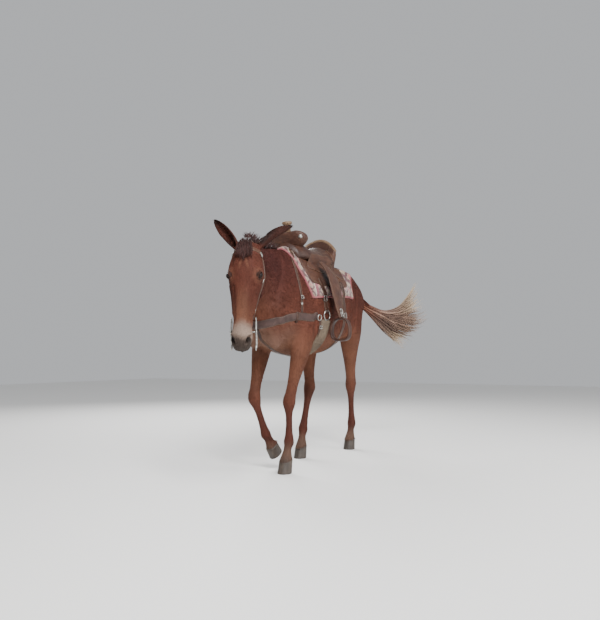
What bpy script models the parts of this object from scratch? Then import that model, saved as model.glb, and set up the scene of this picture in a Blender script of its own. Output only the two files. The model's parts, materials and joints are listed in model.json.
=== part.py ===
"""A saddle mule at a walk, life size, with its bridle, breast collar and western saddle.

Metres, +Z up. The mule faces -Y and its left side is +X. The origin ends at the bottom centre of the whole.
"""

import math
import random

import bmesh
import bpy
import numpy as np
from mathutils import Matrix, Vector
from mathutils.bvhtree import BVHTree

for old in list(bpy.data.objects):
    bpy.data.objects.remove(old, do_unlink=True)

# Driving dimensions of the animal
WITHERS_HEIGHT = 1.52
CROUP_HEIGHT = 1.50
CHEST_FRONT = -0.335
BUTTOCK = 1.15
GIRTH_BOTTOM = 0.765
BARREL_HALF_WIDTH = 0.272
POLL = Vector((0.220, -0.765, 1.395))
HEAD_YAW = math.radians(22)
FACE_TILT = math.radians(14)
HEAD_LENGTH = 0.615
EYE_RADIUS = 0.021
EYE_DOWN = 0.200
EYE_SIDE = 0.0765
EYE_OUT = -0.029
EYE_SLIT_LENGTH = 0.042
EYE_SLIT_HEIGHT = 0.025
EYE_SLIT_SIDES = 10
NOSTRIL_DOWN = 0.552
EAR_LENGTH = 0.275
EAR_HALF_WIDTH = 0.031
EAR_WALL = 0.006
HOOF_LENGTH = 0.112
HOOF_HALF_WIDTH = 0.047
HOOF_HEIGHT = 0.072

# Joint centres of each leg, from inside the trunk down to the coronet
LEG_JOINTS = {
    "fore_left": ((0.145, 0.060, 1.080), (0.150, 0.065, 0.870), (0.092, -0.030, 0.460),
                  (0.080, -0.008, 0.202), (0.076, -0.035, 0.086)),
    "fore_right": ((-0.145, 0.020, 1.080), (-0.150, 0.035, 0.870), (-0.128, -0.115, 0.485),
                   (-0.080, -0.040, 0.238), (-0.064, 0.012, 0.165)),
    "hind_left": ((0.130, 0.880, 1.200), (0.150, 0.880, 0.960), (0.062, 1.105, 0.540),
                  (0.056, 1.135, 0.212), (0.056, 1.098, 0.090)),
    "hind_right": ((-0.130, 0.860, 1.200), (-0.160, 0.740, 0.930), (-0.145, 0.745, 0.525),
                   (-0.112, 0.568, 0.215), (-0.106, 0.530, 0.090)),
}
# Leg sections: place along the joints, half width, reach in front of the centre and behind it
FORE_SECTIONS = (
    (0.00, 0.050, 0.085, 0.085), (0.60, 0.066, 0.096, 0.100), (1.00, 0.066, 0.090, 0.094),
    (1.20, 0.061, 0.078, 0.074), (1.42, 0.051, 0.063, 0.057), (1.66, 0.040, 0.047, 0.042),
    (1.85, 0.038, 0.040, 0.039), (1.95, 0.044, 0.042, 0.042), (2.06, 0.045, 0.042, 0.045),
    (2.18, 0.035, 0.033, 0.041), (2.36, 0.025, 0.026, 0.036), (2.62, 0.024, 0.025, 0.036),
    (2.86, 0.029, 0.029, 0.038), (2.98, 0.036, 0.035, 0.042), (3.10, 0.035, 0.036, 0.043),
    (3.38, 0.028, 0.030, 0.031), (3.72, 0.034, 0.037, 0.036), (4.05, 0.043, 0.049, 0.050),
    (4.45, 0.045, 0.052, 0.052),
)
HIND_SECTIONS = (
    (0.00, 0.080, 0.150, 0.150), (0.50, 0.096, 0.160, 0.185), (1.00, 0.086, 0.110, 0.165),
    (1.18, 0.076, 0.092, 0.130), (1.42, 0.057, 0.070, 0.088), (1.68, 0.043, 0.053, 0.062),
    (1.88, 0.038, 0.045, 0.064), (2.00, 0.046, 0.048, 0.066), (2.12, 0.041, 0.045, 0.052),
    (2.30, 0.030, 0.033, 0.042), (2.56, 0.026, 0.028, 0.038), (2.86, 0.030, 0.030, 0.040),
    (2.98, 0.037, 0.036, 0.044), (3.10, 0.036, 0.037, 0.045), (3.38, 0.029, 0.031, 0.033),
    (3.72, 0.034, 0.038, 0.037), (4.05, 0.043, 0.050, 0.051), (4.45, 0.045, 0.052, 0.053),
)
# The bony point of the hock and the back of the knee: place from the joint and radii
HOCK_POINT = ((0, 0.046, 0.046), (0.024, 0.028, 0.040))
KNEE_BACK = ((0, 0.040, 0.012), (0.022, 0.020, 0.030))

# Trunk sections: place along the body, top, bottom, half width, height of the widest part,
# pinch above and below
TRUNK_SECTIONS = (
    (CHEST_FRONT, 1.140, 0.985, 0.080, 0.50, 0.00, 0.00),
    (-0.290, 1.230, 0.900, 0.150, 0.45, 0.10, 0.10),
    (-0.190, 1.340, 0.840, 0.184, 0.42, 0.25, 0.12),
    (-0.070, 1.462, 0.795, 0.198, 0.42, 0.45, 0.15),
    (0.050, WITHERS_HEIGHT, 0.772, 0.210, 0.42, 0.58, 0.15),
    (0.180, 1.502, GIRTH_BOTTOM, 0.234, 0.43, 0.50, 0.12),
    (0.320, 1.452, 0.768, 0.260, 0.45, 0.25, 0.05),
    (0.480, 1.428, 0.785, BARREL_HALF_WIDTH, 0.46, 0.12, 0.00),
    (0.620, 1.442, 0.820, 0.266, 0.48, 0.15, 0.00),
    (0.740, 1.482, 0.875, 0.252, 0.52, 0.25, 0.05),
    (0.860, CROUP_HEIGHT, 0.930, 0.252, 0.50, 0.30, 0.10),
    (0.980, 1.468, 0.965, 0.240, 0.46, 0.30, 0.15),
    (1.080, 1.392, 1.010, 0.190, 0.44, 0.25, 0.10),
    (BUTTOCK, 1.300, 1.100, 0.110, 0.45, 0.10, 0.00),
)
# Neck sections: crest point, throat-side point, half width
NECK_SECTIONS = (
    ((0.000, 0.100, 1.495), (0.000, -0.130, 0.960), 0.155),
    ((0.000, -0.060, 1.495), (0.000, -0.335, 1.040), 0.138),
    ((0.022, -0.240, 1.470), (0.018, -0.430, 1.085), 0.112),
    ((0.070, -0.420, 1.452), (0.055, -0.505, 1.110), 0.092),
    ((0.136, -0.590, 1.438), (0.095, -0.560, 1.132), 0.080),
    ((0.190, -0.712, 1.418), (0.122, -0.600, 1.160), 0.074),
)
# Head sections in the head's own frame: distance down the face, front, back, half width,
# place of the widest part, pinch of the front and of the jaw side
HEAD_SECTIONS = (
    (-0.012, -0.030, -0.120, 0.045, 0.50, 0.00, 0.00),
    (0.028, -0.004, -0.180, 0.068, 0.55, 0.05, 0.05),
    (0.080, 0.010, -0.225, 0.086, 0.62, 0.05, 0.15),
    (0.140, 0.018, -0.252, 0.099, 0.68, 0.00, 0.30),
    (0.195, 0.015, -0.262, 0.103, 0.68, 0.00, 0.35),
    (0.245, 0.007, -0.255, 0.090, 0.66, 0.05, 0.25),
    (0.305, 0.002, -0.225, 0.076, 0.62, 0.15, 0.20),
    (0.375, 0.000, -0.180, 0.063, 0.58, 0.20, 0.20),
    (0.445, -0.003, -0.142, 0.053, 0.55, 0.20, 0.20),
    (0.500, 0.001, -0.130, 0.053, 0.55, 0.10, 0.20),
    (0.548, 0.000, -0.128, 0.056, 0.58, 0.05, 0.20),
    (0.588, -0.014, -0.120, 0.050, 0.58, 0.05, 0.15),
    (HEAD_LENGTH, -0.042, -0.098, 0.032, 0.55, 0.00, 0.00),
)

# Masses on both sides of the head, from brow to ear base, and in its middle at the lips and the chin
HEAD_SIDE_MASSES = (
    ((0.074, -0.040, EYE_DOWN - 0.008), (0.030, 0.036, 0.040)),
    ((0.058, -0.160, 0.215), (0.028, 0.080, 0.085)),
    ((0.049, -0.066, 0.290), (0.023, 0.022, 0.105)),
    ((0.034, -0.040, NOSTRIL_DOWN), (0.026, 0.034, 0.036)),
    ((0.050, -0.080, 0.033), (0.030, 0.050, 0.046)),
)
HEAD_MIDDLE_MASSES = (
    ((0, -0.066, 0.578), (0.044, 0.048, 0.036)),
    ((0, -0.110, 0.562), (0.034, 0.030, 0.034)),
)

# Muscles on both sides of the trunk: a flattening towards the body, and knots of side, along, up and radius
TRUNK_MUSCLES = (
    (0.75, ((0.060, 0.045, 1.435, 0.045), (0.098, -0.060, 1.300, 0.075), (0.122, -0.165, 1.150, 0.088),
            (0.118, -0.232, 1.040, 0.084))),
    (0.80, ((0.100, 0.110, 1.290, 0.070), (0.132, 0.080, 1.120, 0.095), (0.150, 0.075, 0.970, 0.085))),
    (0.80, ((0.030, -0.215, 1.000, 0.085), (0.068, -0.262, 0.945, 0.076), (0.078, -0.190, 0.880, 0.070))),
    (0.85, ((0.120, 0.660, 1.400, 0.045), (0.165, 0.745, 1.372, 0.070), (0.165, 0.860, 1.300, 0.110),
            (0.150, 0.960, 1.200, 0.115))),
    (0.85, ((0.100, 0.990, 1.300, 0.095), (0.118, 1.055, 1.170, 0.090), (0.122, 1.040, 1.030, 0.080))),
    (0.75, ((0.205, 0.740, 1.360, 0.040), (0.205, 0.765, 1.200, 0.055), (0.185, 0.785, 1.050, 0.075))),
)

# Sizes of the tack
STRAP_WIDTH = 0.020
STRAP_THICKNESS = 0.004
BROWBAND_WIDTH = 0.024
CURB_WIDTH = 0.014
COLLAR_WIDTH = 0.052
COLLAR_THICKNESS = 0.007
PAD_THICKNESS = 0.019
CINCH_WIDTH = 0.115
CINCH_THICKNESS = 0.011
PAD_FRONT = 0.005
PAD_BACK = 0.730
SKIRT_THICKNESS = 0.008
JOCKEY_THICKNESS = 0.006
FENDER_THICKNESS = 0.006
SKIRT_FRONT = 0.075
SKIRT_BACK = 0.655
SEAT_BOTTOM = 1.420
# Seat sections: place along the body, height of the top and half width
SEAT_SECTIONS = (
    (0.075, 1.555, 0.105), (0.150, 1.585, 0.135), (0.250, 1.562, 0.150), (0.360, 1.555, 0.160),
    (0.460, 1.572, 0.166), (0.550, 1.605, 0.165), (0.615, 1.570, 0.135),
)
SWELL_HALF_WIDTH = 0.150
CANTLE_HEIGHT = 1.675
HORN_TOP_HEIGHT = 1.715
HORN_CAP_RADIUS = 0.036
# Height and radius of the horn, from its foot to the top of its cap
HORN_PROFILE = (
    (0.0, 0.026), (0.050, 0.021), (0.078, 0.022), (0.086, HORN_CAP_RADIUS), (0.098, HORN_CAP_RADIUS),
    (0.104, 0.020),
)
FENDER_HALF_WIDTH = 0.082
STIRRUP_BOTTOM = 0.865
STIRRUP_HEIGHT = 0.165
STIRRUP_HALF_WIDTH = 0.075
STIRRUP_DEPTH = 0.055
STIRRUP_SIDE = 0.330
STIRRUP_ALONG = 0.290
STIRRUP_WALL = 0.014
STIRRUP_TREAD = 0.018
STIRRUP_SQUARENESS = 0.62
STIRRUP_SIDES = 16
TRUNK_AXIS_HEIGHT = 1.12

# Making of the solids
GAP = 0.0003
SHARP_ANGLE = 40
MOST_SWELL = 2.5
SINK = 0.003
PROBE = 0.045
VOXEL = 0.0105
FLESH_TRIANGLES = 2600
SMOOTHING = 6
TRUNK_SMOOTHING = 75
LEG_TOP = 0.80
BLEND_DEPTH = 0.12
HEAD_FREEDOM = 0.9925
# Where each pair of legs is parted off: front, back, height at the front, rise towards the back, inner side
LEG_CUTS = {"fore": (-0.34, 0.175, 0.765, 0.12, 0.078), "hind": (0.42, 1.40, 0.722, 0.44, 0.020)}
BRISKET_DROP = 0.15
LEG_CUT_SIDE = 0.36
LEG_CUT_BOTTOM = -0.1
THROAT = (-0.272, 0.200)
NECK_ROOT = (0.0, -0.150, 1.270)
NECK_WAY = (0.0, -0.857, 0.514)
CORONET_SLOPE = 0.45
HOOF_SIDES = 14
HEEL_SHARE = 0.86
SOLE_AHEAD = 0.012
# Hoof sections: share of the way down, widening, lengthening and shift forwards
HOOF_SECTIONS = ((0.0, 0.95, 0.90, 0.0), (0.20, 0.90, 0.88, 0.003), (1.0, 1.0, 1.0, 0.010))
EAR_STEPS = 7
EAR_ARC = 6
EAR_GAPE = 1.05
EAR_DEPTH_SHARE = 0.80
# Each ear: where its root sits on the head, the way it points and the way its cup opens
EARS = {
    "left": ((0.058, -0.066, 0.016), (0.104, 0.190, 0.150), (0.30, 0.75, 0.10)),
    "right": ((-0.058, -0.066, 0.016), (-0.195, 0.050, 0.190), (0.10, -1.00, 0.15)),
}
LOCK_TIP = 0.08
MANE_LOCKS = 28
MANE_HEIGHT = 0.044
MANE_LOCK_WIDTH = 0.054
FORELOCK_LOCKS = 9
FORELOCK_LENGTH = 0.080
TAIL_LOCKS = 20
TAIL_KNOTS = 6
TAIL_SEED = 5
MANE_SEED = 3
FORELOCK_SEED = 8
MANE_START = 0.20
MANE_SPAN = 0.72
# The dock, and the lie of the highest, middle and lowest strands of the tail
DOCK = ((0.000, 1.070, 1.330), (0.035, 1.155, 1.312), (0.105, 1.205, 1.262), (0.165, 1.255, 1.205),
        (0.215, 1.300, 1.170))
TAIL_LIES = (
    ((0.030, 1.145, 1.315), (0.160, 1.232, 1.222), (0.277, 1.372, 1.163), (0.385, 1.473, 1.215),
     (0.460, 1.540, 1.330), (0.510, 1.575, 1.440)),
    ((0.030, 1.140, 1.300), (0.155, 1.240, 1.195), (0.290, 1.385, 1.115), (0.410, 1.485, 1.080),
     (0.510, 1.565, 1.080), (0.600, 1.620, 1.110)),
    ((0.030, 1.135, 1.290), (0.145, 1.240, 1.160), (0.225, 1.325, 1.060), (0.290, 1.405, 0.965),
     (0.340, 1.460, 0.880), (0.390, 1.510, 0.805)),
)
LID_THICKNESS = 0.0045
MOUTH_CORNER_DOWN = 0.500
MOUTH_OUT = -0.094
MOUTH_LINE = 0.0035
MOUTH_OVERRUN = 0.02
# The two hollows of a nostril: place in the head's frame and radii
NOSTRIL_HOLLOWS = (
    ((0.044, -0.030, NOSTRIL_DOWN), (0.015, 0.010, 0.020)),
    ((0.036, -0.026, NOSTRIL_DOWN + 0.012), (0.012, 0.013, 0.012)),
)

UP = Vector((0.0, 0.0, 1.0))
FACING = Vector((math.sin(HEAD_YAW), -math.cos(HEAD_YAW), 0.0))
HEAD_SIDE = UP.cross(FACING)
FACE_DOWN = FACING * math.sin(FACE_TILT) - UP * math.cos(FACE_TILT)
FACE_OUT = FACING * math.cos(FACE_TILT) + UP * math.sin(FACE_TILT)
THROAT_WAY = FACE_OUT * 0.776 + FACE_DOWN * 0.632
SIDES = {"left": 1, "right": -1}
FORMS = {}


def finish(name, colour, roughness, metallic=0.0):
    material = bpy.data.materials.new(name)
    material.use_nodes = True
    shader = material.node_tree.nodes["Principled BSDF"]
    shader.inputs["Base Color"].default_value = (*colour, 1.0)
    shader.inputs["Roughness"].default_value = roughness
    shader.inputs["Metallic"].default_value = metallic
    return material


COAT = finish("bay_coat", (0.155, 0.050, 0.028), 0.55)
HAIR = finish("tail_hair", (0.330, 0.210, 0.130), 0.60)
HORN = finish("hoof_horn", (0.075, 0.062, 0.052), 0.55)
EYE = finish("eye", (0.012, 0.008, 0.006), 0.08)
LEATHER = finish("oiled_leather", (0.085, 0.042, 0.026), 0.50)
COLLAR_LEATHER = finish("collar_leather", (0.120, 0.085, 0.070), 0.55)
WOOL = finish("woven_wool", (0.290, 0.090, 0.090), 0.90)
CORD = finish("mohair_cord", (0.420, 0.360, 0.280), 0.90)
STEEL = finish("bright_steel", (0.600, 0.590, 0.570), 0.28, 1.0)
RAWHIDE = finish("rawhide", (0.500, 0.420, 0.300), 0.55)


def head_point(side, out, down):
    """A point of the head's own frame: to its left, out of the face, and down the face from the poll."""
    return POLL + HEAD_SIDE * side + FACE_OUT * out + FACE_DOWN * down


def smooth_rows(rows, steps):
    """A Catmull-Rom curve through the rows, with this many steps in each span."""
    rows = np.array(rows, float)
    padded = np.vstack([2 * rows[0] - rows[1], rows, 2 * rows[-1] - rows[-2]])
    found = []
    for a, b, c, d in zip(padded, padded[1:], padded[2:], padded[3:]):
        for k in range(steps):
            t = k / steps
            bend = (2 * a - 5 * b + 4 * c - d) * t * t + (3 * b - a - 3 * c + d) * t**3
            found.append(0.5 * (2 * b + (c - a) * t + bend))
    found.append(rows[-1])
    return np.array(found)


def skin_rings(bm, rings):
    """Closes a stack of rings into one body, with a flat cap at each end."""
    made = [[bm.verts.new(point) for point in ring] for ring in rings]
    for low, high in zip(made, made[1:]):
        for k in range(len(low)):
            j = (k + 1) % len(low)
            bm.faces.new((low[k], low[j], high[j], high[k]))
    bm.faces.new(made[0][::-1])
    bm.faces.new(made[-1])


def loft(bm, sections, sides=24, steps=3, power=2.2):
    """A tube through sections: top point, bottom point, half width, place of the widest part, two pinches."""
    rows = smooth_rows(sections, steps)
    centres = rows[:, 3:6] + (rows[:, 0:3] - rows[:, 3:6]) * rows[:, 7:8]
    ways = np.gradient(centres, axis=0)
    rings = []
    for row, way in zip(rows, ways):
        top, bottom = Vector(row[0:3]), Vector(row[3:6])
        half_width, waist, pinch_top, pinch_bottom = row[6:10]
        axis = top - bottom
        side = axis.cross(Vector(way)).normalized()
        middle = bottom + axis * waist
        ring = []
        for k in range(sides):
            angle = 2 * math.pi * k / sides
            across, rise = math.cos(angle), math.sin(angle)
            reach = axis * (1 - waist if rise > 0 else waist)
            pinch = pinch_top if rise > 0 else pinch_bottom
            wide = math.copysign(abs(across) ** (2 / power), across) * (1 - pinch * rise * rise)
            tall = math.copysign(abs(rise) ** (2 / power), rise)
            ring.append(middle + side * (half_width * wide) + reach * tall)
        rings.append(ring)
    skin_rings(bm, rings)


def mass(bm, centre, radii, turn=Matrix.Identity(3), detail=3):
    """An ellipsoid of muscle or bone."""
    made = bmesh.ops.create_icosphere(bm, subdivisions=detail, radius=1.0)["verts"]
    for vert in made:
        vert.co = turn @ Vector(a * b for a, b in zip(vert.co, radii)) + Vector(centre)


def muscle(bm, knots, flatness):
    """A tapered, flattened tube through the knots, with round ends."""
    sections = []
    for x, y, z, radius in knots:
        sections.append((x, y - radius, z, x, y + radius, z, radius * flatness, 0.5, 0.0, 0.0))
    loft(bm, sections, sides=16, power=2.0)
    for x, y, z, radius in (knots[0], knots[-1]):
        mass(bm, (x, y, z), (radius * flatness, radius, radius))


def head_turn():
    """Turns the axes side, out, down of the head into the world's."""
    return Matrix((HEAD_SIDE, FACE_OUT, FACE_DOWN)).transposed()


def new_object(name, bm, material=None):
    bmesh.ops.recalc_face_normals(bm, faces=bm.faces)
    mesh = bpy.data.meshes.new(name)
    bm.to_mesh(mesh)
    bm.free()
    obj = bpy.data.objects.new(name, mesh)
    bpy.context.collection.objects.link(obj)
    if material:
        mesh.materials.append(material)
    return obj


def apply_modifiers(obj):
    bpy.context.view_layer.update()
    graph = bpy.context.evaluated_depsgraph_get()
    mesh = bpy.data.meshes.new_from_object(obj.evaluated_get(graph))
    obj.modifiers.clear()
    obj.data = mesh


def discard(*objects):
    for obj in objects:
        bpy.data.objects.remove(obj, do_unlink=True)


def copy_of(obj, name="copy"):
    twin = bpy.data.objects.new(name, obj.data.copy())
    bpy.context.collection.objects.link(twin)
    return twin


def boolean(obj, other, operation):
    """Cuts or joins with the exact solver, or with the manifold one where the exact one leaves nothing."""
    before = obj.data.copy()
    for solver in ("EXACT", "MANIFOLD"):
        step = obj.modifiers.new(operation, "BOOLEAN")
        step.operation = operation
        step.solver = solver
        step.object = other
        apply_modifiers(obj)
        if obj.data.polygons:
            break
        obj.data = before


def unite(obj, pieces):
    """One union of the object with all the pieces, which are then removed."""
    gathered = bpy.data.collections.new("pieces")
    bpy.context.scene.collection.children.link(gathered)
    for piece in pieces:
        for holder in list(piece.users_collection):
            holder.objects.unlink(piece)
        gathered.objects.link(piece)
    step = obj.modifiers.new("union", "BOOLEAN")
    step.operation = "UNION"
    step.operand_type = "COLLECTION"
    step.solver = "EXACT"
    step.collection = gathered
    apply_modifiers(obj)
    discard(*pieces)
    bpy.data.collections.remove(gathered)


def keep_largest(obj):
    """Keeps the largest closed surface and splits the faces into triangles."""
    bm = bmesh.new()
    bm.from_mesh(obj.data)
    bmesh.ops.remove_doubles(bm, verts=bm.verts, dist=0.000001)
    bmesh.ops.triangulate(bm, faces=bm.faces)
    groups, seen = [], set()
    for start in bm.faces:
        if start in seen:
            continue
        group, queue = [], [start]
        seen.add(start)
        while queue:
            face = queue.pop()
            group.append(face)
            for edge in face.edges:
                if len(edge.link_faces) > 2:
                    continue
                for near in edge.link_faces:
                    if near not in seen:
                        seen.add(near)
                        queue.append(near)
        groups.append(group)

    def volume(group):
        return abs(sum(f.verts[0].co.dot(f.verts[1].co.cross(f.verts[2].co)) for f in group))

    groups.sort(key=volume)
    bmesh.ops.delete(bm, geom=[face for group in groups[:-1] for face in group], context="FACES")
    loose = [vert for vert in bm.verts if not vert.link_faces]
    bmesh.ops.delete(bm, geom=loose, context="VERTS")
    bm.to_mesh(obj.data)
    bm.free()


def swollen(obj, by=GAP):
    """A copy with its surface moved out along its normals."""
    twin = copy_of(obj, "swollen")
    bm = bmesh.new()
    bm.from_mesh(twin.data)
    bmesh.ops.remove_doubles(bm, verts=bm.verts, dist=0.00001)
    bm.normal_update()
    shares = [min(MOST_SWELL, max(1.0, vert.calc_shell_factor())) for vert in bm.verts]
    moved = [vert.co + vert.normal * by * share for vert, share in zip(bm.verts, shares)]
    for vert, place in zip(bm.verts, moved):
        vert.co = place
    bm.to_mesh(twin.data)
    bm.free()
    return twin


def keep_form(obj):
    """Keeps the object's uncut shape, a thin gap larger, for what is laid against it later."""
    bm = bmesh.new()
    bm.from_mesh(obj.data)
    bmesh.ops.triangulate(bm, faces=bm.faces)
    bm.to_mesh(obj.data)
    bm.free()
    FORMS[obj.name] = swollen(obj)


def clear_of(obj, *others):
    """Cuts the object back to a thin gap from each neighbour it was sunk into."""
    for other in others:
        boolean(obj, FORMS[other.name], "DIFFERENCE")
    keep_largest(obj)


def surface_of(*objects):
    """A tree of the objects' surfaces, to lay pieces on."""
    points, faces = [], []
    for obj in objects:
        offset = len(points)
        points.extend(vert.co.copy() for vert in obj.data.vertices)
        faces.extend([offset + k for k in face.vertices] for face in obj.data.polygons)
    return BVHTree.FromPolygons(points, faces)


def block(name, centre, size, turn=Matrix.Identity(3)):
    bm = bmesh.new()
    bmesh.ops.create_cube(bm, size=1.0)
    for vert in bm.verts:
        vert.co = turn @ Vector(a * b for a, b in zip(vert.co, size)) + Vector(centre)
    return new_object(name, bm)


# The flesh
def build_trunk(bm):
    sections = []
    for along, top, bottom, half_width, waist, pinch_top, pinch_bottom in TRUNK_SECTIONS:
        sections.append((0, along, top, 0, along, bottom, half_width, waist, pinch_top, pinch_bottom))
    loft(bm, sections, sides=32)
    for side in SIDES.values():
        for flatness, knots in TRUNK_MUSCLES:
            muscle(bm, [(side * x, y, z, radius) for x, y, z, radius in knots], flatness)


def build_neck(bm):
    sections = [(*top, *bottom, half_width, 0.48, 0.45, 0.25) for top, bottom, half_width in NECK_SECTIONS]
    inside_top = head_point(0, -0.050, 0.060)
    inside_bottom = head_point(0, -0.225, 0.170)
    sections.append((*inside_top, *inside_bottom, 0.068, 0.48, 0.3, 0.2))
    loft(bm, sections)


def build_head(bm):
    sections = []
    for down, front, back, half_width, waist, pinch_front, pinch_jaw in HEAD_SECTIONS:
        top, bottom = head_point(0, front, down), head_point(0, back, down)
        sections.append((*top, *bottom, half_width, waist, pinch_front, pinch_jaw))
    loft(bm, sections, power=2.5)
    turn = head_turn()
    for side in SIDES.values():
        for place, radii in HEAD_SIDE_MASSES:
            mass(bm, head_point(side * place[0], *place[1:]), radii, turn)
    for place, radii in HEAD_MIDDLE_MASSES:
        mass(bm, head_point(*place), radii, turn)


def place_on_chain(joints, place):
    """The point at this place along a chain of joints; past the ends it runs straight on."""
    bone = max(0, min(int(place), len(joints) - 2))
    return joints[bone].lerp(joints[bone + 1], place - bone)


def build_leg(bm, name):
    joints = [Vector(joint) for joint in LEG_JOINTS[name]]
    sections = []
    for place, half_width, front, back in FORE_SECTIONS if name.startswith("fore") else HIND_SECTIONS:
        centre = place_on_chain(joints, place)
        way = place_on_chain(joints, place + 0.12) - place_on_chain(joints, place - 0.12)
        ahead = Vector((0, -1, 0))
        ahead = (ahead - way * (ahead.dot(way) / way.length_squared)).normalized()
        top, bottom = centre + ahead * front, centre - ahead * back
        sections.append((*top, *bottom, half_width, back / (front + back), 0.0, 0.15))
    loft(bm, sections, sides=18, steps=3)
    place, radii = HOCK_POINT if name.startswith("hind") else KNEE_BACK
    mass(bm, joints[2] + Vector(place), radii)


def relax_trunk(flesh):
    """Melts the muscles of trunk and neck into each other, and leaves the head and the lower legs crisp."""
    group = flesh.vertex_groups.new(name="trunk")
    for vert in flesh.data.vertices:
        above_legs = (vert.co.z - LEG_TOP) / BLEND_DEPTH
        behind_head = -(vert.co - POLL).dot(FACING) / BLEND_DEPTH - 1.0
        group.add([vert.index], max(0.0, min(1.0, above_legs, behind_head)), "REPLACE")
    relax = flesh.modifiers.new("relax", "SMOOTH")
    relax.factor = 0.5
    relax.iterations = TRUNK_SMOOTHING
    relax.vertex_group = "trunk"
    apply_modifiers(flesh)
    flesh.vertex_groups.clear()


def build_flesh():
    """The whole animal but for hooves, ears, eyes and tail, as one smooth skin cut to few faces."""
    bm = bmesh.new()
    build_trunk(bm)
    build_neck(bm)
    build_head(bm)
    for name in LEG_JOINTS:
        build_leg(bm, name)
    flesh = new_object("flesh", bm, COAT)
    remesh = flesh.modifiers.new("skin", "REMESH")
    remesh.mode = "VOXEL"
    remesh.voxel_size = VOXEL
    smooth = flesh.modifiers.new("smooth", "SMOOTH")
    smooth.factor = 0.5
    smooth.iterations = SMOOTHING
    apply_modifiers(flesh)
    relax_trunk(flesh)
    freedom = flesh.vertex_groups.new(name="freedom")
    throat = head_point(0, *THROAT)
    for vert in flesh.data.vertices:
        on_head = (vert.co - throat).dot(THROAT_WAY) > 0.0
        freedom.add([vert.index], HEAD_FREEDOM if on_head else 1.0, "REPLACE")
    thin = flesh.modifiers.new("few_faces", "DECIMATE")
    thin.ratio = FLESH_TRIANGLES / (2 * len(flesh.data.polygons))
    thin.vertex_group = "freedom"
    thin.vertex_group_factor = 1.0
    apply_modifiers(flesh)
    flesh.vertex_groups.clear()
    keep_largest(flesh)
    return flesh


# Cutting the flesh into its nodes
def trim(obj, point, way):
    """Cuts off what lies ahead of a plane through the point, and closes the cut."""
    bm = bmesh.new()
    bm.from_mesh(obj.data)
    bmesh.ops.bisect_plane(bm, geom=bm.verts[:] + bm.edges[:] + bm.faces[:], plane_co=point, plane_no=way,
                           clear_outer=True)
    bmesh.ops.holes_fill(bm, edges=[edge for edge in bm.edges if edge.is_boundary])
    bm.to_mesh(obj.data)
    bm.free()
    keep_largest(obj)


def part_at(flesh, name, point, way):
    """Parts off what lies ahead of a plane through the point, a thin gap apart."""
    way = way.normalized()
    piece = copy_of(flesh, name)
    trim(piece, point + way * GAP, -way)
    trim(flesh, point, way)
    return piece


def coronet_plane(name):
    """Where the horn begins on a foot: the point and the direction from flesh to hoof."""
    joints = [Vector(joint) for joint in LEG_JOINTS[name]]
    way = (joints[4] - joints[3]).normalized()
    slope = (way + Vector((0, CORONET_SLOPE, 0))).normalized() if name != "fore_right" else way
    return joints[4], slope


def leg_cutter(name, side, inset):
    """A prism that holds one leg: its top runs along the elbow or the flank, and it clears the brisket."""
    front, back, top, rise, inner = LEG_CUTS[name.split("_")[0]]
    rings = []
    for along, level in ((front + inset, top - inset), (back - inset, top + rise * (back - front) - inset)):
        shape = ((inset, LEG_CUT_BOTTOM), (LEG_CUT_SIDE, LEG_CUT_BOTTOM), (LEG_CUT_SIDE, level),
                 (inner + inset, level), (inset, level - BRISKET_DROP))
        rings.append([Vector((side * x, along, z)) for x, z in shape])
    bm = bmesh.new()
    skin_rings(bm, rings)
    return new_object("cutter", bm)


def part_flesh(flesh):
    nodes = {}
    for name in LEG_JOINTS:
        side = SIDES[name.split("_")[1]]
        leg = copy_of(flesh, name + "_leg")
        cutter, thin_cutter = leg_cutter(name, side, 0.0), leg_cutter(name, side, GAP)
        boolean(leg, thin_cutter, "INTERSECT")
        keep_largest(leg)
        boolean(flesh, cutter, "DIFFERENCE")
        keep_largest(flesh)
        discard(cutter, thin_cutter)
        trim(leg, *coronet_plane(name))
        nodes[leg.name] = leg
    nodes["head"] = part_at(flesh, "head", head_point(0, *THROAT), THROAT_WAY)
    nodes["neck"] = part_at(flesh, "neck", Vector(NECK_ROOT), Vector(NECK_WAY))
    flesh.name = "torso"
    nodes["torso"] = flesh
    return nodes


def build_hoof(name):
    """Horn from the coronet to the sole; a planted sole is a small flat on the floor."""
    point, way = coronet_plane(name)
    joints = [Vector(joint) for joint in LEG_JOINTS[name]]
    bm = bmesh.new()
    planted = name != "fore_right"
    ahead = Vector((0, -1, 0))
    toe = (ahead - way * ahead.dot(way)).normalized()
    side = way.cross(toe)
    top = point + way * GAP
    if planted:
        sole = Vector((point.x, point.y - SOLE_AHEAD, 0.0))
        sole_toe, sole_side = ahead, Vector((-1, 0, 0))
    else:
        sole = point + way * HOOF_HEIGHT
        sole_toe, sole_side = toe, side
    rings = []
    for share, wide, long, shift in HOOF_SECTIONS:
        centre = top.lerp(sole, share)
        forward = toe.lerp(sole_toe, share).normalized()
        across = side.lerp(sole_side, share).normalized()
        ring = []
        for k in range(HOOF_SIDES):
            angle = 2 * math.pi * k / HOOF_SIDES
            heel = HEEL_SHARE if math.cos(angle) < 0 else 1.0
            reach = math.cos(angle) * HOOF_LENGTH / 2 * long * heel + shift
            spread = math.sin(angle) * HOOF_HALF_WIDTH * wide
            ring.append(centre + forward * reach + across * spread)
        rings.append(ring)
    skin_rings(bm, rings)
    return new_object(name + "_hoof", bm, HORN)


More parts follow.
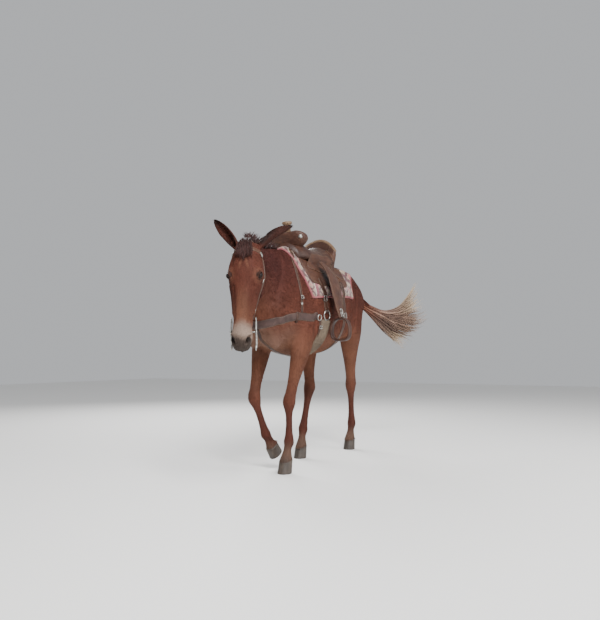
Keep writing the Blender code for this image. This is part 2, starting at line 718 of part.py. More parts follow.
def build_ear(name, base, tip, open_way):
    """A long leaf rolled into a cup that opens along one side."""
    bm = bmesh.new()
    axis = tip - base
    along = axis.normalized()
    front = (open_way - along * open_way.dot(along)).normalized()
    across = along.cross(front)
    outer, inner = [], []
    for k in range(EAR_STEPS + 1):
        t = k / EAR_STEPS
        wide = EAR_HALF_WIDTH * (0.62 + 1.35 * t - 0.70 * t * t) * (1.0 - t**3.2) ** 0.62 + 0.0015
        gape = EAR_GAPE * min(1.0, 0.35 + 2.2 * t)
        centre = base + axis * t - front * (0.018 * math.sin(math.pi * t) - 0.006)
        for rows, radius in ((outer, wide), (inner, max(wide - EAR_WALL, wide * 0.35))):
            row = []
            for j in range(EAR_ARC + 1):
                angle = gape + (2 * math.pi - 2 * gape) * j / EAR_ARC
                deep, wide_part = math.cos(angle) * radius * EAR_DEPTH_SHARE, math.sin(angle) * radius
                row.append(centre + front * deep + across * wide_part)
            rows.append(row)
    skin_rings(bm, [out + list(reversed(ins)) for out, ins in zip(outer, inner)])
    return new_object(name, bm, COAT)


def lock(bm, points, width, thickness, flat_way, leaf):
    """A flat, tapered lock of hair through the points, widest past its root or, as a leaf, at its root."""
    count = len(points)
    rings = []
    for k, point in enumerate(points):
        t = k / (count - 1)
        way = (points[min(k + 1, count - 1)] - points[max(k - 1, 0)]).normalized()
        across = way.cross(flat_way).normalized()
        up = across.cross(way)
        taper = (1 - t) ** 0.8 if leaf else (0.55 + 1.5 * t - 0.9 * t * t) * (1 - t**3)
        half = width / 2 * max(LOCK_TIP, taper)
        thick = thickness / 2 * max(0.25, 1 - t**2)
        left, right = point + across * half, point - across * half
        rings.append([left - up * thick, point + up * thick, right - up * thick])
    skin_rings(bm, rings)


def lock_object(points, width, thickness, flat_way, leaf=False, clear=()):
    """A lock of hair as an object, cut back from the straps that hold it down."""
    bm = bmesh.new()
    lock(bm, points, width, thickness, Vector(flat_way), leaf)
    piece = new_object("lock", bm)
    for strap in clear:
        boolean(piece, FORMS[strap.name], "DIFFERENCE")
    return piece


def build_eye(side):
    bm = bmesh.new()
    bmesh.ops.create_icosphere(bm, subdivisions=2, radius=EYE_RADIUS)
    bmesh.ops.translate(bm, vec=eye_centre(side), verts=bm.verts)
    return new_object("eye_left" if side > 0 else "eye_right", bm, EYE)


def eye_centre(side):
    return head_point(side * EYE_SIDE, EYE_OUT, EYE_DOWN)


def cut_out(obj, bm):
    """Cuts a shape out of the object."""
    cutter = new_object("cutter", bm)
    boolean(obj, cutter, "DIFFERENCE")
    discard(cutter)


def cut_eye(head, side):
    """The lids' rim around an eye, the slit between the lids and the socket behind it."""
    centre = eye_centre(side)
    look = (HEAD_SIDE * side * 0.80 + FACE_OUT * 0.58 + FACE_DOWN * 0.10).normalized()
    bm = bmesh.new()
    bmesh.ops.create_icosphere(bm, subdivisions=2, radius=EYE_RADIUS + LID_THICKNESS)
    bmesh.ops.translate(bm, vec=centre, verts=bm.verts)
    unite(head, [new_object("lids", bm)])
    bm = bmesh.new()
    along = (FACE_DOWN - look * FACE_DOWN.dot(look)).normalized()
    upward = look.cross(along)
    near, far = [], []
    for k in range(EYE_SLIT_SIDES):
        angle = 2 * math.pi * k / EYE_SLIT_SIDES
        spot = along * math.cos(angle) * EYE_SLIT_LENGTH / 2 + upward * math.sin(angle) * EYE_SLIT_HEIGHT / 2
        near.append(centre + look * 0.006 + spot * 0.9)
        far.append(centre + look * 0.050 + spot * 1.3)
    skin_rings(bm, [near, far])
    cut_out(head, bm)
    bm = bmesh.new()
    bmesh.ops.create_icosphere(bm, subdivisions=2, radius=EYE_RADIUS + GAP)
    bmesh.ops.translate(bm, vec=centre, verts=bm.verts)
    cut_out(head, bm)


def cut_nostril(head, side):
    """A comma of two hollows, the lower one nearer the middle."""
    for place, radii in NOSTRIL_HOLLOWS:
        bm = bmesh.new()
        mass(bm, head_point(side * place[0], *place[1:]), radii, head_turn(), detail=2)
        cut_out(head, bm)


def cut_mouth(head):
    """The line of the mouth, open along the front and the sides of the muzzle."""
    corner = MOUTH_CORNER_DOWN
    end = HEAD_LENGTH + MOUTH_OVERRUN
    middle = head_point(0, MOUTH_OUT, (corner + end) / 2)
    line = block("mouth", middle, (0.20, MOUTH_LINE, end - corner), head_turn())
    core = block("core", head_point(0, MOUTH_OUT, corner), (0.074, 0.03, 0.20), head_turn())
    boolean(line, core, "DIFFERENCE")
    boolean(head, line, "DIFFERENCE")
    discard(core, line)


def finish_head(head):
    """Lids, eye sockets, nostrils and the line of the mouth."""
    for side in SIDES.values():
        cut_eye(head, side)
        cut_nostril(head, side)
    cut_mouth(head)
    keep_largest(head)


# Hair
def on_lie(height, t):
    """The point this far along a strand, between the highest lie of the tail, at 0, and the lowest, at 1."""
    rows = [smooth_rows(lie, 4) for lie in TAIL_LIES]
    first, second = (rows[0], rows[1]) if height < 0.5 else (rows[1], rows[2])
    share = height * 2 if height < 0.5 else height * 2 - 1
    row = first * (1 - share) + second * share
    place = t * (len(row) - 1)
    k = min(int(place), len(row) - 2)
    return Vector(row[k] * (1 - place + k) + row[k + 1] * (place - k))


def build_tail(torso):
    """The dock, with flat tapered locks that fan out to the left and back as it swings."""
    draw = random.Random(TAIL_SEED)
    bm = bmesh.new()
    rows = smooth_rows(DOCK, 2)
    rings = []
    for k, centre in enumerate(rows):
        way = Vector(rows[min(k + 1, len(rows) - 1)] - rows[max(k - 1, 0)]).normalized()
        side = way.cross(UP).normalized()
        radius = 0.040 * (1 - 0.72 * k / (len(rows) - 1))
        up = side.cross(way)
        turns = [2 * math.pi * j / 10 for j in range(10)]
        rings.append([Vector(centre) + (side * math.cos(a) + up * math.sin(a)) * radius for a in turns])
    skin_rings(bm, rings)
    tail = new_object("tail", bm, HAIR)
    pieces = []
    fan = Vector((0.62, -0.78, 0.0))
    for k in range(TAIL_LOCKS):
        height = (k + 0.5) / TAIL_LOCKS
        start = 0.06 + 0.30 * draw.random()
        end = 0.84 + 0.16 * draw.random()
        spread = draw.uniform(-0.060, 0.060)
        lift = draw.uniform(-0.030, 0.030)
        points = []
        for j in range(TAIL_KNOTS):
            t = start + (end - start) * j / (TAIL_KNOTS - 1)
            loose = (t - start) ** 1.2
            point = on_lie(min(1.0, max(0.0, height)), t)
            points.append(point + fan * spread * loose * 1.4 + UP * lift * loose)
        flat = Vector((fan.x, fan.y, draw.uniform(-0.5, 0.5)))
        pieces.append(lock_object(points, draw.uniform(0.026, 0.040), 0.010, flat))
    unite(tail, pieces)
    clear_of(tail, torso)
    return tail


def crest_point(t):
    """The top of the neck from withers to poll."""
    rows = smooth_rows([top for top, _, _ in NECK_SECTIONS], 4)
    place = t * (len(rows) - 1)
    k = min(int(place), len(rows) - 2)
    return Vector(rows[k] * (1 - place + k) + rows[k + 1] * (place - k))


def add_mane(neck, head, torso, crown):
    """A clipped mane of short locks that overlap, lean back and fall by turns to either side."""
    draw = random.Random(MANE_SEED)
    pieces = []
    for k in range(MANE_LOCKS):
        t = MANE_START + MANE_SPAN * (k + draw.uniform(-0.2, 0.2)) / (MANE_LOCKS - 1)
        way = (crest_point(min(1.0, t + 0.03)) - crest_point(t - 0.03)).normalized()
        side = way.cross(UP).normalized()
        hand = 1 if k % 2 else -1
        root = crest_point(t) + side * 0.007 * hand
        tall = MANE_HEIGHT * draw.uniform(0.75, 1.25) * min(1.0, 0.5 + 4 * (t - 0.2), 0.45 + 5 * (0.93 - t))
        fall = side * draw.uniform(0.15, 0.75) * hand - way * draw.uniform(0.25, 1.05)
        points = [root - UP * 0.024, root + UP * tall * 0.35 + fall * tall * 0.08,
                  root + UP * tall * 0.78 + fall * tall * 0.42, root + UP * tall + fall * tall]
        beside = (crown, head) if t > 0.75 else (torso,) if t < 0.40 else ()
        width = MANE_LOCK_WIDTH * draw.uniform(0.85, 1.25)
        pieces.append(lock_object(points, width, 0.017, side, leaf=True, clear=beside))
    unite(neck, pieces)
    keep_largest(neck)


def add_forelock(head, browband):
    """Short locks on the forehead that come out from under the browband, and a few between the ears."""
    draw = random.Random(FORELOCK_SEED)
    pieces = []
    for k in range(FORELOCK_LOCKS):
        across = (k / (FORELOCK_LOCKS - 1) - 0.5) * 2
        side = across * 0.028
        if k % 3 == 1:
            points = [head_point(side * 0.7, -0.055, -0.020), head_point(side, -0.012, -0.002),
                      head_point(side * 1.2, 0.014, 0.012), head_point(side * 1.4, 0.016, 0.028)]
            pieces.append(lock_object(points, 0.030, 0.010, FACE_OUT, leaf=True, clear=(browband,)))
        long = FORELOCK_LENGTH * draw.uniform(0.75, 1.1) * (1 - 0.35 * abs(across))
        points = [head_point(side, -0.018, 0.046), head_point(side * 1.1, 0.006, 0.062),
                  head_point(side * 1.3, 0.021, 0.050 + long * 0.45),
                  head_point(side * 1.55, 0.019, 0.040 + long)]
        pieces.append(lock_object(points, 0.026, 0.010, FACE_OUT, leaf=True, clear=(browband,)))
    unite(head, pieces)
    keep_largest(head)


# Laying pieces on the body
def trunk_radius(tree, angle, along):
    """How far the surface is from the trunk's axis, at an angle from straight up."""
    way = Vector((math.sin(angle), 0.0, math.cos(angle)))
    axis = Vector((0.0, along, TRUNK_AXIS_HEIGHT))
    hit = tree.ray_cast(axis + way * 1.2, -way)[0]
    return (hit - axis).length if hit else 0.25


def shell(name, outline, thickness, under, material, rows=8, columns=8, crown=0.0):
    """A sheet laid over the trunk; the outline gives angle and place for a and b from -1 to 1."""
    tree = surface_of(*under)
    spots = []
    for i in range(rows + 1):
        spots.append([outline(2 * i / rows - 1, 2 * j / columns - 1) for j in range(columns + 1)])
    radii = np.array([[trunk_radius(tree, angle, along) for angle, along in row] for row in spots])
    eased = radii
    for _ in range(2):
        padded = np.pad(eased, 1, mode="edge")
        eased = (padded[:-2, 1:-1] + padded[2:, 1:-1] + padded[1:-1, :-2] + padded[1:-1, 2:] + 4 * eased) / 8
    eased = np.maximum(eased, radii)
    bm = bmesh.new()
    layers = []
    for inner in (True, False):
        layer = []
        for i, row in enumerate(spots):
            line = []
            for j, (angle, along) in enumerate(row):
                a, b = 2 * i / rows - 1, 2 * j / columns - 1
                rise = thickness + crown * (1 - a * a) * (1 - b * b)
                radius = radii[i, j] - SINK if inner else eased[i, j] + rise
                way = Vector((math.sin(angle), 0.0, math.cos(angle)))
                line.append(bm.verts.new(Vector((0.0, along, TRUNK_AXIS_HEIGHT)) + way * radius))
            layer.append(line)
        layers.append(layer)
    low, high = layers
    for i in range(rows):
        for j in range(columns):
            bm.faces.new((high[i][j], high[i + 1][j], high[i + 1][j + 1], high[i][j + 1]))
            bm.faces.new((low[i][j], low[i][j + 1], low[i + 1][j + 1], low[i + 1][j]))
    rim = [(i, 0) for i in range(rows)] + [(rows, j) for j in range(columns)]
    rim += [(i, columns) for i in range(rows, 0, -1)] + [(0, j) for j in range(columns, 0, -1)]
    for (i, j), (k, m) in zip(rim, rim[1:] + rim[:1]):
        bm.faces.new((low[i][j], low[k][m], high[k][m], high[i][j]))
    obj = new_object(name, bm, material)
    keep_form(obj)
    clear_of(obj, *under)
    return obj


def even_path(points, spacing):
    """Points a like distance apart on the smooth curve through the points given."""
    fine = smooth_rows(points, 8)
    lengths = np.concatenate([[0.0], np.cumsum(np.linalg.norm(np.diff(fine, axis=0), axis=1))])
    stations = np.linspace(0.0, lengths[-1], max(3, round(lengths[-1] / spacing) + 1))
    return np.stack([np.interp(stations, lengths, fine[:, k]) for k in range(3)], axis=1)


def band(name, points, width, thickness, under, material, columns=1, spacing=0.060):
    """A strap through the points, laid on the topmost of what is under it."""
    tree = surface_of(*under)
    path = [tree.find_nearest(Vector(row)) for row in even_path(points, spacing)]
    count = len(path)
    spots = [near[0] for near in path]
    outs = [near[1] for near in path]
    for _ in range(3):
        padded = [outs[0]] + outs + [outs[-1]]
        outs = [(a + b * 2 + c).normalized() for a, b, c in zip(padded, padded[1:], padded[2:])]
    heights = np.zeros((count, columns + 1))
    bases = []
    for k, (spot, out) in enumerate(zip(spots, outs)):
        way = (spots[min(k + 1, count - 1)] - spots[max(k - 1, 0)]).normalized()
        side = way.cross(out).normalized()
        line = [spot + side * width * (j / columns - 0.5) for j in range(columns + 1)]
        for j, base in enumerate(line):
            hit = tree.ray_cast(base + out * PROBE, -out, 2 * PROBE)[0]
            heights[k, j] = (hit - base).dot(out) if hit else 0.0
        bases.append(line)
    eased = heights
    for _ in range(2):
        padded = np.vstack([eased[:1], eased, eased[-1:]])
        eased = np.maximum((padded[:-2] + 2 * eased + padded[2:]) / 4, heights)
    rings = []
    for line, out, low, high in zip(bases, outs, heights, eased):
        outer = [base + out * (rise + thickness) for base, rise in zip(line, high)]
        inner = [base + out * (rise - SINK) for base, rise in zip(line, low)]
        rings.append(outer + inner[::-1])
    bm = bmesh.new()
    skin_rings(bm, rings)
    obj = new_object(name, bm, material)
    keep_form(obj)
    clear_of(obj, *under)
    return obj


def mirrored(points, side):
    return [(side * x, y, z) for x, y, z in points]


def both_sides(points):
    """A route from the left side over the middle to the right side."""
    return mirrored(points, 1) + mirrored(points[-2::-1], -1)


def turned(name, centre, way, profile, material, sides=14):
    """A round piece along its own axis, from pairs of height and radius."""
    way = Vector(way).normalized()
    side = way.orthogonal().normalized()
    other = way.cross(side)
    rings = []
    for height, radius in profile:
        turns = [2 * math.pi * k / sides for k in range(sides)]
        middle = Vector(centre) + way * height
        rings.append([middle + (side * math.cos(a) + other * math.sin(a)) * radius for a in turns])
    bm = bmesh.new()
    skin_rings(bm, rings)
    obj = new_object(name, bm, material)
    keep_form(obj)
    return obj


def hoop(name, centre, way, radius, wire, material, sides=12):
    """A round ring of wire."""
    way = Vector(way).normalized()
    side = way.orthogonal().normalized()
    other = way.cross(side)
    bm = bmesh.new()
    loops = []
    for k in range(sides):
        a = 2 * math.pi * k / sides
        out = side * math.cos(a) + other * math.sin(a)
        spot = Vector(centre) + out * radius
        loop = []
        for j in range(5):
            b = 2 * math.pi * j / 5
            loop.append(bm.verts.new(spot + (out * math.cos(b) + way * math.sin(b)) * wire))
        loops.append(loop)
    for k in range(sides):
        low, high = loops[k], loops[(k + 1) % sides]
        for j in range(5):
            bm.faces.new((low[j], low[(j + 1) % 5], high[(j + 1) % 5], high[j]))
    obj = new_object(name, bm, material)
    keep_form(obj)
    return obj


def tube(name, points, radius, material, sides=6, steps=2, flat=1.0):
    """A bent rod through the points."""
    rows = [Vector(row) for row in smooth_rows(points, steps)]
    count = len(rows)
    rings = []
    for k, centre in enumerate(rows):
        way = (rows[min(k + 1, count - 1)] - rows[max(k - 1, 0)]).normalized()
        side = HEAD_SIDE.cross(way).normalized()
        other = way.cross(side)
        turns = [2 * math.pi * j / sides for j in range(sides)]
        side, other = side * radius, other * radius * flat
        rings.append([centre + side * math.cos(a) + other * math.sin(a) for a in turns])
    bm = bmesh.new()
    skin_rings(bm, rings)
    obj = new_object(name, bm, material)
    keep_form(obj)
    return obj


def on_surface(under, point, lift=0.0):
    """The nearest point of what is under, with the way out of it."""
    spot, normal, _, _ = surface_of(*under).find_nearest(Vector(point))
    return spot + normal * lift, normal


def concho(name, under, point, radius):
    spot, way = on_surface(under, point)
    profile = ((-SINK, radius), (0.003, radius), (0.006, radius * 0.6), (0.007, radius * 0.2))
    obj = turned(name, spot, way, profile, STEEL, sides=9)
    clear_of(obj, *under)
    return obj


# The bridle
def head_route(points):
    return [tuple(head_point(*point)) for point in points]


def build_bridle(head, neck):
    under = (head, neck)
    cheek = ((0.060, -0.080, 0.435), (0.078, -0.090, 0.350), (0.096, -0.095, 0.240), (0.104, -0.092, 0.150),
             (0.098, -0.106, 0.065), (0.094, -0.124, 0.005), (0.064, -0.134, -0.050), (0.000, -0.134, -0.070))
    route = head_route(both_sides(cheek))
    headstall = band("headstall", route, STRAP_WIDTH, STRAP_THICKNESS, under, LEATHER, spacing=0.031)
    made = {"headstall": headstall}
    brow = ((0.086, -0.078, 0.062), (0.052, -0.002, 0.048), (0.000, 0.012, 0.044))
    route = head_route(both_sides(brow))
    on = (head, headstall)
    made["browband"] = band("browband", route, BROWBAND_WIDTH, STRAP_THICKNESS, on, LEATHER, spacing=0.024)
    for label, side in SIDES.items():
        shank = ((side * 0.066, -0.080, 0.438), (side * 0.067, -0.086, 0.470), (side * 0.068, -0.092, 0.503),
                 (side * 0.069, -0.112, 0.535), (side * 0.067, -0.128, 0.565), (side * 0.066, -0.126, 0.592))
        bit = tube("bit_" + label, head_route(shank), 0.006, STEEL, steps=1, flat=0.7)
        clear_of(bit, head, headstall)
        made["bit_" + label] = bit
        on = (head, made["browband"], headstall)
        spot = head_point(side * 0.086, -0.068, 0.060)
        made["bridle_concho_" + label] = concho("bridle_concho_" + label, on, spot, 0.017)
    curb = ((0.062, -0.104, 0.452), (0.040, -0.138, 0.456), (0.000, -0.150, 0.458))
    route = head_route(both_sides(curb))
    on = (head, made["bit_left"], made["bit_right"])
    made["curb_strap"] = band("curb_strap", route, CURB_WIDTH, STRAP_THICKNESS, on, LEATHER, spacing=0.020)
    return made


# The saddle, its pad and what holds them
def side_patch(side, near, far, front, back, corner=0.35):
    """An outline with rounded corners on one side of the trunk, between two angles in degrees."""

    def outline(a, b):
        pull = 1 - corner * 0.5 * (a * b) ** 2
        angle = math.radians((near + far) / 2 + (far - near) / 2 * b * (pull if b > 0 else 1.0))
        return side * angle, (front + back) / 2 + (back - front) / 2 * a * pull

    return outline


def pad_outline(a, b):
    front_edge = PAD_FRONT + 0.085 * abs(b) ** 1.6
    along = front_edge + (PAD_BACK - front_edge) * (a + 1) / 2
    drop = 79 - 10 * (a + 1) / 2
    return math.radians(drop * b), along


def build_saddle(torso, neck):
    made = {}
    pad = shell("saddle_pad", pad_outline, PAD_THICKNESS, (torso, neck), WOOL, rows=5, columns=12)
    made["saddle_pad"] = pad
    for label, side in SIDES.items():
        patch = side_patch(side, 4, 60, SKIRT_FRONT, SKIRT_BACK)
        made["skirt_" + label] = shell("skirt_" + label, patch, SKIRT_THICKNESS, (pad, torso), LEATHER, 5, 3)
    skirts = (made["skirt_left"], made["skirt_right"])
    rows = [(0, y, top, 0, y, SEAT_BOTTOM, wide, 0.30, 0.35, 0.0) for y, top, wide in SEAT_SECTIONS]
    bm = bmesh.new()
    loft(bm, rows, sides=14, steps=1)
    seat = new_object("saddle_seat", bm, LEATHER)
    keep_form(seat)
    clear_of(seat, pad, *skirts, torso)
    made["saddle_seat"] = seat
    bm = bmesh.new()
    mass(bm, (0, 0.125, 1.578), (SWELL_HALF_WIDTH, 0.056, 0.066), detail=2)
    swell = new_object("saddle_swell", bm, LEATHER)
    keep_form(swell)
    clear_of(swell, seat, pad, *skirts)
    made["saddle_swell"] = swell
    foot = (0, 0.118, HORN_TOP_HEIGHT - HORN_PROFILE[-1][0])
    horn = turned("saddle_horn", foot, (0, -0.16, 1), HORN_PROFILE, RAWHIDE)
    clear_of(horn, swell)
    made["saddle_horn"] = horn
    rows = []
    for k in range(9):
        t = k / 4 - 1
        fall = t * t
        rows.append((0.166 * t, 0.628 - 0.062 * fall, CANTLE_HEIGHT - 0.110 * fall,
                     0.166 * t, 0.588 - 0.055 * fall, 1.470, 0.015, 0.5, 0.0, 0.0))
    bm = bmesh.new()
    loft(bm, rows, sides=10, steps=1, power=2.6)
    cantle = new_object("saddle_cantle", bm, LEATHER)
    keep_form(cantle)
    clear_of(cantle, seat, pad, *skirts)
    made["saddle_cantle"] = cantle
    for label, side in SIDES.items():
        skirt = made["skirt_" + label]
        patch = side_patch(side, 12, 47, 0.515, 0.632, corner=0.5)
        under = (skirt, seat, cantle, pad)
        made["jockey_" + label] = shell("jockey_" + label, patch, JOCKEY_THICKNESS, under, LEATHER, 3, 4)
    return made


def plate(name, rows, thickness, material):
    """A strap or flap through rows of side, along, up and half width, as thick as asked, facing outwards."""
    rings = []
    rows = smooth_rows(rows, 2)
    for k, (x, y, z, wide) in enumerate(rows):
        before, after = rows[max(k - 1, 0)], rows[min(k + 1, len(rows) - 1)]
        way = Vector(after[:3] - before[:3]).normalized()
        out = Vector((0, 1, 0)).cross(way).normalized()
        out = out if out.x * x > 0 else -out
        front, back = Vector((x, y - wide, z)), Vector((x, y + wide, z))
        rings.append([front, back, back + out * thickness, front + out * thickness])
    bm = bmesh.new()
    skin_rings(bm, rings)
    return new_object(name, bm, material)


def build_stirrup(name, side):
    """A bell-shaped stirrup with its opening front to back."""
    bm = bmesh.new()
    centre = Vector((side * STIRRUP_SIDE, STIRRUP_ALONG, STIRRUP_BOTTOM))
    loops = []
    for k in range(STIRRUP_SIDES):
        a = 2 * math.pi * (k + 0.5) / STIRRUP_SIDES
        level, rise = math.cos(a), math.sin(a)
        wide = STIRRUP_HALF_WIDTH * (1.0 - 0.22 * max(rise, 0))
        loop = []
        for inset, depth in ((0, 1), (0, -1), (1, -1), (1, 1)):
            half = wide - STIRRUP_WALL * inset
            tall = STIRRUP_HEIGHT / 2 - (STIRRUP_WALL if rise > 0 else STIRRUP_TREAD) * inset
            x = math.copysign(abs(level) ** STIRRUP_SQUARENESS, level) * half
            z = math.copysign(abs(rise) ** STIRRUP_SQUARENESS, rise) * tall + STIRRUP_HEIGHT / 2
            y = depth * STIRRUP_DEPTH / 2 * (1.0 - 0.25 * max(rise, 0))
            loop.append(bm.verts.new(centre + Vector((x, y, z))))
        loops.append(loop)
    for k in range(STIRRUP_SIDES):
        low, high = loops[k], loops[(k + 1) % STIRRUP_SIDES]
        for j in range(4):
            bm.faces.new((low[j], low[(j + 1) % 4], high[(j + 1) % 4], high[j]))
    return new_object(name, bm, LEATHER)


def build_hangings(saddle):
    made = {}
    for label, side in SIDES.items():
        stirrup = build_stirrup("stirrup_" + label, side)
        keep_form(stirrup)
        y = STIRRUP_ALONG
        top = STIRRUP_BOTTOM + STIRRUP_HEIGHT
        rows = ((0.178, y, 1.430, 0.040), (0.232, y, 1.372, 0.055), (0.276, y, 1.290, FENDER_HALF_WIDTH),
                (0.302, y, 1.190, FENDER_HALF_WIDTH), (0.314, y, 1.110, 0.060),
                (STIRRUP_SIDE, y, top - 0.006, 0.030))
        rows = [(side * x, along, z, wide) for x, along, z, wide in rows]
        fender = plate("fender_" + label, rows, FENDER_THICKNESS, LEATHER)
        keep_form(fender)
        under = (saddle["saddle_seat"], saddle["skirt_" + label], saddle["saddle_pad"], stirrup)
        clear_of(fender, *under)
        made["stirrup_" + label] = stirrup
        made["fender_" + label] = fender
    return made


def build_rigging(torso, legs, saddle):
    made = {}
    pad = saddle["saddle_pad"]
    girth = ((0.262, 0.235, 1.010), (0.240, 0.235, 0.900), (0.170, 0.235, 0.805), (0.080, 0.235, 0.768),
             (0.000, 0.235, 0.762))
    made["front_cinch"] = band("front_cinch", both_sides(girth), CINCH_WIDTH, CINCH_THICKNESS, (torso, *legs),
                               CORD, columns=2, spacing=0.070)
    for label, side in SIDES.items():
        spot, way = on_surface((torso,), (side * 0.27, 0.235, 1.045), 0.0065)
        ring = hoop("cinch_ring_" + label, spot, way, 0.034, 0.0045, STEEL)
        clear_of(ring, torso, made["front_cinch"], pad)
        made["cinch_ring_" + label] = ring
        skirt, fender = saddle["skirt_" + label], saddle["fender_" + label]
        hang = ((0.270, 0.235, 1.082), (0.285, 0.225, 1.160), (0.275, 0.205, 1.250), (0.245, 0.190, 1.330))
        route = mirrored(hang, side)
        under = (torso, pad, skirt, ring)
        latigo = band("latigo_" + label, route, 0.044, 0.005, under, LEATHER, spacing=0.050)
        clear_of(latigo, fender)
        made["latigo_" + label] = latigo
    flank = ((0.245, 0.500, 1.320), (0.275, 0.500, 1.230), (0.285, 0.500, 1.120), (0.272, 0.500, 0.980),
             (0.200, 0.500, 0.850), (0.090, 0.500, 0.785), (0.000, 0.500, 0.775))
    under = (torso, pad, saddle["skirt_left"], saddle["skirt_right"])
    made["rear_cinch"] = band("rear_cinch", both_sides(flank), 0.045, 0.006, under, LEATHER, spacing=0.095)
    under = (torso, made["front_cinch"], made["rear_cinch"])
    keeper = ((0.0, 0.285, 0.760), (0.0, 0.380, 0.765), (0.0, 0.485, 0.775))
    made["cinch_keeper"] = band("cinch_keeper", keeper, 0.024, 0.004, under, LEATHER)
    return made


def build_collar(torso, neck, legs, saddle, rigging):
    made = {}
    cinch = rigging["front_cinch"]
    chest = ((0.262, 0.128, 1.022), (0.240, 0.020, 1.020), (0.212, -0.110, 1.012), (0.160, -0.240, 0.985),
             (0.080, -0.335, 0.955), (0.000, -0.350, 0.940))
    body = (torso, neck)
    made["breast_collar"] = band("breast_collar", both_sides(chest), COLLAR_WIDTH, COLLAR_THICKNESS, body,
                                 COLLAR_LEATHER, spacing=0.056)
    collar = made["breast_collar"]
    for label, side in SIDES.items():
        spot, way = on_surface((torso,), (side * 0.270, 0.152, 1.022), 0.0045)
        ring = hoop("collar_ring_" + label, spot, way, 0.020, 0.0036, STEEL, sides=10)
        clear_of(ring, torso, collar)
        made["collar_ring_" + label] = ring
        hang = ((0.072, 0.062, 1.535), (0.110, 0.005, 1.430), (0.150, -0.030, 1.290),
                (0.180, -0.040, 1.170), (0.205, -0.045, 1.048))
        route = mirrored(hang, side)
        under = (torso, neck, saddle["saddle_pad"], collar, saddle["saddle_swell"], saddle["saddle_seat"])
        made["tug_" + label] = band("tug_" + label, route, 0.024, 0.005, under, LEATHER)
        route = mirrored(((0.268, 0.168, 1.000), (0.258, 0.180, 0.930), (0.235, 0.195, 0.870)), side)
        under = (torso, cinch, ring)
        made["collar_tie_" + label] = band("collar_tie_" + label, route, 0.020, 0.004, under, LEATHER)
    route = ((0.0, -0.352, 0.912), (0.0, -0.330, 0.880), (0.0, -0.240, 0.815), (0.0, -0.100, 0.775),
             (0.0, 0.060, 0.765), (0.0, 0.190, 0.758))
    under = (torso, collar, cinch)
    made["breast_strap"] = band("breast_strap", route, 0.026, 0.004, under, LEATHER)
    return made


def build_conchos(torso, saddle, collar):
    made = {}
    for label, side in SIDES.items():
        under = (saddle["jockey_" + label], saddle["saddle_cantle"], saddle["saddle_seat"])
        spot = (side * 0.165, 0.590, 1.540)
        made["rear_concho_" + label] = concho("rear_concho_" + label, under, spot, 0.016)
        under = (collar["tug_" + label], torso)
        spot = (side * 0.260, -0.060, 1.110)
        made["tug_concho_" + label] = concho("tug_concho_" + label, under, spot, 0.011)
    return made


flesh = build_flesh()
nodes = part_flesh(flesh)
for node in nodes.values():
    keep_form(node)
torso, neck, head = nodes["torso"], nodes["neck"], nodes["head"]
legs = [nodes["fore_left_leg"], nodes["fore_right_leg"]]
for label, (root, way, cup) in EARS.items():
    base = head_point(*root)
    along = Vector(way).normalized()
    nodes["ear_" + label] = build_ear("ear_" + label, base, base + along * EAR_LENGTH, Vector(cup))
    clear_of(nodes["ear_" + label], head)
nodes["tail"] = build_tail(torso)
nodes.update(build_bridle(head, neck))
saddle = build_saddle(torso, neck)
saddle.update(build_hangings(saddle))
rigging = build_rigging(torso, legs, saddle)
collar = build_collar(torso, neck, legs, saddle, rigging)
nodes.update(saddle)
nodes.update(rigging)
nodes.update(collar)
nodes.update(build_conchos(torso, saddle, collar))
finish_head(head)
for label, hand in SIDES.items():
    nodes["eye_" + label] = build_eye(hand)
for leg in LEG_JOINTS:
    nodes[leg + "_hoof"] = build_hoof(leg)
add_forelock(head, nodes["browband"])
add_mane(neck, head, torso, nodes["headstall"])
discard(*FORMS.values())


def settle(nodes):
    """Puts the origin at the bottom centre of the whole and shades the round pieces smooth."""
    corners = [vert.co for node in nodes for vert in node.data.vertices]
    low = Vector(min(co[k] for co in corners) for k in range(3))
    high = Vector(max(co[k] for co in corners) for k in range(3))
    shift = -Vector(((low.x + high.x) / 2, (low.y + high.y) / 2, low.z))
    for node in nodes:
        node.data.transform(Matrix.Translation(shift))
        node.data.shade_smooth()
        node.data.set_sharp_from_angle(angle=math.radians(SHARP_ANGLE))


settle(list(nodes.values()))
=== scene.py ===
"""The looks of a saddle mule at a walk: one skin with its coat, mane and tail, and all its tack.

Everything is built in the part's working frame, with its origin under the withers, and then moved onto the
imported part. The mule faces -Y and its left side is +X.
"""

import json
import math
import random

import bmesh
import bpy
import numpy as np
from mathutils import Matrix, Vector
from mathutils.bvhtree import BVHTree

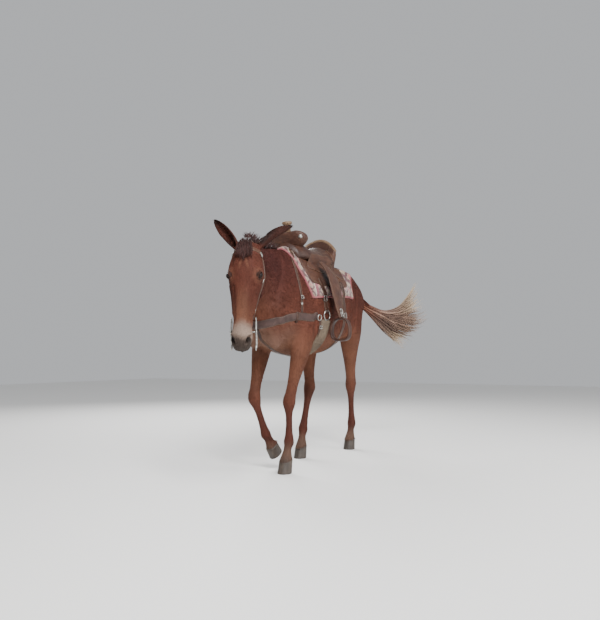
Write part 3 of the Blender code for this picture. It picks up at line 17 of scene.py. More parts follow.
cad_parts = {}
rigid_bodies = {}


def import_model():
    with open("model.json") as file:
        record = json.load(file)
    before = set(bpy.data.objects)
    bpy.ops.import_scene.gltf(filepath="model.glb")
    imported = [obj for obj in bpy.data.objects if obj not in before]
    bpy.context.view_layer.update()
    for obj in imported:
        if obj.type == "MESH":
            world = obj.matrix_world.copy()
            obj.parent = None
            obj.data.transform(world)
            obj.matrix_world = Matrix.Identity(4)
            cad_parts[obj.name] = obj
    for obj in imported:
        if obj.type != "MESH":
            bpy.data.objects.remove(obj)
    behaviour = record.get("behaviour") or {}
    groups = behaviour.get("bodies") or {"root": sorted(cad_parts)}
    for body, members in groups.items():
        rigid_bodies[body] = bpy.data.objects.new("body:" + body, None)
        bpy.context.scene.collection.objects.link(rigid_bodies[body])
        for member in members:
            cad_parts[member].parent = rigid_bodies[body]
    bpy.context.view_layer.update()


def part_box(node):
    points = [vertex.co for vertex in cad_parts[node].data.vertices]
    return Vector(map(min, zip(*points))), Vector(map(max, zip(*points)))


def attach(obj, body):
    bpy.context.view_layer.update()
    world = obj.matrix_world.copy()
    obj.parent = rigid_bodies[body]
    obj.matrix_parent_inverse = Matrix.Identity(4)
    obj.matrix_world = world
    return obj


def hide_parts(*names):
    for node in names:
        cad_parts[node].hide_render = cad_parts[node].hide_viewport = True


for old in list(bpy.data.objects):
    bpy.data.objects.remove(old, do_unlink=True)

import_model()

# Driving dimensions of the animal
WITHERS_HEIGHT = 1.52
CROUP_HEIGHT = 1.50
CHEST_FRONT = -0.335
BUTTOCK = 1.15
GIRTH_BOTTOM = 0.765
BARREL_HALF_WIDTH = 0.272
POLL = Vector((0.220, -0.765, 1.395))
HEAD_YAW = math.radians(22)
FACE_TILT = math.radians(14)
HEAD_LENGTH = 0.615
EYE_RADIUS = 0.021
EYE_DOWN = 0.200
NOSTRIL_DOWN = 0.552
EAR_LENGTH = 0.275
EAR_HALF_WIDTH = 0.031
EAR_WALL = 0.005
HOOF_LENGTH = 0.112
HOOF_HALF_WIDTH = 0.047
HOOF_HEIGHT = 0.072

# Joint centres of each leg, from inside the trunk down to the coronet
LEG_JOINTS = {
    "fore_left": ((0.145, 0.060, 1.080), (0.150, 0.065, 0.870), (0.092, -0.030, 0.460),
                  (0.080, -0.008, 0.202), (0.076, -0.035, 0.086)),
    "fore_right": ((-0.145, 0.020, 1.080), (-0.150, 0.035, 0.870), (-0.128, -0.115, 0.485),
                   (-0.080, -0.040, 0.238), (-0.064, 0.012, 0.165)),
    "hind_left": ((0.130, 0.880, 1.200), (0.150, 0.880, 0.960), (0.062, 1.105, 0.540),
                  (0.056, 1.135, 0.212), (0.056, 1.098, 0.090)),
    "hind_right": ((-0.130, 0.860, 1.200), (-0.160, 0.740, 0.930), (-0.145, 0.745, 0.525),
                   (-0.112, 0.568, 0.215), (-0.106, 0.530, 0.090)),
}
# Leg sections: place along the joints, half width, reach in front of the centre and behind it
FORE_SECTIONS = (
    (0.00, 0.050, 0.085, 0.085), (0.60, 0.066, 0.096, 0.100), (1.00, 0.066, 0.090, 0.094),
    (1.20, 0.061, 0.078, 0.074), (1.42, 0.051, 0.063, 0.057), (1.66, 0.040, 0.047, 0.042),
    (1.85, 0.038, 0.040, 0.039), (1.95, 0.044, 0.042, 0.042), (2.06, 0.045, 0.042, 0.045),
    (2.18, 0.035, 0.033, 0.041), (2.36, 0.025, 0.026, 0.036), (2.62, 0.024, 0.025, 0.036),
    (2.86, 0.029, 0.029, 0.038), (2.98, 0.036, 0.035, 0.042), (3.10, 0.035, 0.036, 0.043),
    (3.38, 0.028, 0.030, 0.031), (3.72, 0.034, 0.037, 0.036), (4.05, 0.043, 0.049, 0.050),
    (4.45, 0.045, 0.052, 0.052),
)
HIND_SECTIONS = (
    (0.00, 0.080, 0.150, 0.150), (0.50, 0.096, 0.160, 0.185), (1.00, 0.086, 0.110, 0.165),
    (1.18, 0.076, 0.092, 0.130), (1.42, 0.057, 0.070, 0.088), (1.68, 0.043, 0.053, 0.062),
    (1.88, 0.038, 0.045, 0.064), (2.00, 0.046, 0.048, 0.066), (2.12, 0.041, 0.045, 0.052),
    (2.30, 0.030, 0.033, 0.042), (2.56, 0.026, 0.028, 0.038), (2.86, 0.030, 0.030, 0.040),
    (2.98, 0.037, 0.036, 0.044), (3.10, 0.036, 0.037, 0.045), (3.38, 0.029, 0.031, 0.033),
    (3.72, 0.034, 0.038, 0.037), (4.05, 0.043, 0.050, 0.051), (4.45, 0.045, 0.052, 0.053),
)

# Trunk sections: place along the body, top, bottom, half width, height of the widest part, pinch above and below
TRUNK_SECTIONS = (
    (CHEST_FRONT, 1.140, 0.985, 0.080, 0.50, 0.00, 0.00),
    (-0.290, 1.230, 0.900, 0.150, 0.45, 0.10, 0.10),
    (-0.190, 1.340, 0.840, 0.184, 0.42, 0.25, 0.12),
    (-0.070, 1.462, 0.795, 0.198, 0.42, 0.45, 0.15),
    (0.050, WITHERS_HEIGHT, 0.772, 0.210, 0.42, 0.58, 0.15),
    (0.180, 1.502, GIRTH_BOTTOM, 0.234, 0.43, 0.50, 0.12),
    (0.320, 1.452, 0.768, 0.260, 0.45, 0.25, 0.05),
    (0.480, 1.428, 0.785, BARREL_HALF_WIDTH, 0.46, 0.12, 0.00),
    (0.620, 1.442, 0.820, 0.266, 0.48, 0.15, 0.00),
    (0.740, 1.482, 0.875, 0.252, 0.52, 0.25, 0.05),
    (0.860, CROUP_HEIGHT, 0.930, 0.252, 0.50, 0.30, 0.10),
    (0.980, 1.468, 0.965, 0.240, 0.46, 0.30, 0.15),
    (1.080, 1.392, 1.010, 0.190, 0.44, 0.25, 0.10),
    (BUTTOCK, 1.300, 1.100, 0.110, 0.45, 0.10, 0.00),
)
# Neck sections: crest point, throat-side point, half width
NECK_SECTIONS = (
    ((0.000, 0.100, 1.495), (0.000, -0.130, 0.960), 0.155),
    ((0.000, -0.060, 1.495), (0.000, -0.335, 1.040), 0.138),
    ((0.022, -0.240, 1.470), (0.018, -0.430, 1.085), 0.112),
    ((0.070, -0.420, 1.452), (0.055, -0.505, 1.110), 0.092),
    ((0.136, -0.590, 1.438), (0.095, -0.560, 1.132), 0.080),
    ((0.190, -0.712, 1.418), (0.122, -0.600, 1.160), 0.074),
)
# Head sections in the head's own frame: distance down the face, front, back, half width,
# place of the widest part, pinch of the front and of the jaw side
HEAD_SECTIONS = (
    (-0.012, -0.030, -0.120, 0.045, 0.50, 0.00, 0.00),
    (0.028, -0.004, -0.180, 0.068, 0.55, 0.05, 0.05),
    (0.080, 0.010, -0.225, 0.086, 0.62, 0.05, 0.15),
    (0.140, 0.018, -0.252, 0.099, 0.68, 0.00, 0.30),
    (0.195, 0.015, -0.262, 0.103, 0.68, 0.00, 0.35),
    (0.245, 0.007, -0.255, 0.090, 0.66, 0.05, 0.25),
    (0.305, 0.002, -0.225, 0.076, 0.62, 0.15, 0.20),
    (0.375, 0.000, -0.180, 0.063, 0.58, 0.20, 0.20),
    (0.445, -0.003, -0.142, 0.053, 0.55, 0.20, 0.20),
    (0.500, 0.001, -0.130, 0.053, 0.55, 0.10, 0.20),
    (0.548, 0.000, -0.128, 0.056, 0.58, 0.05, 0.20),
    (0.588, -0.014, -0.120, 0.050, 0.58, 0.05, 0.15),
    (HEAD_LENGTH, -0.042, -0.098, 0.032, 0.55, 0.00, 0.00),
)

# Muscles on both sides of the trunk, as knots of side, along, up and radius, with a flattening towards the body
TRUNK_MUSCLES = (
    (0.75, ((0.060, 0.045, 1.435, 0.045), (0.098, -0.060, 1.300, 0.075), (0.122, -0.165, 1.150, 0.088),
            (0.118, -0.232, 1.040, 0.084))),
    (0.80, ((0.100, 0.110, 1.290, 0.070), (0.132, 0.080, 1.120, 0.095), (0.150, 0.075, 0.970, 0.085))),
    (0.80, ((0.030, -0.215, 1.000, 0.085), (0.068, -0.262, 0.945, 0.076), (0.078, -0.190, 0.880, 0.070))),
    (0.85, ((0.120, 0.660, 1.400, 0.045), (0.165, 0.745, 1.372, 0.070), (0.165, 0.860, 1.300, 0.110),
            (0.150, 0.960, 1.200, 0.115))),
    (0.85, ((0.100, 0.990, 1.300, 0.095), (0.118, 1.055, 1.170, 0.090), (0.122, 1.040, 1.030, 0.080))),
    (0.75, ((0.205, 0.740, 1.360, 0.040), (0.205, 0.765, 1.200, 0.055), (0.185, 0.785, 1.050, 0.075))),
)

# Sizes of the tack
STRAP_WIDTH = 0.020
STRAP_THICKNESS = 0.004
COLLAR_WIDTH = 0.052
COLLAR_THICKNESS = 0.007
PAD_THICKNESS = 0.019
PAD_FRONT = 0.005
PAD_BACK = 0.730
SKIRT_THICKNESS = 0.008
SKIRT_FRONT = 0.075
SKIRT_BACK = 0.655
SEAT_LOW_HEIGHT = 1.555
SWELL_HALF_WIDTH = 0.150
CANTLE_HEIGHT = 1.675
HORN_TOP_HEIGHT = 1.715
HORN_CAP_RADIUS = 0.036
FENDER_HALF_WIDTH = 0.082
STIRRUP_BOTTOM = 0.865
STIRRUP_HEIGHT = 0.165
STIRRUP_HALF_WIDTH = 0.075
STIRRUP_DEPTH = 0.055
STIRRUP_SIDE = 0.330
STIRRUP_ALONG = 0.290
TRUNK_AXIS_HEIGHT = 1.12

# Making of the visible surfaces
SINK = 0.003
PROBE = 0.045
HIDE_CELL = 0.0102
HIDE_SMOOTHING = 8
TRUNK_SMOOTHING = 80
HAIR_DEPTH = 0.0022
LEG_TOP = 0.80
BLEND_DEPTH = 0.12
THROAT = (-0.272, 0.200)
CORONET_SLOPE = 0.45
HOOF_SIDES = 48
HOOF_RINGS = 14
EAR_STEPS = 34
EAR_ARC = 20
EAR_GAPE = 1.05
# Each ear: where its root sits on the head, the way it points and the way its cup opens
EARS = {
    "left": ((0.058, -0.066, 0.016), (0.104, 0.190, 0.150), (0.30, 0.75, 0.10)),
    "right": ((-0.058, -0.066, 0.016), (-0.195, 0.050, 0.190), (0.10, -1.00, 0.15)),
}
# The dock, and the lie of the highest, middle and lowest strands of the tail
DOCK = ((0.000, 1.070, 1.330), (0.035, 1.155, 1.312), (0.105, 1.205, 1.262), (0.165, 1.255, 1.205),
        (0.215, 1.300, 1.170))
TAIL_LIES = (
    ((0.030, 1.145, 1.315), (0.160, 1.232, 1.222), (0.277, 1.372, 1.163), (0.385, 1.473, 1.215),
     (0.460, 1.540, 1.330), (0.510, 1.575, 1.440)),
    ((0.030, 1.140, 1.300), (0.155, 1.240, 1.195), (0.290, 1.385, 1.115), (0.410, 1.485, 1.080),
     (0.510, 1.565, 1.080), (0.600, 1.620, 1.110)),
    ((0.030, 1.135, 1.290), (0.145, 1.240, 1.160), (0.225, 1.325, 1.060), (0.290, 1.405, 0.965),
     (0.340, 1.460, 0.880), (0.390, 1.510, 0.805)),
)
MOUTH_CORNER_DOWN = 0.500
MOUTH_OUT = -0.094

UP = Vector((0.0, 0.0, 1.0))
FACING = Vector((math.sin(HEAD_YAW), -math.cos(HEAD_YAW), 0.0))
HEAD_SIDE = UP.cross(FACING)
FACE_DOWN = FACING * math.sin(FACE_TILT) - UP * math.cos(FACE_TILT)
FACE_OUT = FACING * math.cos(FACE_TILT) + UP * math.sin(FACE_TILT)
SIDES = {"left": 1, "right": -1}


# Finishes
def node_of(tree, kind, **settings):
    """A shader node with some of its settings and inputs set."""
    node = tree.nodes.new("ShaderNode" + kind)
    for name, value in settings.items():
        if hasattr(node, name):
            setattr(node, name, value)
        else:
            node.inputs[name.replace("_", " ")].default_value = value
    return node


def new_finish(name, roughness, metallic=0.0):
    material = bpy.data.materials.new(name)
    material.use_nodes = True
    shader = material.node_tree.nodes["Principled BSDF"]
    shader.inputs["Roughness"].default_value = roughness
    shader.inputs["Metallic"].default_value = metallic
    return material, material.node_tree, shader


def noise_of(tree, scale, detail=3.0, stretch=None, turn=None):
    """Noise in the object's own coordinates, stretched along an axis where asked."""
    place = node_of(tree, "TexCoord").outputs["Object"]
    if stretch:
        mapping = node_of(tree, "Mapping")
        mapping.inputs["Scale"].default_value = stretch
        mapping.inputs["Rotation"].default_value = turn or (0.0, 0.0, 0.0)
        tree.links.new(place, mapping.inputs["Vector"])
        place = mapping.outputs["Vector"]
    grain = node_of(tree, "TexNoise", Scale=scale, Detail=detail)
    tree.links.new(place, grain.inputs["Vector"])
    return grain.outputs["Fac"]


def spread(tree, value, low, high):
    """Maps a value from 0..1 onto low..high."""
    node = node_of(tree, "MapRange")
    node.inputs["From Min"].default_value = 0.3
    node.inputs["From Max"].default_value = 0.7
    node.inputs["To Min"].default_value = low
    node.inputs["To Max"].default_value = high
    tree.links.new(value, node.inputs["Value"])
    return node.outputs["Result"]


def shade_by(tree, colour, *amounts):
    """The colour made lighter and darker by each amount in turn."""
    for amount in amounts:
        mix = node_of(tree, "VectorMath", operation="SCALE")
        tree.links.new(colour, mix.inputs[0])
        tree.links.new(amount, mix.inputs["Scale"])
        colour = mix.outputs["Vector"]
    return colour


def blend_colours(tree, amount, first, second):
    mix = node_of(tree, "Mix", data_type="RGBA")
    tree.links.new(amount, mix.inputs["Factor"])
    for value, socket in ((first, mix.inputs[6]), (second, mix.inputs[7])):
        if isinstance(value, tuple):
            socket.default_value = (*value, 1.0)
        else:
            tree.links.new(value, socket)
    return mix.outputs[2]


def bump_from(tree, shader, heights, distance, strength=1.0):
    """One bump after another, from pairs of a height and its share of the distance."""
    normal = None
    for height, share in heights:
        bump = node_of(tree, "Bump", Strength=strength, Distance=distance * share)
        tree.links.new(height, bump.inputs["Height"])
        if normal:
            tree.links.new(normal, bump.inputs["Normal"])
        normal = bump.outputs["Normal"]
    tree.links.new(normal, shader.inputs["Normal"])


def hair_finish(name, roughness, fineness, depth, streaked=False):
    """Hair and hide, coloured by the tint that each point carries."""
    material, tree, shader = new_finish(name, roughness)
    tint = node_of(tree, "Attribute", attribute_name="tint").outputs["Color"]
    broad = spread(tree, noise_of(tree, 7.0), 0.82, 1.16)
    fine = spread(tree, noise_of(tree, fineness), 0.74, 1.24)
    tree.links.new(shade_by(tree, tint, broad, fine), shader.inputs["Base Color"])
    shader.inputs["Specular IOR Level"].default_value = 0.11
    heights = [(noise_of(tree, fineness, 4.0), 0.7), (noise_of(tree, 38.0), 1.2)]
    if streaked:
        upright = node_of(tree, "Attribute", attribute_name="upright").outputs["Fac"]
        down = noise_of(tree, fineness, 3.0, (1.0, 1.0, 0.10))
        back = noise_of(tree, fineness, 3.0, (1.0, 0.16, 0.55), (0.66, 0.0, 0.0))
        lie = node_of(tree, "Mix", data_type="FLOAT")
        for source, socket in ((upright, 0), (back, 2), (down, 3)):
            tree.links.new(source, lie.inputs[socket])
        heights.append((lie.outputs[0], 1.8))
        colour = shade_by(tree, tint, broad, spread(tree, lie.outputs[0], 0.66, 1.30))
        tree.links.new(colour, shader.inputs["Base Color"])
    bump_from(tree, shader, heights, depth)
    return material


def math_of(tree, operation, first, second=0.0, third=0.0):
    """One step of sums on values or on the outputs of other nodes."""
    node = node_of(tree, "Math", operation=operation)
    for value, socket in zip((first, second, third), node.inputs):
        if isinstance(value, float):
            socket.default_value = value
        else:
            tree.links.new(value, socket)
    return node.outputs["Value"]


def sine_of(tree, value, turns):
    return math_of(tree, "SINE", math_of(tree, "MULTIPLY", value, turns))


def leather_finish(name, colour, worn, roughness, tooled=0.0):
    """Oiled leather with a fine grain, worn paler in patches, and tooled with a repeated leaf and basket stamp."""
    material, tree, shader = new_finish(name, roughness)
    wear = spread(tree, noise_of(tree, 17.0, 5.0), 0.0, 0.60)
    base = blend_colours(tree, wear, colour, worn)
    tree.links.new(shade_by(tree, base, spread(tree, noise_of(tree, 160.0), 0.82, 1.18)), shader.inputs["Base Color"])
    tree.links.new(spread(tree, noise_of(tree, 30.0), roughness - 0.10, roughness + 0.12), shader.inputs["Roughness"])
    shader.inputs["Specular IOR Level"].default_value = 0.32
    pores = node_of(tree, "TexVoronoi", Scale=520.0)
    tree.links.new(node_of(tree, "TexCoord").outputs["Object"], pores.inputs["Vector"])
    heights = [(pores.outputs["Distance"], 0.35), (noise_of(tree, 90.0, 4.0), 1.0)]
    if tooled:
        parts = node_of(tree, "SeparateXYZ")
        tree.links.new(node_of(tree, "TexCoord").outputs["Object"], parts.inputs["Vector"])
        rows = sine_of(tree, parts.outputs["Y"], tooled)
        columns = sine_of(tree, parts.outputs["Z"], tooled)
        basket = math_of(tree, "MULTIPLY", rows, columns)
        petals = node_of(tree, "TexVoronoi", Scale=tooled * 0.11)
        petals.feature = "SMOOTH_F1"
        tree.links.new(node_of(tree, "TexCoord").outputs["Object"], petals.inputs["Vector"])
        heights += [(basket, 0.55), (petals.outputs["Distance"], 2.6)]
    bump_from(tree, shader, heights, 0.0007)
    return material


def metal_finish(name, colour, roughness):
    material, tree, shader = new_finish(name, roughness, 1.0)
    tarnish = spread(tree, noise_of(tree, 45.0, 4.0), 0.0, 0.7)
    tree.links.new(blend_colours(tree, tarnish, colour, tuple(c * 0.45 for c in colour)), shader.inputs["Base Color"])
    tree.links.new(spread(tree, noise_of(tree, 80.0), roughness - 0.08, roughness + 0.2), shader.inputs["Roughness"])
    bump_from(tree, shader, ((noise_of(tree, 220.0), 1.0),), 0.0002)
    return material


def horn_finish():
    """Hoof horn, with growth rings and dust, paler below the coronet."""
    material, tree, shader = new_finish("hoof_horn", 0.55)
    streaks = spread(tree, noise_of(tree, 60.0, 3.0, (1.0, 1.0, 0.12)), 0.72, 1.3)
    dust = spread(tree, noise_of(tree, 22.0, 4.0), 0.0, 0.5)
    base = blend_colours(tree, dust, (0.030, 0.022, 0.017), (0.084, 0.060, 0.043))
    tree.links.new(shade_by(tree, base, streaks), shader.inputs["Base Color"])
    rings = noise_of(tree, 60.0, 2.0, (0.15, 0.15, 2.2))
    bump_from(tree, shader, ((rings, 1.0), (noise_of(tree, 300.0), 0.3)), 0.0012)
    return material


def wool_finish():
    """Woven wool: bands of stepped diamonds between stripes, laid out on the pad's own map."""
    material, tree, shader = new_finish("woven_wool", 0.92)
    place = node_of(tree, "UVMap", uv_map="Weave").outputs["UV"]
    parts = node_of(tree, "SeparateXYZ")
    tree.links.new(place, parts.inputs["Vector"])

    along, down = parts.outputs["X"], parts.outputs["Y"]
    step_down = math_of(tree, "SNAP", down, 0.008)
    step_along = math_of(tree, "SNAP", along, 0.008)
    diamond = math_of(tree, "ADD", math_of(tree, "PINGPONG", step_down, 0.055), math_of(tree, "PINGPONG", step_along, 0.040))
    inner = math_of(tree, "LESS_THAN", math_of(tree, "ABSOLUTE", math_of(tree, "SUBTRACT", diamond, 0.048)), 0.013)
    core = math_of(tree, "LESS_THAN", diamond, 0.022)
    stripe = math_of(tree, "LESS_THAN", math_of(tree, "PINGPONG", math_of(tree, "ADD", along, 0.020), 0.080), 0.013)
    thin = math_of(tree, "LESS_THAN", math_of(tree, "PINGPONG", math_of(tree, "ADD", along, 0.036), 0.080), 0.004)
    colour = blend_colours(tree, inner, (0.33, 0.24, 0.175), (0.105, 0.036, 0.040))
    colour = blend_colours(tree, core, colour, (0.44, 0.165, 0.150))
    colour = blend_colours(tree, stripe, colour, (0.225, 0.050, 0.070))
    colour = blend_colours(tree, thin, colour, (0.47, 0.39, 0.32))
    faded = spread(tree, noise_of(tree, 9.0, 4.0), 0.72, 1.12)
    tree.links.new(shade_by(tree, colour, faded, spread(tree, noise_of(tree, 420.0), 0.7, 1.25)), shader.inputs["Base Color"])
    shader.inputs["Sheen Weight"].default_value = 0.25
    threads = math_of(tree, "MULTIPLY", math_of(tree, "SINE", math_of(tree, "MULTIPLY", along, 1500.0)),
                      math_of(tree, "SINE", math_of(tree, "MULTIPLY", down, 1500.0)))
    bump_from(tree, shader, ((threads, 0.6), (noise_of(tree, 180.0, 4.0), 1.0)), 0.0011)
    return material


def cord_finish():
    """Mohair cord, soiled in places."""
    material, tree, shader = new_finish("mohair_cord", 0.9)
    soil = spread(tree, noise_of(tree, 14.0, 4.0), 0.0, 0.8)
    base = blend_colours(tree, soil, (0.175, 0.130, 0.088), (0.072, 0.049, 0.034))
    tree.links.new(shade_by(tree, base, spread(tree, noise_of(tree, 300.0), 0.75, 1.2)), shader.inputs["Base Color"])
    bump_from(tree, shader, ((noise_of(tree, 500.0, 3.0), 1.0),), 0.0012)
    return material


def eye_finish():
    """A wet eye, whose iris and pupil are in the tint of its points."""
    material, tree, shader = new_finish("wet_eye", 0.06)
    tint = node_of(tree, "Attribute", attribute_name="tint").outputs["Color"]
    rays = spread(tree, noise_of(tree, 260.0, 2.0), 0.8, 1.25)
    tree.links.new(shade_by(tree, tint, rays), shader.inputs["Base Color"])
    shader.inputs["Specular IOR Level"].default_value = 0.20
    return material


HIDE = hair_finish("bay_hide", 0.60, 420.0, 0.0009, streaked=True)
FUR = hair_finish("bay_coat", 0.70, 300.0, 0.0005)
HAIR = hair_finish("long_hair", 0.50, 240.0, 0.0008)
SKIN_DARK = hair_finish("bare_skin", 0.32, 500.0, 0.0006)
LEATHER = leather_finish("oiled_leather", (0.026, 0.010, 0.007), (0.074, 0.032, 0.019), 0.46)
TOOLED = leather_finish("tooled_leather", (0.038, 0.014, 0.009), (0.098, 0.041, 0.022), 0.50, tooled=520.0)
COLLAR = leather_finish("collar_leather", (0.028, 0.014, 0.012), (0.090, 0.050, 0.042), 0.60)
BINDING = leather_finish("binding_leather", (0.190, 0.045, 0.055), (0.330, 0.130, 0.125), 0.60)
RAWHIDE = leather_finish("rawhide_wrap", (0.120, 0.068, 0.038), (0.250, 0.165, 0.100), 0.55)
THREAD = leather_finish("waxed_thread", (0.130, 0.094, 0.060), (0.260, 0.200, 0.135), 0.60)
STEEL = metal_finish("bright_steel", (0.47, 0.46, 0.43), 0.30)
HORN = horn_finish()
WOOL = wool_finish()
CORD = cord_finish()
EYE = eye_finish()
PIECES = []


# Meshes
def finished(obj, material, slot, *nodes):
    """Marks a mesh as a piece of the model that stands for some nodes of the part."""
    if material:
        obj.data.materials.clear()
        obj.data.materials.append(material)
    obj.data.shade_smooth()
    PIECES.append((obj, slot, nodes))
    return obj


def new_object(name, bm, material=None):
    bmesh.ops.recalc_face_normals(bm, faces=bm.faces)
    mesh = bpy.data.meshes.new(name)
    bm.to_mesh(mesh)
    bm.free()
    obj = bpy.data.objects.new(name, mesh)
    bpy.context.collection.objects.link(obj)
    if material:
        mesh.materials.append(material)
    return obj


def from_arrays(name, points, faces):
    """A mesh from an array of points and an array of faces that all have as many corners."""
    mesh = bpy.data.meshes.new(name)
    count, corners = faces.shape
    mesh.vertices.add(len(points))
    mesh.vertices.foreach_set("co", np.asarray(points, np.float32).ravel())
    mesh.loops.add(count * corners)
    mesh.loops.foreach_set("vertex_index", np.asarray(faces, np.int32).ravel())
    mesh.polygons.add(count)
    mesh.polygons.foreach_set("loop_start", np.arange(0, count * corners, corners, dtype=np.int32))
    mesh.update(calc_edges=True)
    obj = bpy.data.objects.new(name, mesh)
    bpy.context.collection.objects.link(obj)
    return obj


def points_of(obj):
    found = np.empty(len(obj.data.vertices) * 3, np.float32)
    obj.data.vertices.foreach_get("co", found)
    return found.reshape(-1, 3).astype(float)


def normals_of(obj):
    found = np.empty(len(obj.data.vertices) * 3, np.float32)
    obj.data.vertices.foreach_get("normal", found)
    return found.reshape(-1, 3).astype(float)


def place_points(obj, points):
    obj.data.vertices.foreach_set("co", np.asarray(points, np.float32).ravel())
    obj.data.update()


def set_attribute(obj, name, kind, values):
    """Stores one value for each point: a colour, a vector or a number."""
    layer = obj.data.attributes.get(name) or obj.data.attributes.new(name, kind, "POINT")
    field = {"FLOAT_COLOR": "color", "FLOAT_VECTOR": "vector", "FLOAT": "value"}[kind]
    values = np.asarray(values, np.float32)
    if kind == "FLOAT_COLOR":
        values = np.hstack([values, np.ones((len(values), 1), np.float32)])
    layer.data.foreach_set(field, values.ravel())


def unit(vectors):
    return vectors / np.maximum(np.linalg.norm(vectors, axis=-1, keepdims=True), 1e-9)


def ramp(values, low, high):
    """Rises smoothly from 0 at low to 1 at high."""
    t = np.clip((values - low) / (high - low), 0.0, 1.0)
    return t * t * (3 - 2 * t)


def apply_modifiers(obj):
    bpy.context.view_layer.update()
    graph = bpy.context.evaluated_depsgraph_get()
    mesh = bpy.data.meshes.new_from_object(obj.evaluated_get(graph))
    obj.modifiers.clear()
    obj.data = mesh


def discard(*objects):
    for obj in objects:
        bpy.data.objects.remove(obj, do_unlink=True)


def surface_of(*objects):
    """A tree of the objects' surfaces, to lay pieces on."""
    points, faces = [], []
    for obj in objects:
        offset = len(points)
        points.extend(vert.co.copy() for vert in obj.data.vertices)
        faces.extend([offset + k for k in face.vertices] for face in obj.data.polygons)
    return BVHTree.FromPolygons(points, faces)


# Shapes of the animal
def head_point(side, out, down):
    """A point of the head's own frame: to its left, out of the face, and down the face from the poll."""
    return POLL + HEAD_SIDE * side + FACE_OUT * out + FACE_DOWN * down


def smooth_rows(rows, steps):
    """A Catmull-Rom curve through the rows, with this many steps in each span."""
    rows = np.array(rows, float)
    padded = np.vstack([2 * rows[0] - rows[1], rows, 2 * rows[-1] - rows[-2]])
    found = []
    for a, b, c, d in zip(padded, padded[1:], padded[2:], padded[3:]):
        for k in range(steps):
            t = k / steps
            bend = (2 * a - 5 * b + 4 * c - d) * t * t + (3 * b - a - 3 * c + d) * t**3
            found.append(0.5 * (2 * b + (c - a) * t + bend))
    found.append(rows[-1])
    return np.array(found)


def skin_rings(bm, rings):
    """Closes a stack of rings into one body, with a cap at each end."""
    made = [[bm.verts.new(point) for point in ring] for ring in rings]
    for low, high in zip(made, made[1:]):
        for k in range(len(low)):
            j = (k + 1) % len(low)
            bm.faces.new((low[k], low[j], high[j], high[k]))
    bm.faces.new(made[0][::-1])
    bm.faces.new(made[-1])


def loft(bm, sections, sides=24, steps=3, power=2.2):
    """A tube through sections of top point, bottom point, half width, place of the widest part and two pinches."""
    rows = smooth_rows(sections, steps)
    centres = rows[:, 3:6] + (rows[:, 0:3] - rows[:, 3:6]) * rows[:, 7:8]
    ways = np.gradient(centres, axis=0)
    rings = []
    for row, way in zip(rows, ways):
        top, bottom = Vector(row[0:3]), Vector(row[3:6])
        half_width, waist, pinch_top, pinch_bottom = row[6:10]
        axis = top - bottom
        side = axis.cross(Vector(way)).normalized()
        middle = bottom + axis * waist
        ring = []
        for k in range(sides):
            angle = 2 * math.pi * k / sides
            across, rise = math.cos(angle), math.sin(angle)
            reach = axis * (1 - waist if rise > 0 else waist)
            pinch = pinch_top if rise > 0 else pinch_bottom
            wide = math.copysign(abs(across) ** (2 / power), across) * (1 - pinch * rise * rise)
            tall = math.copysign(abs(rise) ** (2 / power), rise)
            ring.append(middle + side * (half_width * wide) + reach * tall)
        rings.append(ring)
    skin_rings(bm, rings)


def mass(bm, centre, radii, turn=Matrix.Identity(3), detail=3):
    """An ellipsoid of muscle or bone."""
    made = bmesh.ops.create_icosphere(bm, subdivisions=detail, radius=1.0)["verts"]
    for vert in made:
        vert.co = turn @ Vector(a * b for a, b in zip(vert.co, radii)) + Vector(centre)


def muscle(bm, knots, flatness):
    """A tapered, flattened tube through the knots, with round ends."""
    sections = []
    for x, y, z, radius in knots:
        sections.append((x, y - radius, z, x, y + radius, z, radius * flatness, 0.5, 0.0, 0.0))
    loft(bm, sections, sides=16, power=2.0)
    for x, y, z, radius in (knots[0], knots[-1]):
        mass(bm, (x, y, z), (radius * flatness, radius, radius))


def head_turn():
    """Turns the axes side, out, down of the head into the world's."""
    return Matrix((HEAD_SIDE, FACE_OUT, FACE_DOWN)).transposed()


def build_trunk(bm):
    sections = []
    for along, top, bottom, half_width, waist, pinch_top, pinch_bottom in TRUNK_SECTIONS:
        sections.append((0, along, top, 0, along, bottom, half_width, waist, pinch_top, pinch_bottom))
    loft(bm, sections, sides=32)
    for side in SIDES.values():
        for flatness, knots in TRUNK_MUSCLES:
            muscle(bm, [(side * x, y, z, radius) for x, y, z, radius in knots], flatness)


def build_neck(bm):
    sections = [(*top, *bottom, half_width, 0.48, 0.45, 0.25) for top, bottom, half_width in NECK_SECTIONS]
    inside_top = head_point(0, -0.050, 0.060)
    inside_bottom = head_point(0, -0.225, 0.170)
    sections.append((*inside_top, *inside_bottom, 0.068, 0.48, 0.3, 0.2))
    loft(bm, sections)


def build_head(bm):
    sections = []
    for down, front, back, half_width, waist, pinch_front, pinch_jaw in HEAD_SECTIONS:
        top, bottom = head_point(0, front, down), head_point(0, back, down)
        sections.append((*top, *bottom, half_width, waist, pinch_front, pinch_jaw))
    loft(bm, sections, power=2.5)
    turn = head_turn()
    for side in SIDES.values():
        mass(bm, head_point(side * 0.074, -0.040, EYE_DOWN - 0.008), (0.030, 0.036, 0.040), turn)
        mass(bm, head_point(side * 0.058, -0.160, 0.215), (0.028, 0.080, 0.085), turn)
        mass(bm, head_point(side * 0.049, -0.066, 0.290), (0.023, 0.022, 0.105), turn)
        mass(bm, head_point(side * 0.034, -0.040, NOSTRIL_DOWN), (0.026, 0.034, 0.036), turn)
        mass(bm, head_point(side * 0.050, -0.080, 0.033), (0.030, 0.050, 0.046), turn)
    mass(bm, head_point(0, -0.066, 0.578), (0.044, 0.048, 0.036), turn)
    mass(bm, head_point(0, -0.110, 0.562), (0.034, 0.030, 0.034), turn)


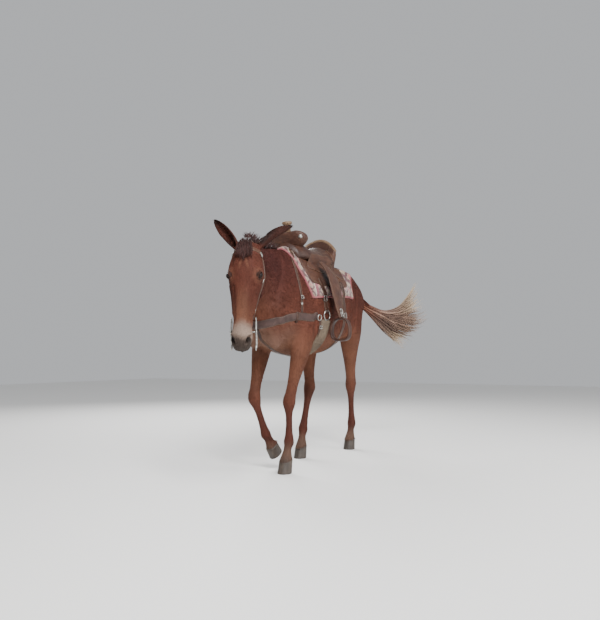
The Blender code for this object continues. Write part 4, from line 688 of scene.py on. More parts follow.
def place_on_chain(joints, place):
    """The point at this place along a chain of joints; past the ends it runs straight on."""
    bone = max(0, min(int(place), len(joints) - 2))
    return joints[bone].lerp(joints[bone + 1], place - bone)


def build_leg(bm, name):
    joints = [Vector(joint) for joint in LEG_JOINTS[name]]
    sections = []
    for place, half_width, front, back in FORE_SECTIONS if name.startswith("fore") else HIND_SECTIONS:
        centre = place_on_chain(joints, place)
        way = place_on_chain(joints, place + 0.12) - place_on_chain(joints, place - 0.12)
        ahead = Vector((0, -1, 0))
        ahead = (ahead - way * (ahead.dot(way) / way.length_squared)).normalized()
        top, bottom = centre + ahead * front, centre - ahead * back
        sections.append((*top, *bottom, half_width, back / (front + back), 0.0, 0.15))
    loft(bm, sections, sides=18, steps=3)
    if name.startswith("hind"):
        hock = joints[2]
        mass(bm, hock + Vector((0, 0.046, 0.046)), (0.024, 0.028, 0.040))
    else:
        knee = joints[2]
        mass(bm, knee + Vector((0, 0.040, 0.012)), (0.022, 0.020, 0.030))


def coronet_plane(name):
    """Where the horn begins on a foot: the point and the direction from flesh to hoof."""
    joints = [Vector(joint) for joint in LEG_JOINTS[name]]
    way = (joints[4] - joints[3]).normalized()
    slope = (way + Vector((0, CORONET_SLOPE, 0))).normalized() if name != "fore_right" else way
    return joints[4], slope


def on_lie(height, t):
    """The point this far along a strand, between the highest lie of the tail, at 0, and the lowest, at 1."""
    rows = [smooth_rows(lie, 4) for lie in TAIL_LIES]
    first, second = (rows[0], rows[1]) if height < 0.5 else (rows[1], rows[2])
    share = height * 2 if height < 0.5 else height * 2 - 1
    row = first * (1 - share) + second * share
    place = t * (len(row) - 1)
    k = min(int(place), len(row) - 2)
    return Vector(row[k] * (1 - place + k) + row[k + 1] * (place - k))


def crest_point(t):
    """The top of the neck from withers to poll."""
    rows = smooth_rows([top for top, _, _ in NECK_SECTIONS], 4)
    place = t * (len(rows) - 1)
    k = min(int(place), len(rows) - 2)
    return Vector(rows[k] * (1 - place + k) + rows[k + 1] * (place - k))


def eye_centre(side):
    return head_point(side * 0.0765, -0.029, EYE_DOWN)



# The skin
def laid(tree, line):
    """The line with each of its points moved onto the surface."""
    return [tuple(tree.find_nearest(Vector(point))[0]) for point in line]


def even_path(points, spacing):
    """Points a like distance apart on the smooth curve through the points given."""
    fine = smooth_rows(points, 8)
    lengths = np.concatenate([[0.0], np.cumsum(np.linalg.norm(np.diff(fine, axis=0), axis=1))])
    stations = np.linspace(0.0, lengths[-1], max(3, round(lengths[-1] / spacing) + 1))
    return np.stack([np.interp(stations, lengths, fine[:, k]) for k in range(3)], axis=1)


def stroke(points, normals, line, radius, height):
    """Raises a soft ridge along a line on the surface or, with a negative height, sinks a groove."""
    fine = even_path(line, radius * 0.5)
    low, high = fine.min(0) - 2.5 * radius, fine.max(0) + 2.5 * radius
    near = np.flatnonzero(np.all((points > low) & (points < high), axis=1))
    if len(near):
        gaps = ((points[near, None] - fine[None]) ** 2).sum(2).min(1)
        points[near] += normals[near] * (height * np.exp(-gaps / radius**2))[:, None]


def refine(obj, chosen):
    """Splits each face whose centre is chosen into four."""
    bm = bmesh.new()
    bm.from_mesh(obj.data)
    edges = {edge for face in bm.faces if chosen(face.calc_center_median()) for edge in face.edges}
    bmesh.ops.subdivide_edges(bm, edges=list(edges), cuts=1, use_grid_fill=True)
    bm.to_mesh(obj.data)
    bm.free()


def smooth_where(obj, iterations, weight_of):
    """Relaxes the surface as much as the weight of each point says."""
    group = obj.vertex_groups.new(name="relaxed")
    for vert in obj.data.vertices:
        weight = weight_of(vert.co)
        if weight > 0:
            group.add([vert.index], min(1.0, weight), "REPLACE")
    relax = obj.modifiers.new("relax", "SMOOTH")
    relax.factor = 0.5
    relax.iterations = iterations
    relax.vertex_group = "relaxed"
    apply_modifiers(obj)
    obj.vertex_groups.clear()


def build_ear(base, tip, open_way):
    """A long leaf rolled into a cup that opens along one side."""
    bm = bmesh.new()
    axis = tip - base
    along = axis.normalized()
    front = (open_way - along * open_way.dot(along)).normalized()
    across = along.cross(front)
    outer, inner = [], []
    for k in range(EAR_STEPS + 1):
        t = k / EAR_STEPS
        wide = EAR_HALF_WIDTH * (0.62 + 1.35 * t - 0.70 * t * t) * (1.0 - t**3.2) ** 0.62 + 0.0015
        gape = EAR_GAPE * min(1.0, 0.35 + 2.2 * t)
        centre = base + axis * t - front * (0.018 * math.sin(math.pi * t) - 0.006)
        for rows, radius in ((outer, wide), (inner, max(wide - EAR_WALL, wide * 0.35))):
            row = []
            for j in range(EAR_ARC + 1):
                angle = gape + (2 * math.pi - 2 * gape) * j / EAR_ARC
                row.append(centre + front * math.cos(angle) * radius * 0.80 + across * math.sin(angle) * radius)
            rows.append(row)
    skin_rings(bm, [out + list(reversed(ins)) for out, ins in zip(outer, inner)])
    return new_object("ear", bm)


def ear_ends(label):
    root, way, _ = EARS[label]
    base = head_point(*root)
    return base, base + Vector(way).normalized() * EAR_LENGTH


def on_head(point):
    return (point - head_point(0, *THROAT)).dot(FACE_OUT * 0.776 + FACE_DOWN * 0.632) > -0.01


def eye_axes(side):
    """The way an eye looks, the way its slit runs, and the way across the slit."""
    look = (HEAD_SIDE * side * 0.80 + FACE_OUT * 0.58 + FACE_DOWN * 0.10).normalized()
    slant = FACE_DOWN * 0.88 + FACE_OUT * 0.46
    along = (slant - look * slant.dot(look)).normalized()
    return look, along, look.cross(along)


def trim_feet(skin):
    """Ends the skin a little inside each hoof."""
    bm = bmesh.new()
    bm.from_mesh(skin.data)
    for name in LEG_JOINTS:
        point, way = coronet_plane(name)
        faces = [face for face in bm.faces if face.calc_center_median().x * point.x > 0
                 and (face.calc_center_median() - point).length < 0.14]
        parts = set(faces) | {edge for face in faces for edge in face.edges} | {v for face in faces for v in face.verts}
        bmesh.ops.bisect_plane(bm, geom=list(parts), plane_co=point + way * 0.005, plane_no=way, clear_outer=True)
    bmesh.ops.holes_fill(bm, edges=[edge for edge in bm.edges if edge.is_boundary])
    bm.to_mesh(skin.data)
    bm.free()


BODY_LINES = (
    (-0.007, 0.020, ((0.060, 0.055, 1.470), (0.150, 0.095, 1.300), (0.180, 0.130, 1.130))),
    (-0.006, 0.022, ((0.060, -0.120, 1.410), (0.125, -0.225, 1.220), (0.125, -0.290, 1.080))),
    (-0.009, 0.018, ((0.190, 0.130, 1.020), (0.185, 0.150, 0.930), (0.140, 0.150, 0.840))),
    (-0.010, 0.022, ((0.000, -0.350, 1.090), (0.000, -0.370, 0.960), (0.000, -0.300, 0.860))),
    (-0.006, 0.018, ((0.100, -0.300, 1.080), (0.130, -0.260, 0.960), (0.120, -0.180, 0.880))),
    (-0.013, 0.050, ((0.230, 0.690, 1.350), (0.250, 0.700, 1.210))),
    (0.013, 0.032, ((0.225, 0.735, 1.395), (0.235, 0.760, 1.360))),
    (-0.007, 0.020, ((0.200, 0.965, 1.360), (0.195, 1.020, 1.160), (0.180, 0.990, 0.980))),
    (-0.006, 0.018, ((0.150, 1.070, 1.330), (0.160, 1.110, 1.180), (0.140, 1.080, 1.020))),
    (-0.005, 0.016, ((0.215, 0.800, 1.250), (0.215, 0.810, 1.100), (0.195, 0.820, 0.980))),
    (-0.008, 0.020, ((0.235, 0.640, 1.050), (0.240, 0.710, 0.980), (0.215, 0.760, 0.930))),
    (-0.008, 0.017, ((0.150, -0.640, 1.200), (0.125, -0.500, 1.170), (0.150, -0.330, 1.110), (0.160, -0.230, 1.060))),
    (-0.005, 0.020, ((0.200, -0.640, 1.300), (0.170, -0.460, 1.290), (0.150, -0.300, 1.250))),
    (0.005, 0.016, ((0.190, -0.640, 1.255), (0.160, -0.480, 1.225), (0.160, -0.300, 1.170))),
    (-0.006, 0.026, ((0.030, -0.600, 1.430), (0.030, -0.400, 1.430), (0.045, -0.200, 1.440))),
    (-0.004, 0.010, ((0.160, -0.235, 0.990), (0.185, -0.120, 0.985), (0.185, 0.000, 0.975))),
)
HEAD_LINES = (
    (0.0060, 0.010, ((0.086, -0.070, 0.250), (0.070, -0.066, 0.340), (0.060, -0.062, 0.410))),
    (-0.0045, 0.013, ((0.058, -0.014, 0.270), (0.046, -0.022, 0.370), (0.042, -0.024, 0.470))),
    (-0.0040, 0.014, ((0.075, -0.110, 0.290), (0.062, -0.105, 0.370), (0.052, -0.095, 0.440))),
    (0.0022, 0.0040, ((0.075, -0.140, 0.320), (0.068, -0.090, 0.370), (0.050, -0.045, 0.420), (0.036, -0.018, 0.470))),
    (0.0016, 0.0035, ((0.058, -0.064, 0.392), (0.046, -0.060, 0.440), (0.044, -0.056, 0.490))),
    (-0.0090, 0.021, ((0.066, -0.014, 0.128), (0.068, -0.012, 0.150))),
    (0.0050, 0.009, ((0.078, 0.000, 0.168), (0.086, -0.002, 0.196), (0.080, -0.006, 0.226))),
    (-0.0018, 0.0028, ((0.088, -0.004, 0.180), (0.093, -0.006, 0.200), (0.088, -0.008, 0.222))),
    (-0.0016, 0.0028, ((0.083, 0.004, 0.172), (0.090, 0.004, 0.194), (0.085, 0.002, 0.218))),
    (-0.0018, 0.0030, ((0.104, -0.046, 0.182), (0.106, -0.050, 0.204), (0.098, -0.052, 0.226))),
    (-0.0060, 0.016, ((0.100, -0.210, 0.090), (0.098, -0.140, 0.060), (0.090, -0.090, 0.050))),
    (-0.0050, 0.014, ((0.092, -0.120, 0.285), (0.086, -0.180, 0.290), (0.070, -0.220, 0.280))),
    (-0.0100, 0.0042, ((0.054, -0.094, 0.500), (0.056, -0.093, 0.540), (0.048, -0.090, 0.585), (0.026, -0.086, 0.612),
                       (0.000, -0.084, 0.620))),
    (0.0030, 0.008, ((0.058, -0.108, 0.510), (0.055, -0.108, 0.560), (0.034, -0.104, 0.600), (0.0, -0.100, 0.612))),
    (0.0028, 0.008, ((0.060, -0.080, 0.520), (0.056, -0.076, 0.566), (0.034, -0.072, 0.608), (0.0, -0.068, 0.620))),
    (-0.0022, 0.0035, ((0.058, -0.084, 0.488), (0.060, -0.076, 0.500), (0.058, -0.066, 0.508))),
    (-0.0020, 0.0035, ((0.058, -0.090, 0.476), (0.060, -0.080, 0.484), (0.060, -0.070, 0.488))),
    (-0.0018, 0.0040, ((0.020, 0.000, 0.560), (0.018, -0.014, 0.590), (0.010, -0.030, 0.612))),
    (0.0045, 0.0060, ((0.060, -0.042, 0.530), (0.058, -0.024, 0.535), (0.048, -0.008, 0.545), (0.034, -0.004, 0.562),
                      (0.026, -0.016, 0.582))),
    (-0.0210, 0.0085, ((0.058, -0.036, 0.545), (0.052, -0.022, 0.552), (0.040, -0.018, 0.566), (0.034, -0.026, 0.580))),
    (-0.0170, 0.0065, ((0.052, -0.026, 0.556), (0.042, -0.024, 0.568))),
    (-0.0150, 0.0075, ((0.053, -0.035, 0.556), (0.045, -0.035, 0.569))),
)


def leg_lines(name):
    """Grooves along the tendons and round the joints of a leg, on its outer and inner sides."""
    joints = [Vector(joint) for joint in LEG_JOINTS[name]]
    found = []
    for side in SIDES.values():
        shallow = []
        for place, back in ((2.22, 0.020), (2.50, 0.016), (2.80, 0.018)):
            shallow.append(place_on_chain(joints, place) + Vector((side * 0.024, back, 0)))
        found.append((-0.0045, 0.009, shallow))
        upper = [place_on_chain(joints, place) + Vector((side * 0.055, 0.010, 0)) for place in (1.10, 1.40, 1.75)]
        found.append((-0.0050, 0.014, upper))
        below = [place_on_chain(joints, place) + Vector((side * 0.034, back, 0))
                 for place, back in ((2.92, 0.028), (3.0, 0.020), (3.15, 0.018))]
        found.append((-0.0025, 0.008, below))
    hollow = [place_on_chain(joints, 3.55) + Vector((x, 0.034, 0)) for x in (-0.02, 0.0, 0.02)]
    found.append((-0.0060, 0.014, hollow))
    return found


def sculpt(skin):
    """Muscle, bone, veins, wrinkles, lips and nostrils, pressed into the surface."""
    tree = surface_of(skin)
    points, normals = points_of(skin), normals_of(skin)
    points -= normals * HAIR_DEPTH
    for side in SIDES.values():
        for height, radius, line in BODY_LINES:
            stroke(points, normals, laid(tree, [(side * x, y, z) for x, y, z in line]), radius, height)
        for height, radius, line in HEAD_LINES:
            route = [head_point(side * a, b, c) for a, b, c in line]
            stroke(points, normals, laid(tree, route), radius, height)
        for k in range(7):
            y = 0.34 + 0.055 * k
            rib = [(side * 0.24, y, 1.330), (side * 0.27, y - 0.020, 1.180), (side * 0.25, y - 0.030, 0.980)]
            stroke(points, normals, laid(tree, rib), 0.016, 0.0028)
    for name in LEG_JOINTS:
        for height, radius, line in leg_lines(name):
            stroke(points, normals, laid(tree, line), radius, height)
    draw = np.random.default_rng(11)
    for k in range(150):
        centre = points[draw.integers(len(points))]
        if centre[2] > 0.8:
            near = np.flatnonzero(np.linalg.norm(points - centre, axis=1) < 0.11)
            gaps = np.linalg.norm(points[near] - centre, axis=1) / 0.045
            points[near] += normals[near] * (draw.uniform(-0.0016, 0.0016) * np.exp(-gaps**2))[:, None]
    for side in SIDES.values():
        open_eye(points, side)
    place_points(skin, points)


def open_eye(points, side):
    """Rounds the lids over the eyeball and opens an almond slit between them."""
    centre = np.array(eye_centre(side))
    look, along, over = (np.array(way) for way in eye_axes(side))
    local = points - centre
    a, b, c = local @ along, local @ over, local @ look
    near = (np.hypot(a, b) < 0.034) & (c > -0.004) & (c < 0.060)
    e = np.hypot(a / 0.0195, (b - 0.0012) / 0.0112)
    flat = np.hypot(a, b)
    lid = np.sqrt(np.maximum((EYE_RADIUS + 0.0040) ** 2 - flat**2, 0.0))
    under = np.sqrt(np.maximum((EYE_RADIUS - 0.0030) ** 2 - flat**2, 0.0))
    lift = near & (flat < EYE_RADIUS + 0.0030)
    c = np.where(lift, np.maximum(c, lid) * (1 - ramp(flat, 0.016, 0.024)) + np.maximum(c, lid - 0.001)
                 * ramp(flat, 0.016, 0.024), c)
    snap = near & (e > 0.90) & (e < 1.07)
    a, b = np.where(snap, a / e, a), np.where(snap, (b - 0.0012) / e + 0.0012, b)
    inside = near & (e <= 0.90)
    c = np.where(inside, under, c)
    edge = near & (e > 0.90) & (e < 1.0)
    c = np.where(edge, np.sqrt(np.maximum((EYE_RADIUS + 0.0008) ** 2 - a**2 - b**2, 0.0)), c)
    upper = ramp(b * math.copysign(1.0, over @ np.array(FACE_OUT)), 0.000, 0.006)
    crease = 0.0026 * upper * np.exp(-((e - 1.66) / 0.15) ** 2) + 0.0016 * (1 - upper) * np.exp(-((e - 1.60) / 0.15) ** 2)
    c = np.where(near & (e > 1.07), c - crease + 0.0010 * np.exp(-((e - 1.30) / 0.13) ** 2), c)
    chosen = near
    points[chosen] = (centre + a[:, None] * along + b[:, None] * over + c[:, None] * look)[chosen]


def build_skin():
    """The whole hide in one piece: trunk, neck, head, ears and legs."""
    bm = bmesh.new()
    build_trunk(bm)
    build_neck(bm)
    build_head(bm)
    for name in LEG_JOINTS:
        build_leg(bm, name)
    skin = new_object("bay_skin", bm)
    remesh = skin.modifiers.new("skin", "REMESH")
    remesh.mode = "VOXEL"
    remesh.voxel_size = HIDE_CELL
    smooth = skin.modifiers.new("smooth", "SMOOTH")
    smooth.factor = 0.5
    smooth.iterations = HIDE_SMOOTHING
    apply_modifiers(skin)
    smooth_where(skin, TRUNK_SMOOTHING, lambda co: min((co.z - LEG_TOP) / BLEND_DEPTH,
                                                       -(co - POLL).dot(FACING) / BLEND_DEPTH - 1.0))
    trim_feet(skin)
    refine(skin, on_head)
    smooth_where(skin, 3, lambda co: 1.0 if on_head(co) else 0.0)
    eyes = [eye_centre(side) for side in SIDES.values()]
    muzzle = head_point(0, -0.05, 0.575)
    refine(skin, lambda co: (co - muzzle).length < 0.090 or any((co - eye).length < 0.046 for eye in eyes))
    refine(skin, lambda co: any((co - eye).length < 0.038 for eye in eyes))
    smooth_where(skin, 2, lambda co: 1.0 if on_head(co) else 0.0)
    for label in SIDES:
        ear = build_ear(*ear_ends(label), Vector(EARS[label][2]))
        count = len(skin.data.polygons)
        before = skin.data.copy()
        join = skin.modifiers.new("ear", "BOOLEAN")
        join.operation = "UNION"
        join.solver = "MANIFOLD"
        join.object = ear
        apply_modifiers(skin)
        if len(skin.data.polygons) < count:
            skin.data = before
            print("the ear stays apart", label)
        discard(ear)
    roots = [head_point(*EARS[label][0]) for label in SIDES]
    smooth_where(skin, 6, lambda co: max(1.3 - (co - root).length / 0.045 for root in roots))
    sculpt(skin)
    return skin


# Colours of the coat
BAY = (0.086, 0.027, 0.017)
MAROON = (0.040, 0.011, 0.010)
FAWN = (0.178, 0.078, 0.045)
MEALY = (0.265, 0.200, 0.160)
SOOT = (0.013, 0.009, 0.008)
DUST = (0.125, 0.086, 0.062)


def mixed(colours, other, amount):
    amount = np.clip(np.broadcast_to(amount, len(colours)), 0.0, 1.0)[:, None]
    return colours * (1 - amount) + np.array(other) * amount


def head_place(points):
    """The head's own side, out and down of each point."""
    local = points - np.array(POLL)
    return local @ np.array(HEAD_SIDE), local @ np.array(FACE_OUT), local @ np.array(FACE_DOWN)


def head_share(points):
    local = points - np.array(head_point(0, *THROAT))
    return ramp(local @ np.array(FACE_OUT * 0.776 + FACE_DOWN * 0.632), -0.03, 0.05)


def ear_place(points, label):
    """How far up an ear each point is, from 0 to 1, and whether it belongs to the ear."""
    base, tip = (np.array(end) for end in ear_ends(label))
    t = (points - base) @ (tip - base) / EAR_LENGTH**2
    gap = np.linalg.norm(points - base - t[:, None] * (tip - base), axis=1)
    return t, (t > 0.03) & (t < 1.05) & (gap < 0.046)


def coat_colour(points, normals):
    """The colour of the hide and of the hair at each place of the body."""
    x, y, z = points.T
    wave = np.sin(7 * x + 9 * y + 2) * np.sin(11 * z + 5 * y) * 0.05
    colours = np.tile(np.array(BAY), (len(points), 1))
    colours = mixed(colours, MAROON, ramp(z + wave, 1.02, 1.42) * 0.68)
    low = ramp(-(z + wave), -1.05, -0.80) * 0.45 + ramp(-normals[:, 2], 0.3, 0.9) * 0.35
    chest = ramp(-y, 0.20, 0.50) * ramp(-z, -1.35, -1.05)
    colours = mixed(colours, FAWN, np.maximum(low, chest * 0.60) * ramp(z + wave, 0.30, 0.66))
    brisket = ramp(-y, -0.02, 0.20) * ramp(-z - wave, -0.98, -0.86) * ramp(z, 0.72, 0.80)
    colours = mixed(colours, MEALY, brisket * 0.24)
    neck = ramp(-y, 0.10, 0.30) * ramp(z, 1.00, 1.20) * ramp(y, -0.62, -0.45)
    colours = mixed(colours, MAROON, neck * 0.45)
    spine = ramp(-np.abs(x), -0.030, -0.008) * ramp(y, 0.60, 0.75) * ramp(z, 1.2, 1.3)
    colours = mixed(colours, SOOT, spine * 0.55)
    colours = mixed(colours, MAROON, ramp(-z + wave * 2, -0.66, -0.36) * 0.35)
    colours = mixed(colours, DUST, ramp(-z + wave * 0.4, -0.22, -0.11) * 0.55)
    head = head_share(points)
    side, out, down = head_place(points)
    face = mixed(np.tile(np.array(BAY), (len(points), 1)), MAROON, 0.22 + 0.35 * ramp(-out, 0.03, 0.15))
    face = mixed(face, FAWN, ramp(down, 0.30, 0.46) * 0.35)
    bridge = ramp(-np.abs(side), -0.045, -0.015) * ramp(down, 0.24, 0.36) * (out > -0.04)
    face = mixed(face, FAWN, bridge * 0.40)
    pale = np.maximum(ramp(down + wave * 0.3 - np.abs(side) * 0.3, 0.438, 0.500), ramp(down, 0.47, 0.53) * (out < -0.06))
    face = mixed(face, MEALY, pale * 0.82)
    face = mixed(face, SOOT, ramp(down - out * 0.10 - side * 0.42 + wave * 0.3, 0.520, 0.566) * 0.86)
    for hand in SIDES.values():
        gap = np.linalg.norm(points - np.array(eye_centre(hand)), axis=1)
        face = mixed(face, FAWN, ramp(-gap, -0.054, -0.032) * 0.22)
        face = mixed(face, SOOT, ramp(-gap, -0.0300, -0.0225) * 0.90)
        hole = np.linalg.norm(points - np.array(head_point(hand * 0.046, -0.028, 0.560)), axis=1)
        face = mixed(face, SOOT, ramp(-hole, -0.030, -0.014) * 0.95)
    star = ramp(-np.abs(np.abs(side) - 0.30 * (down - 0.085)), -0.010, -0.003)
    face = mixed(face, FAWN, star * ramp(down, 0.09, 0.11) * ramp(-down, -0.19, -0.15) * (out > -0.02) * 0.35)
    colours = colours * (1 - head[:, None]) + face * head[:, None]
    for label in SIDES:
        t, belongs = ear_place(points, label)
        cup = np.array(Vector(EARS[label][2]).normalized())
        inside = ramp(normals @ cup, 0.15, 0.75)
        ear = mixed(np.tile(np.array(BAY), (len(points), 1)), MAROON, 0.35)
        ear = mixed(ear, SOOT, np.maximum(inside * 0.80, ramp(t, 0.80, 0.98) * 0.8))
        if label == "left":
            ear = mixed(ear, SOOT, 0.45)
        share = (ramp(t, 0.02, 0.12) * belongs)[:, None]
        colours = colours * (1 - share) + ear * share
    return colours


def upright_share(points):
    """Where the hair runs straight down: on the head, the front of the chest and the legs."""
    _, y, z = points.T
    chest = ramp(-y, 0.22, 0.34) * ramp(-z, -1.25, -1.0)
    return np.maximum(np.maximum(head_share(points), chest), ramp(-z, -0.95, -0.75))


def hair_flow(points, normals):
    """The way the hair lies: down the face, back and down over the body, down the legs, up the ears."""
    x, y, z = points.T
    flow = np.stack([np.zeros_like(x), np.full_like(x, 0.80), -0.62 * (1 - np.clip(normals[:, 2], 0, 1))], axis=1)
    leg = ramp(-z, -0.95, -0.75)[:, None]
    flow = flow * (1 - leg) + np.array((0.0, 0.22, -1.0)) * leg
    front = (ramp(-y, 0.22, 0.34) * ramp(-z, -1.25, -1.0))[:, None]
    flow = flow * (1 - front) + np.array((0.0, 0.0, -1.0)) * front
    head = head_share(points)[:, None]
    flow = flow * (1 - head) + np.array(FACE_DOWN) * head
    for label in SIDES:
        _, belongs = ear_place(points, label)
        base, tip = ear_ends(label)
        flow[belongs] = np.array((tip - base).normalized())
    flow -= normals * np.sum(flow * normals, axis=1, keepdims=True)
    return unit(flow)


def unwrap(points):
    """Each point's place on a flat lay-out of the hide: trunk and neck above, head and legs below."""
    x, y, z = points.T
    turn = (np.arctan2(x, z - TRUNK_AXIS_HEIGHT) / (2 * math.pi) + 0.5) % 1.0
    u = 0.02 + 0.95 * turn
    v = 0.47 + 0.50 * np.clip((y + 0.75) / 1.95, 0, 1)
    side, out, down = head_place(points)
    head = head_share(points) > 0.5
    around = np.arctan2(side, out + 0.12) / (2 * math.pi) + 0.5
    u = np.where(head, 0.02 + 0.28 * around, u)
    v = np.where(head, 0.03 + 0.40 * np.clip((down + 0.25) / 0.90, 0, 1), v)
    for k, (name, joints) in enumerate(LEG_JOINTS.items()):
        fore, left = name.startswith("fore"), name.endswith("left")
        mine = (z < 0.80) & ((y < 0.36) == fore) & ((x > 0) == left)
        shares = np.clip((z - joints[4][2]) / (joints[0][2] - joints[4][2]), 0, 1)
        heights = np.array([joint[2] for joint in joints[::-1]])
        middle_x = np.interp(z, heights, [joint[0] for joint in joints[::-1]])
        middle_y = np.interp(z, heights, [joint[1] for joint in joints[::-1]])
        around = np.arctan2(x - middle_x, y - middle_y) / (2 * math.pi) + 0.5
        u = np.where(mine, 0.33 + 0.165 * k + 0.145 * around, u)
        v = np.where(mine, 0.03 + 0.40 * shares, v)
    return np.stack([u, v], axis=1)


# Hair
def sampled(obj, count, density_of, seed):
    """Points spread over a surface, more of them where the density is higher, with normals."""
    draw = np.random.default_rng(seed)
    mesh = obj.data
    mesh.calc_loop_triangles()
    corners = np.empty(len(mesh.loop_triangles) * 3, np.int32)
    mesh.loop_triangles.foreach_get("vertices", corners)
    corners = corners.reshape(-1, 3)
    points, normals = points_of(obj), normals_of(obj)
    a, b, c = (points[corners[:, k]] for k in range(3))
    area = np.linalg.norm(np.cross(b - a, c - a), axis=1) * density_of((a + b + c) / 3)
    ladder = np.cumsum(area)
    spots = (np.arange(count) + draw.random(count)) / count * ladder[-1]
    found = np.minimum(np.searchsorted(ladder, spots), len(area) - 1)
    r, s = np.sqrt(draw.random(count)), draw.random(count)
    shares = np.stack([1 - r, r * (1 - s), r * s], axis=1)
    place = sum(points[corners[found, k]] * shares[:, k:k + 1] for k in range(3))
    normal = unit(sum(normals[corners[found, k]] * shares[:, k:k + 1] for k in range(3)))
    return place, normal


def set_bake_map(obj, places, index):
    """Gives each point its place on the lay-out that colours are baked to."""
    uv = obj.data.uv_layers.new(name="OFBake")
    uv.data.foreach_set("uv", places.reshape(-1, 2)[index.ravel()].astype(np.float32).ravel())


def tuft_meshes(name, roots, normals, flow, length, width, tints, lift, most=19000):
    """Small closed tapered tufts that lie along the hide, in pieces of a bounded size, each with its own patch."""
    across = np.cross(normals, flow)
    layout = unwrap(roots)
    patch = np.array(((-1, -1), (0, -1), (1, -1), (-0.6, 0.2), (0, 0.2), (0.6, 0.2), (0, 1))) * 0.0015
    faces = np.array(((2, 1, 0), (0, 1, 4), (0, 4, 3), (1, 2, 5), (1, 5, 4), (2, 0, 3), (2, 3, 5), (3, 4, 6), (4, 5, 6),
                      (5, 3, 6)))
    made = []
    for part, start in enumerate(range(0, len(roots), most)):
        pick = slice(start, start + most)
        base, out, way, wide = roots[pick], normals[pick], flow[pick], across[pick]
        long, half = length[pick][:, None], width[pick][:, None] / 2
        rise = lift[pick][:, None]
        low = base - out * 0.0012
        middle = base + way * long * 0.48 + out * (long * rise * 0.62 + 0.0003)
        tip = base + way * long + out * long * rise * 0.80
        rings = [low + wide * half, low + out * (half * 0.45 + 0.0012), low - wide * half,
                 middle + wide * half * 0.8, middle + out * half * 0.30, middle - wide * half * 0.8, tip]
        points = np.stack(rings, axis=1).reshape(-1, 3)
        count = len(base)
        index = (faces[None] + 7 * np.arange(count)[:, None, None]).reshape(-1, 3)
        obj = from_arrays(f"{name}_{part + 1}", points, index)
        shade = np.array((0.92, 1.0, 0.92, 1.00, 1.06, 1.00, 1.14))
        tint = (tints[pick][:, None] * shade[None, :, None]).reshape(-1, 3)
        set_attribute(obj, "tint", "FLOAT_COLOR", tint)
        set_bake_map(obj, layout[pick][:, None] + patch[None], index)
        made.append(finished(obj, FUR, "coat"))
    return made


def lock_mesh(name, lines, half_widths, half_depths, flat, tints, material, slot, *nodes):
    """Closed flat locks along rows of points, each tapered by its own widths."""
    count, knots = lines.shape[:2]
    ways = unit(np.gradient(lines, axis=1))
    across = unit(np.cross(ways, flat[:, None]))
    up = np.cross(across, ways)
    wide, deep = half_widths[..., None], half_depths[..., None]
    ring = np.stack([lines + across * wide, lines + up * deep, lines - across * wide, lines - up * deep], axis=2)
    points = ring.reshape(-1, 3)
    faces = []
    for k in range(knots - 1):
        for j in range(4):
            i = (j + 1) % 4
            faces.append((4 * k + j, 4 * k + 4 + j, 4 * k + 4 + i, 4 * k + i))
    last = 4 * (knots - 1)
    faces += [(0, 1, 2, 3), (last + 3, last + 2, last + 1, last)]
    index = (np.array(faces)[None] + 4 * knots * np.arange(count)[:, None, None]).reshape(-1, 4)
    obj = from_arrays(name, points, index)
    set_attribute(obj, "tint", "FLOAT_COLOR", np.repeat(tints.reshape(-1, 3), 4, axis=0))
    order = np.arange(count)
    roots = np.stack([0.02 + 0.96 * (order + 0.5) / count, 0.02 + 0.94 * (order * 0.618034 % 1)], axis=1)
    patch = np.stack(np.broadcast_arrays(np.array((-0.0015, -0.0005, 0.0015, 0.0005))[None],
                                         np.linspace(0, 0.012, knots)[:, None]), axis=2)
    set_bake_map(obj, roots[:, None, None] + patch[None], index)
    return finished(obj, material, slot, *nodes)


def taper(knots, root, widest):
    t = np.linspace(0, 1, knots)
    return (root + (1 - root) * np.minimum(t / widest, 1.0)) * (1 - ramp(t, widest, 1.0) * 0.94)


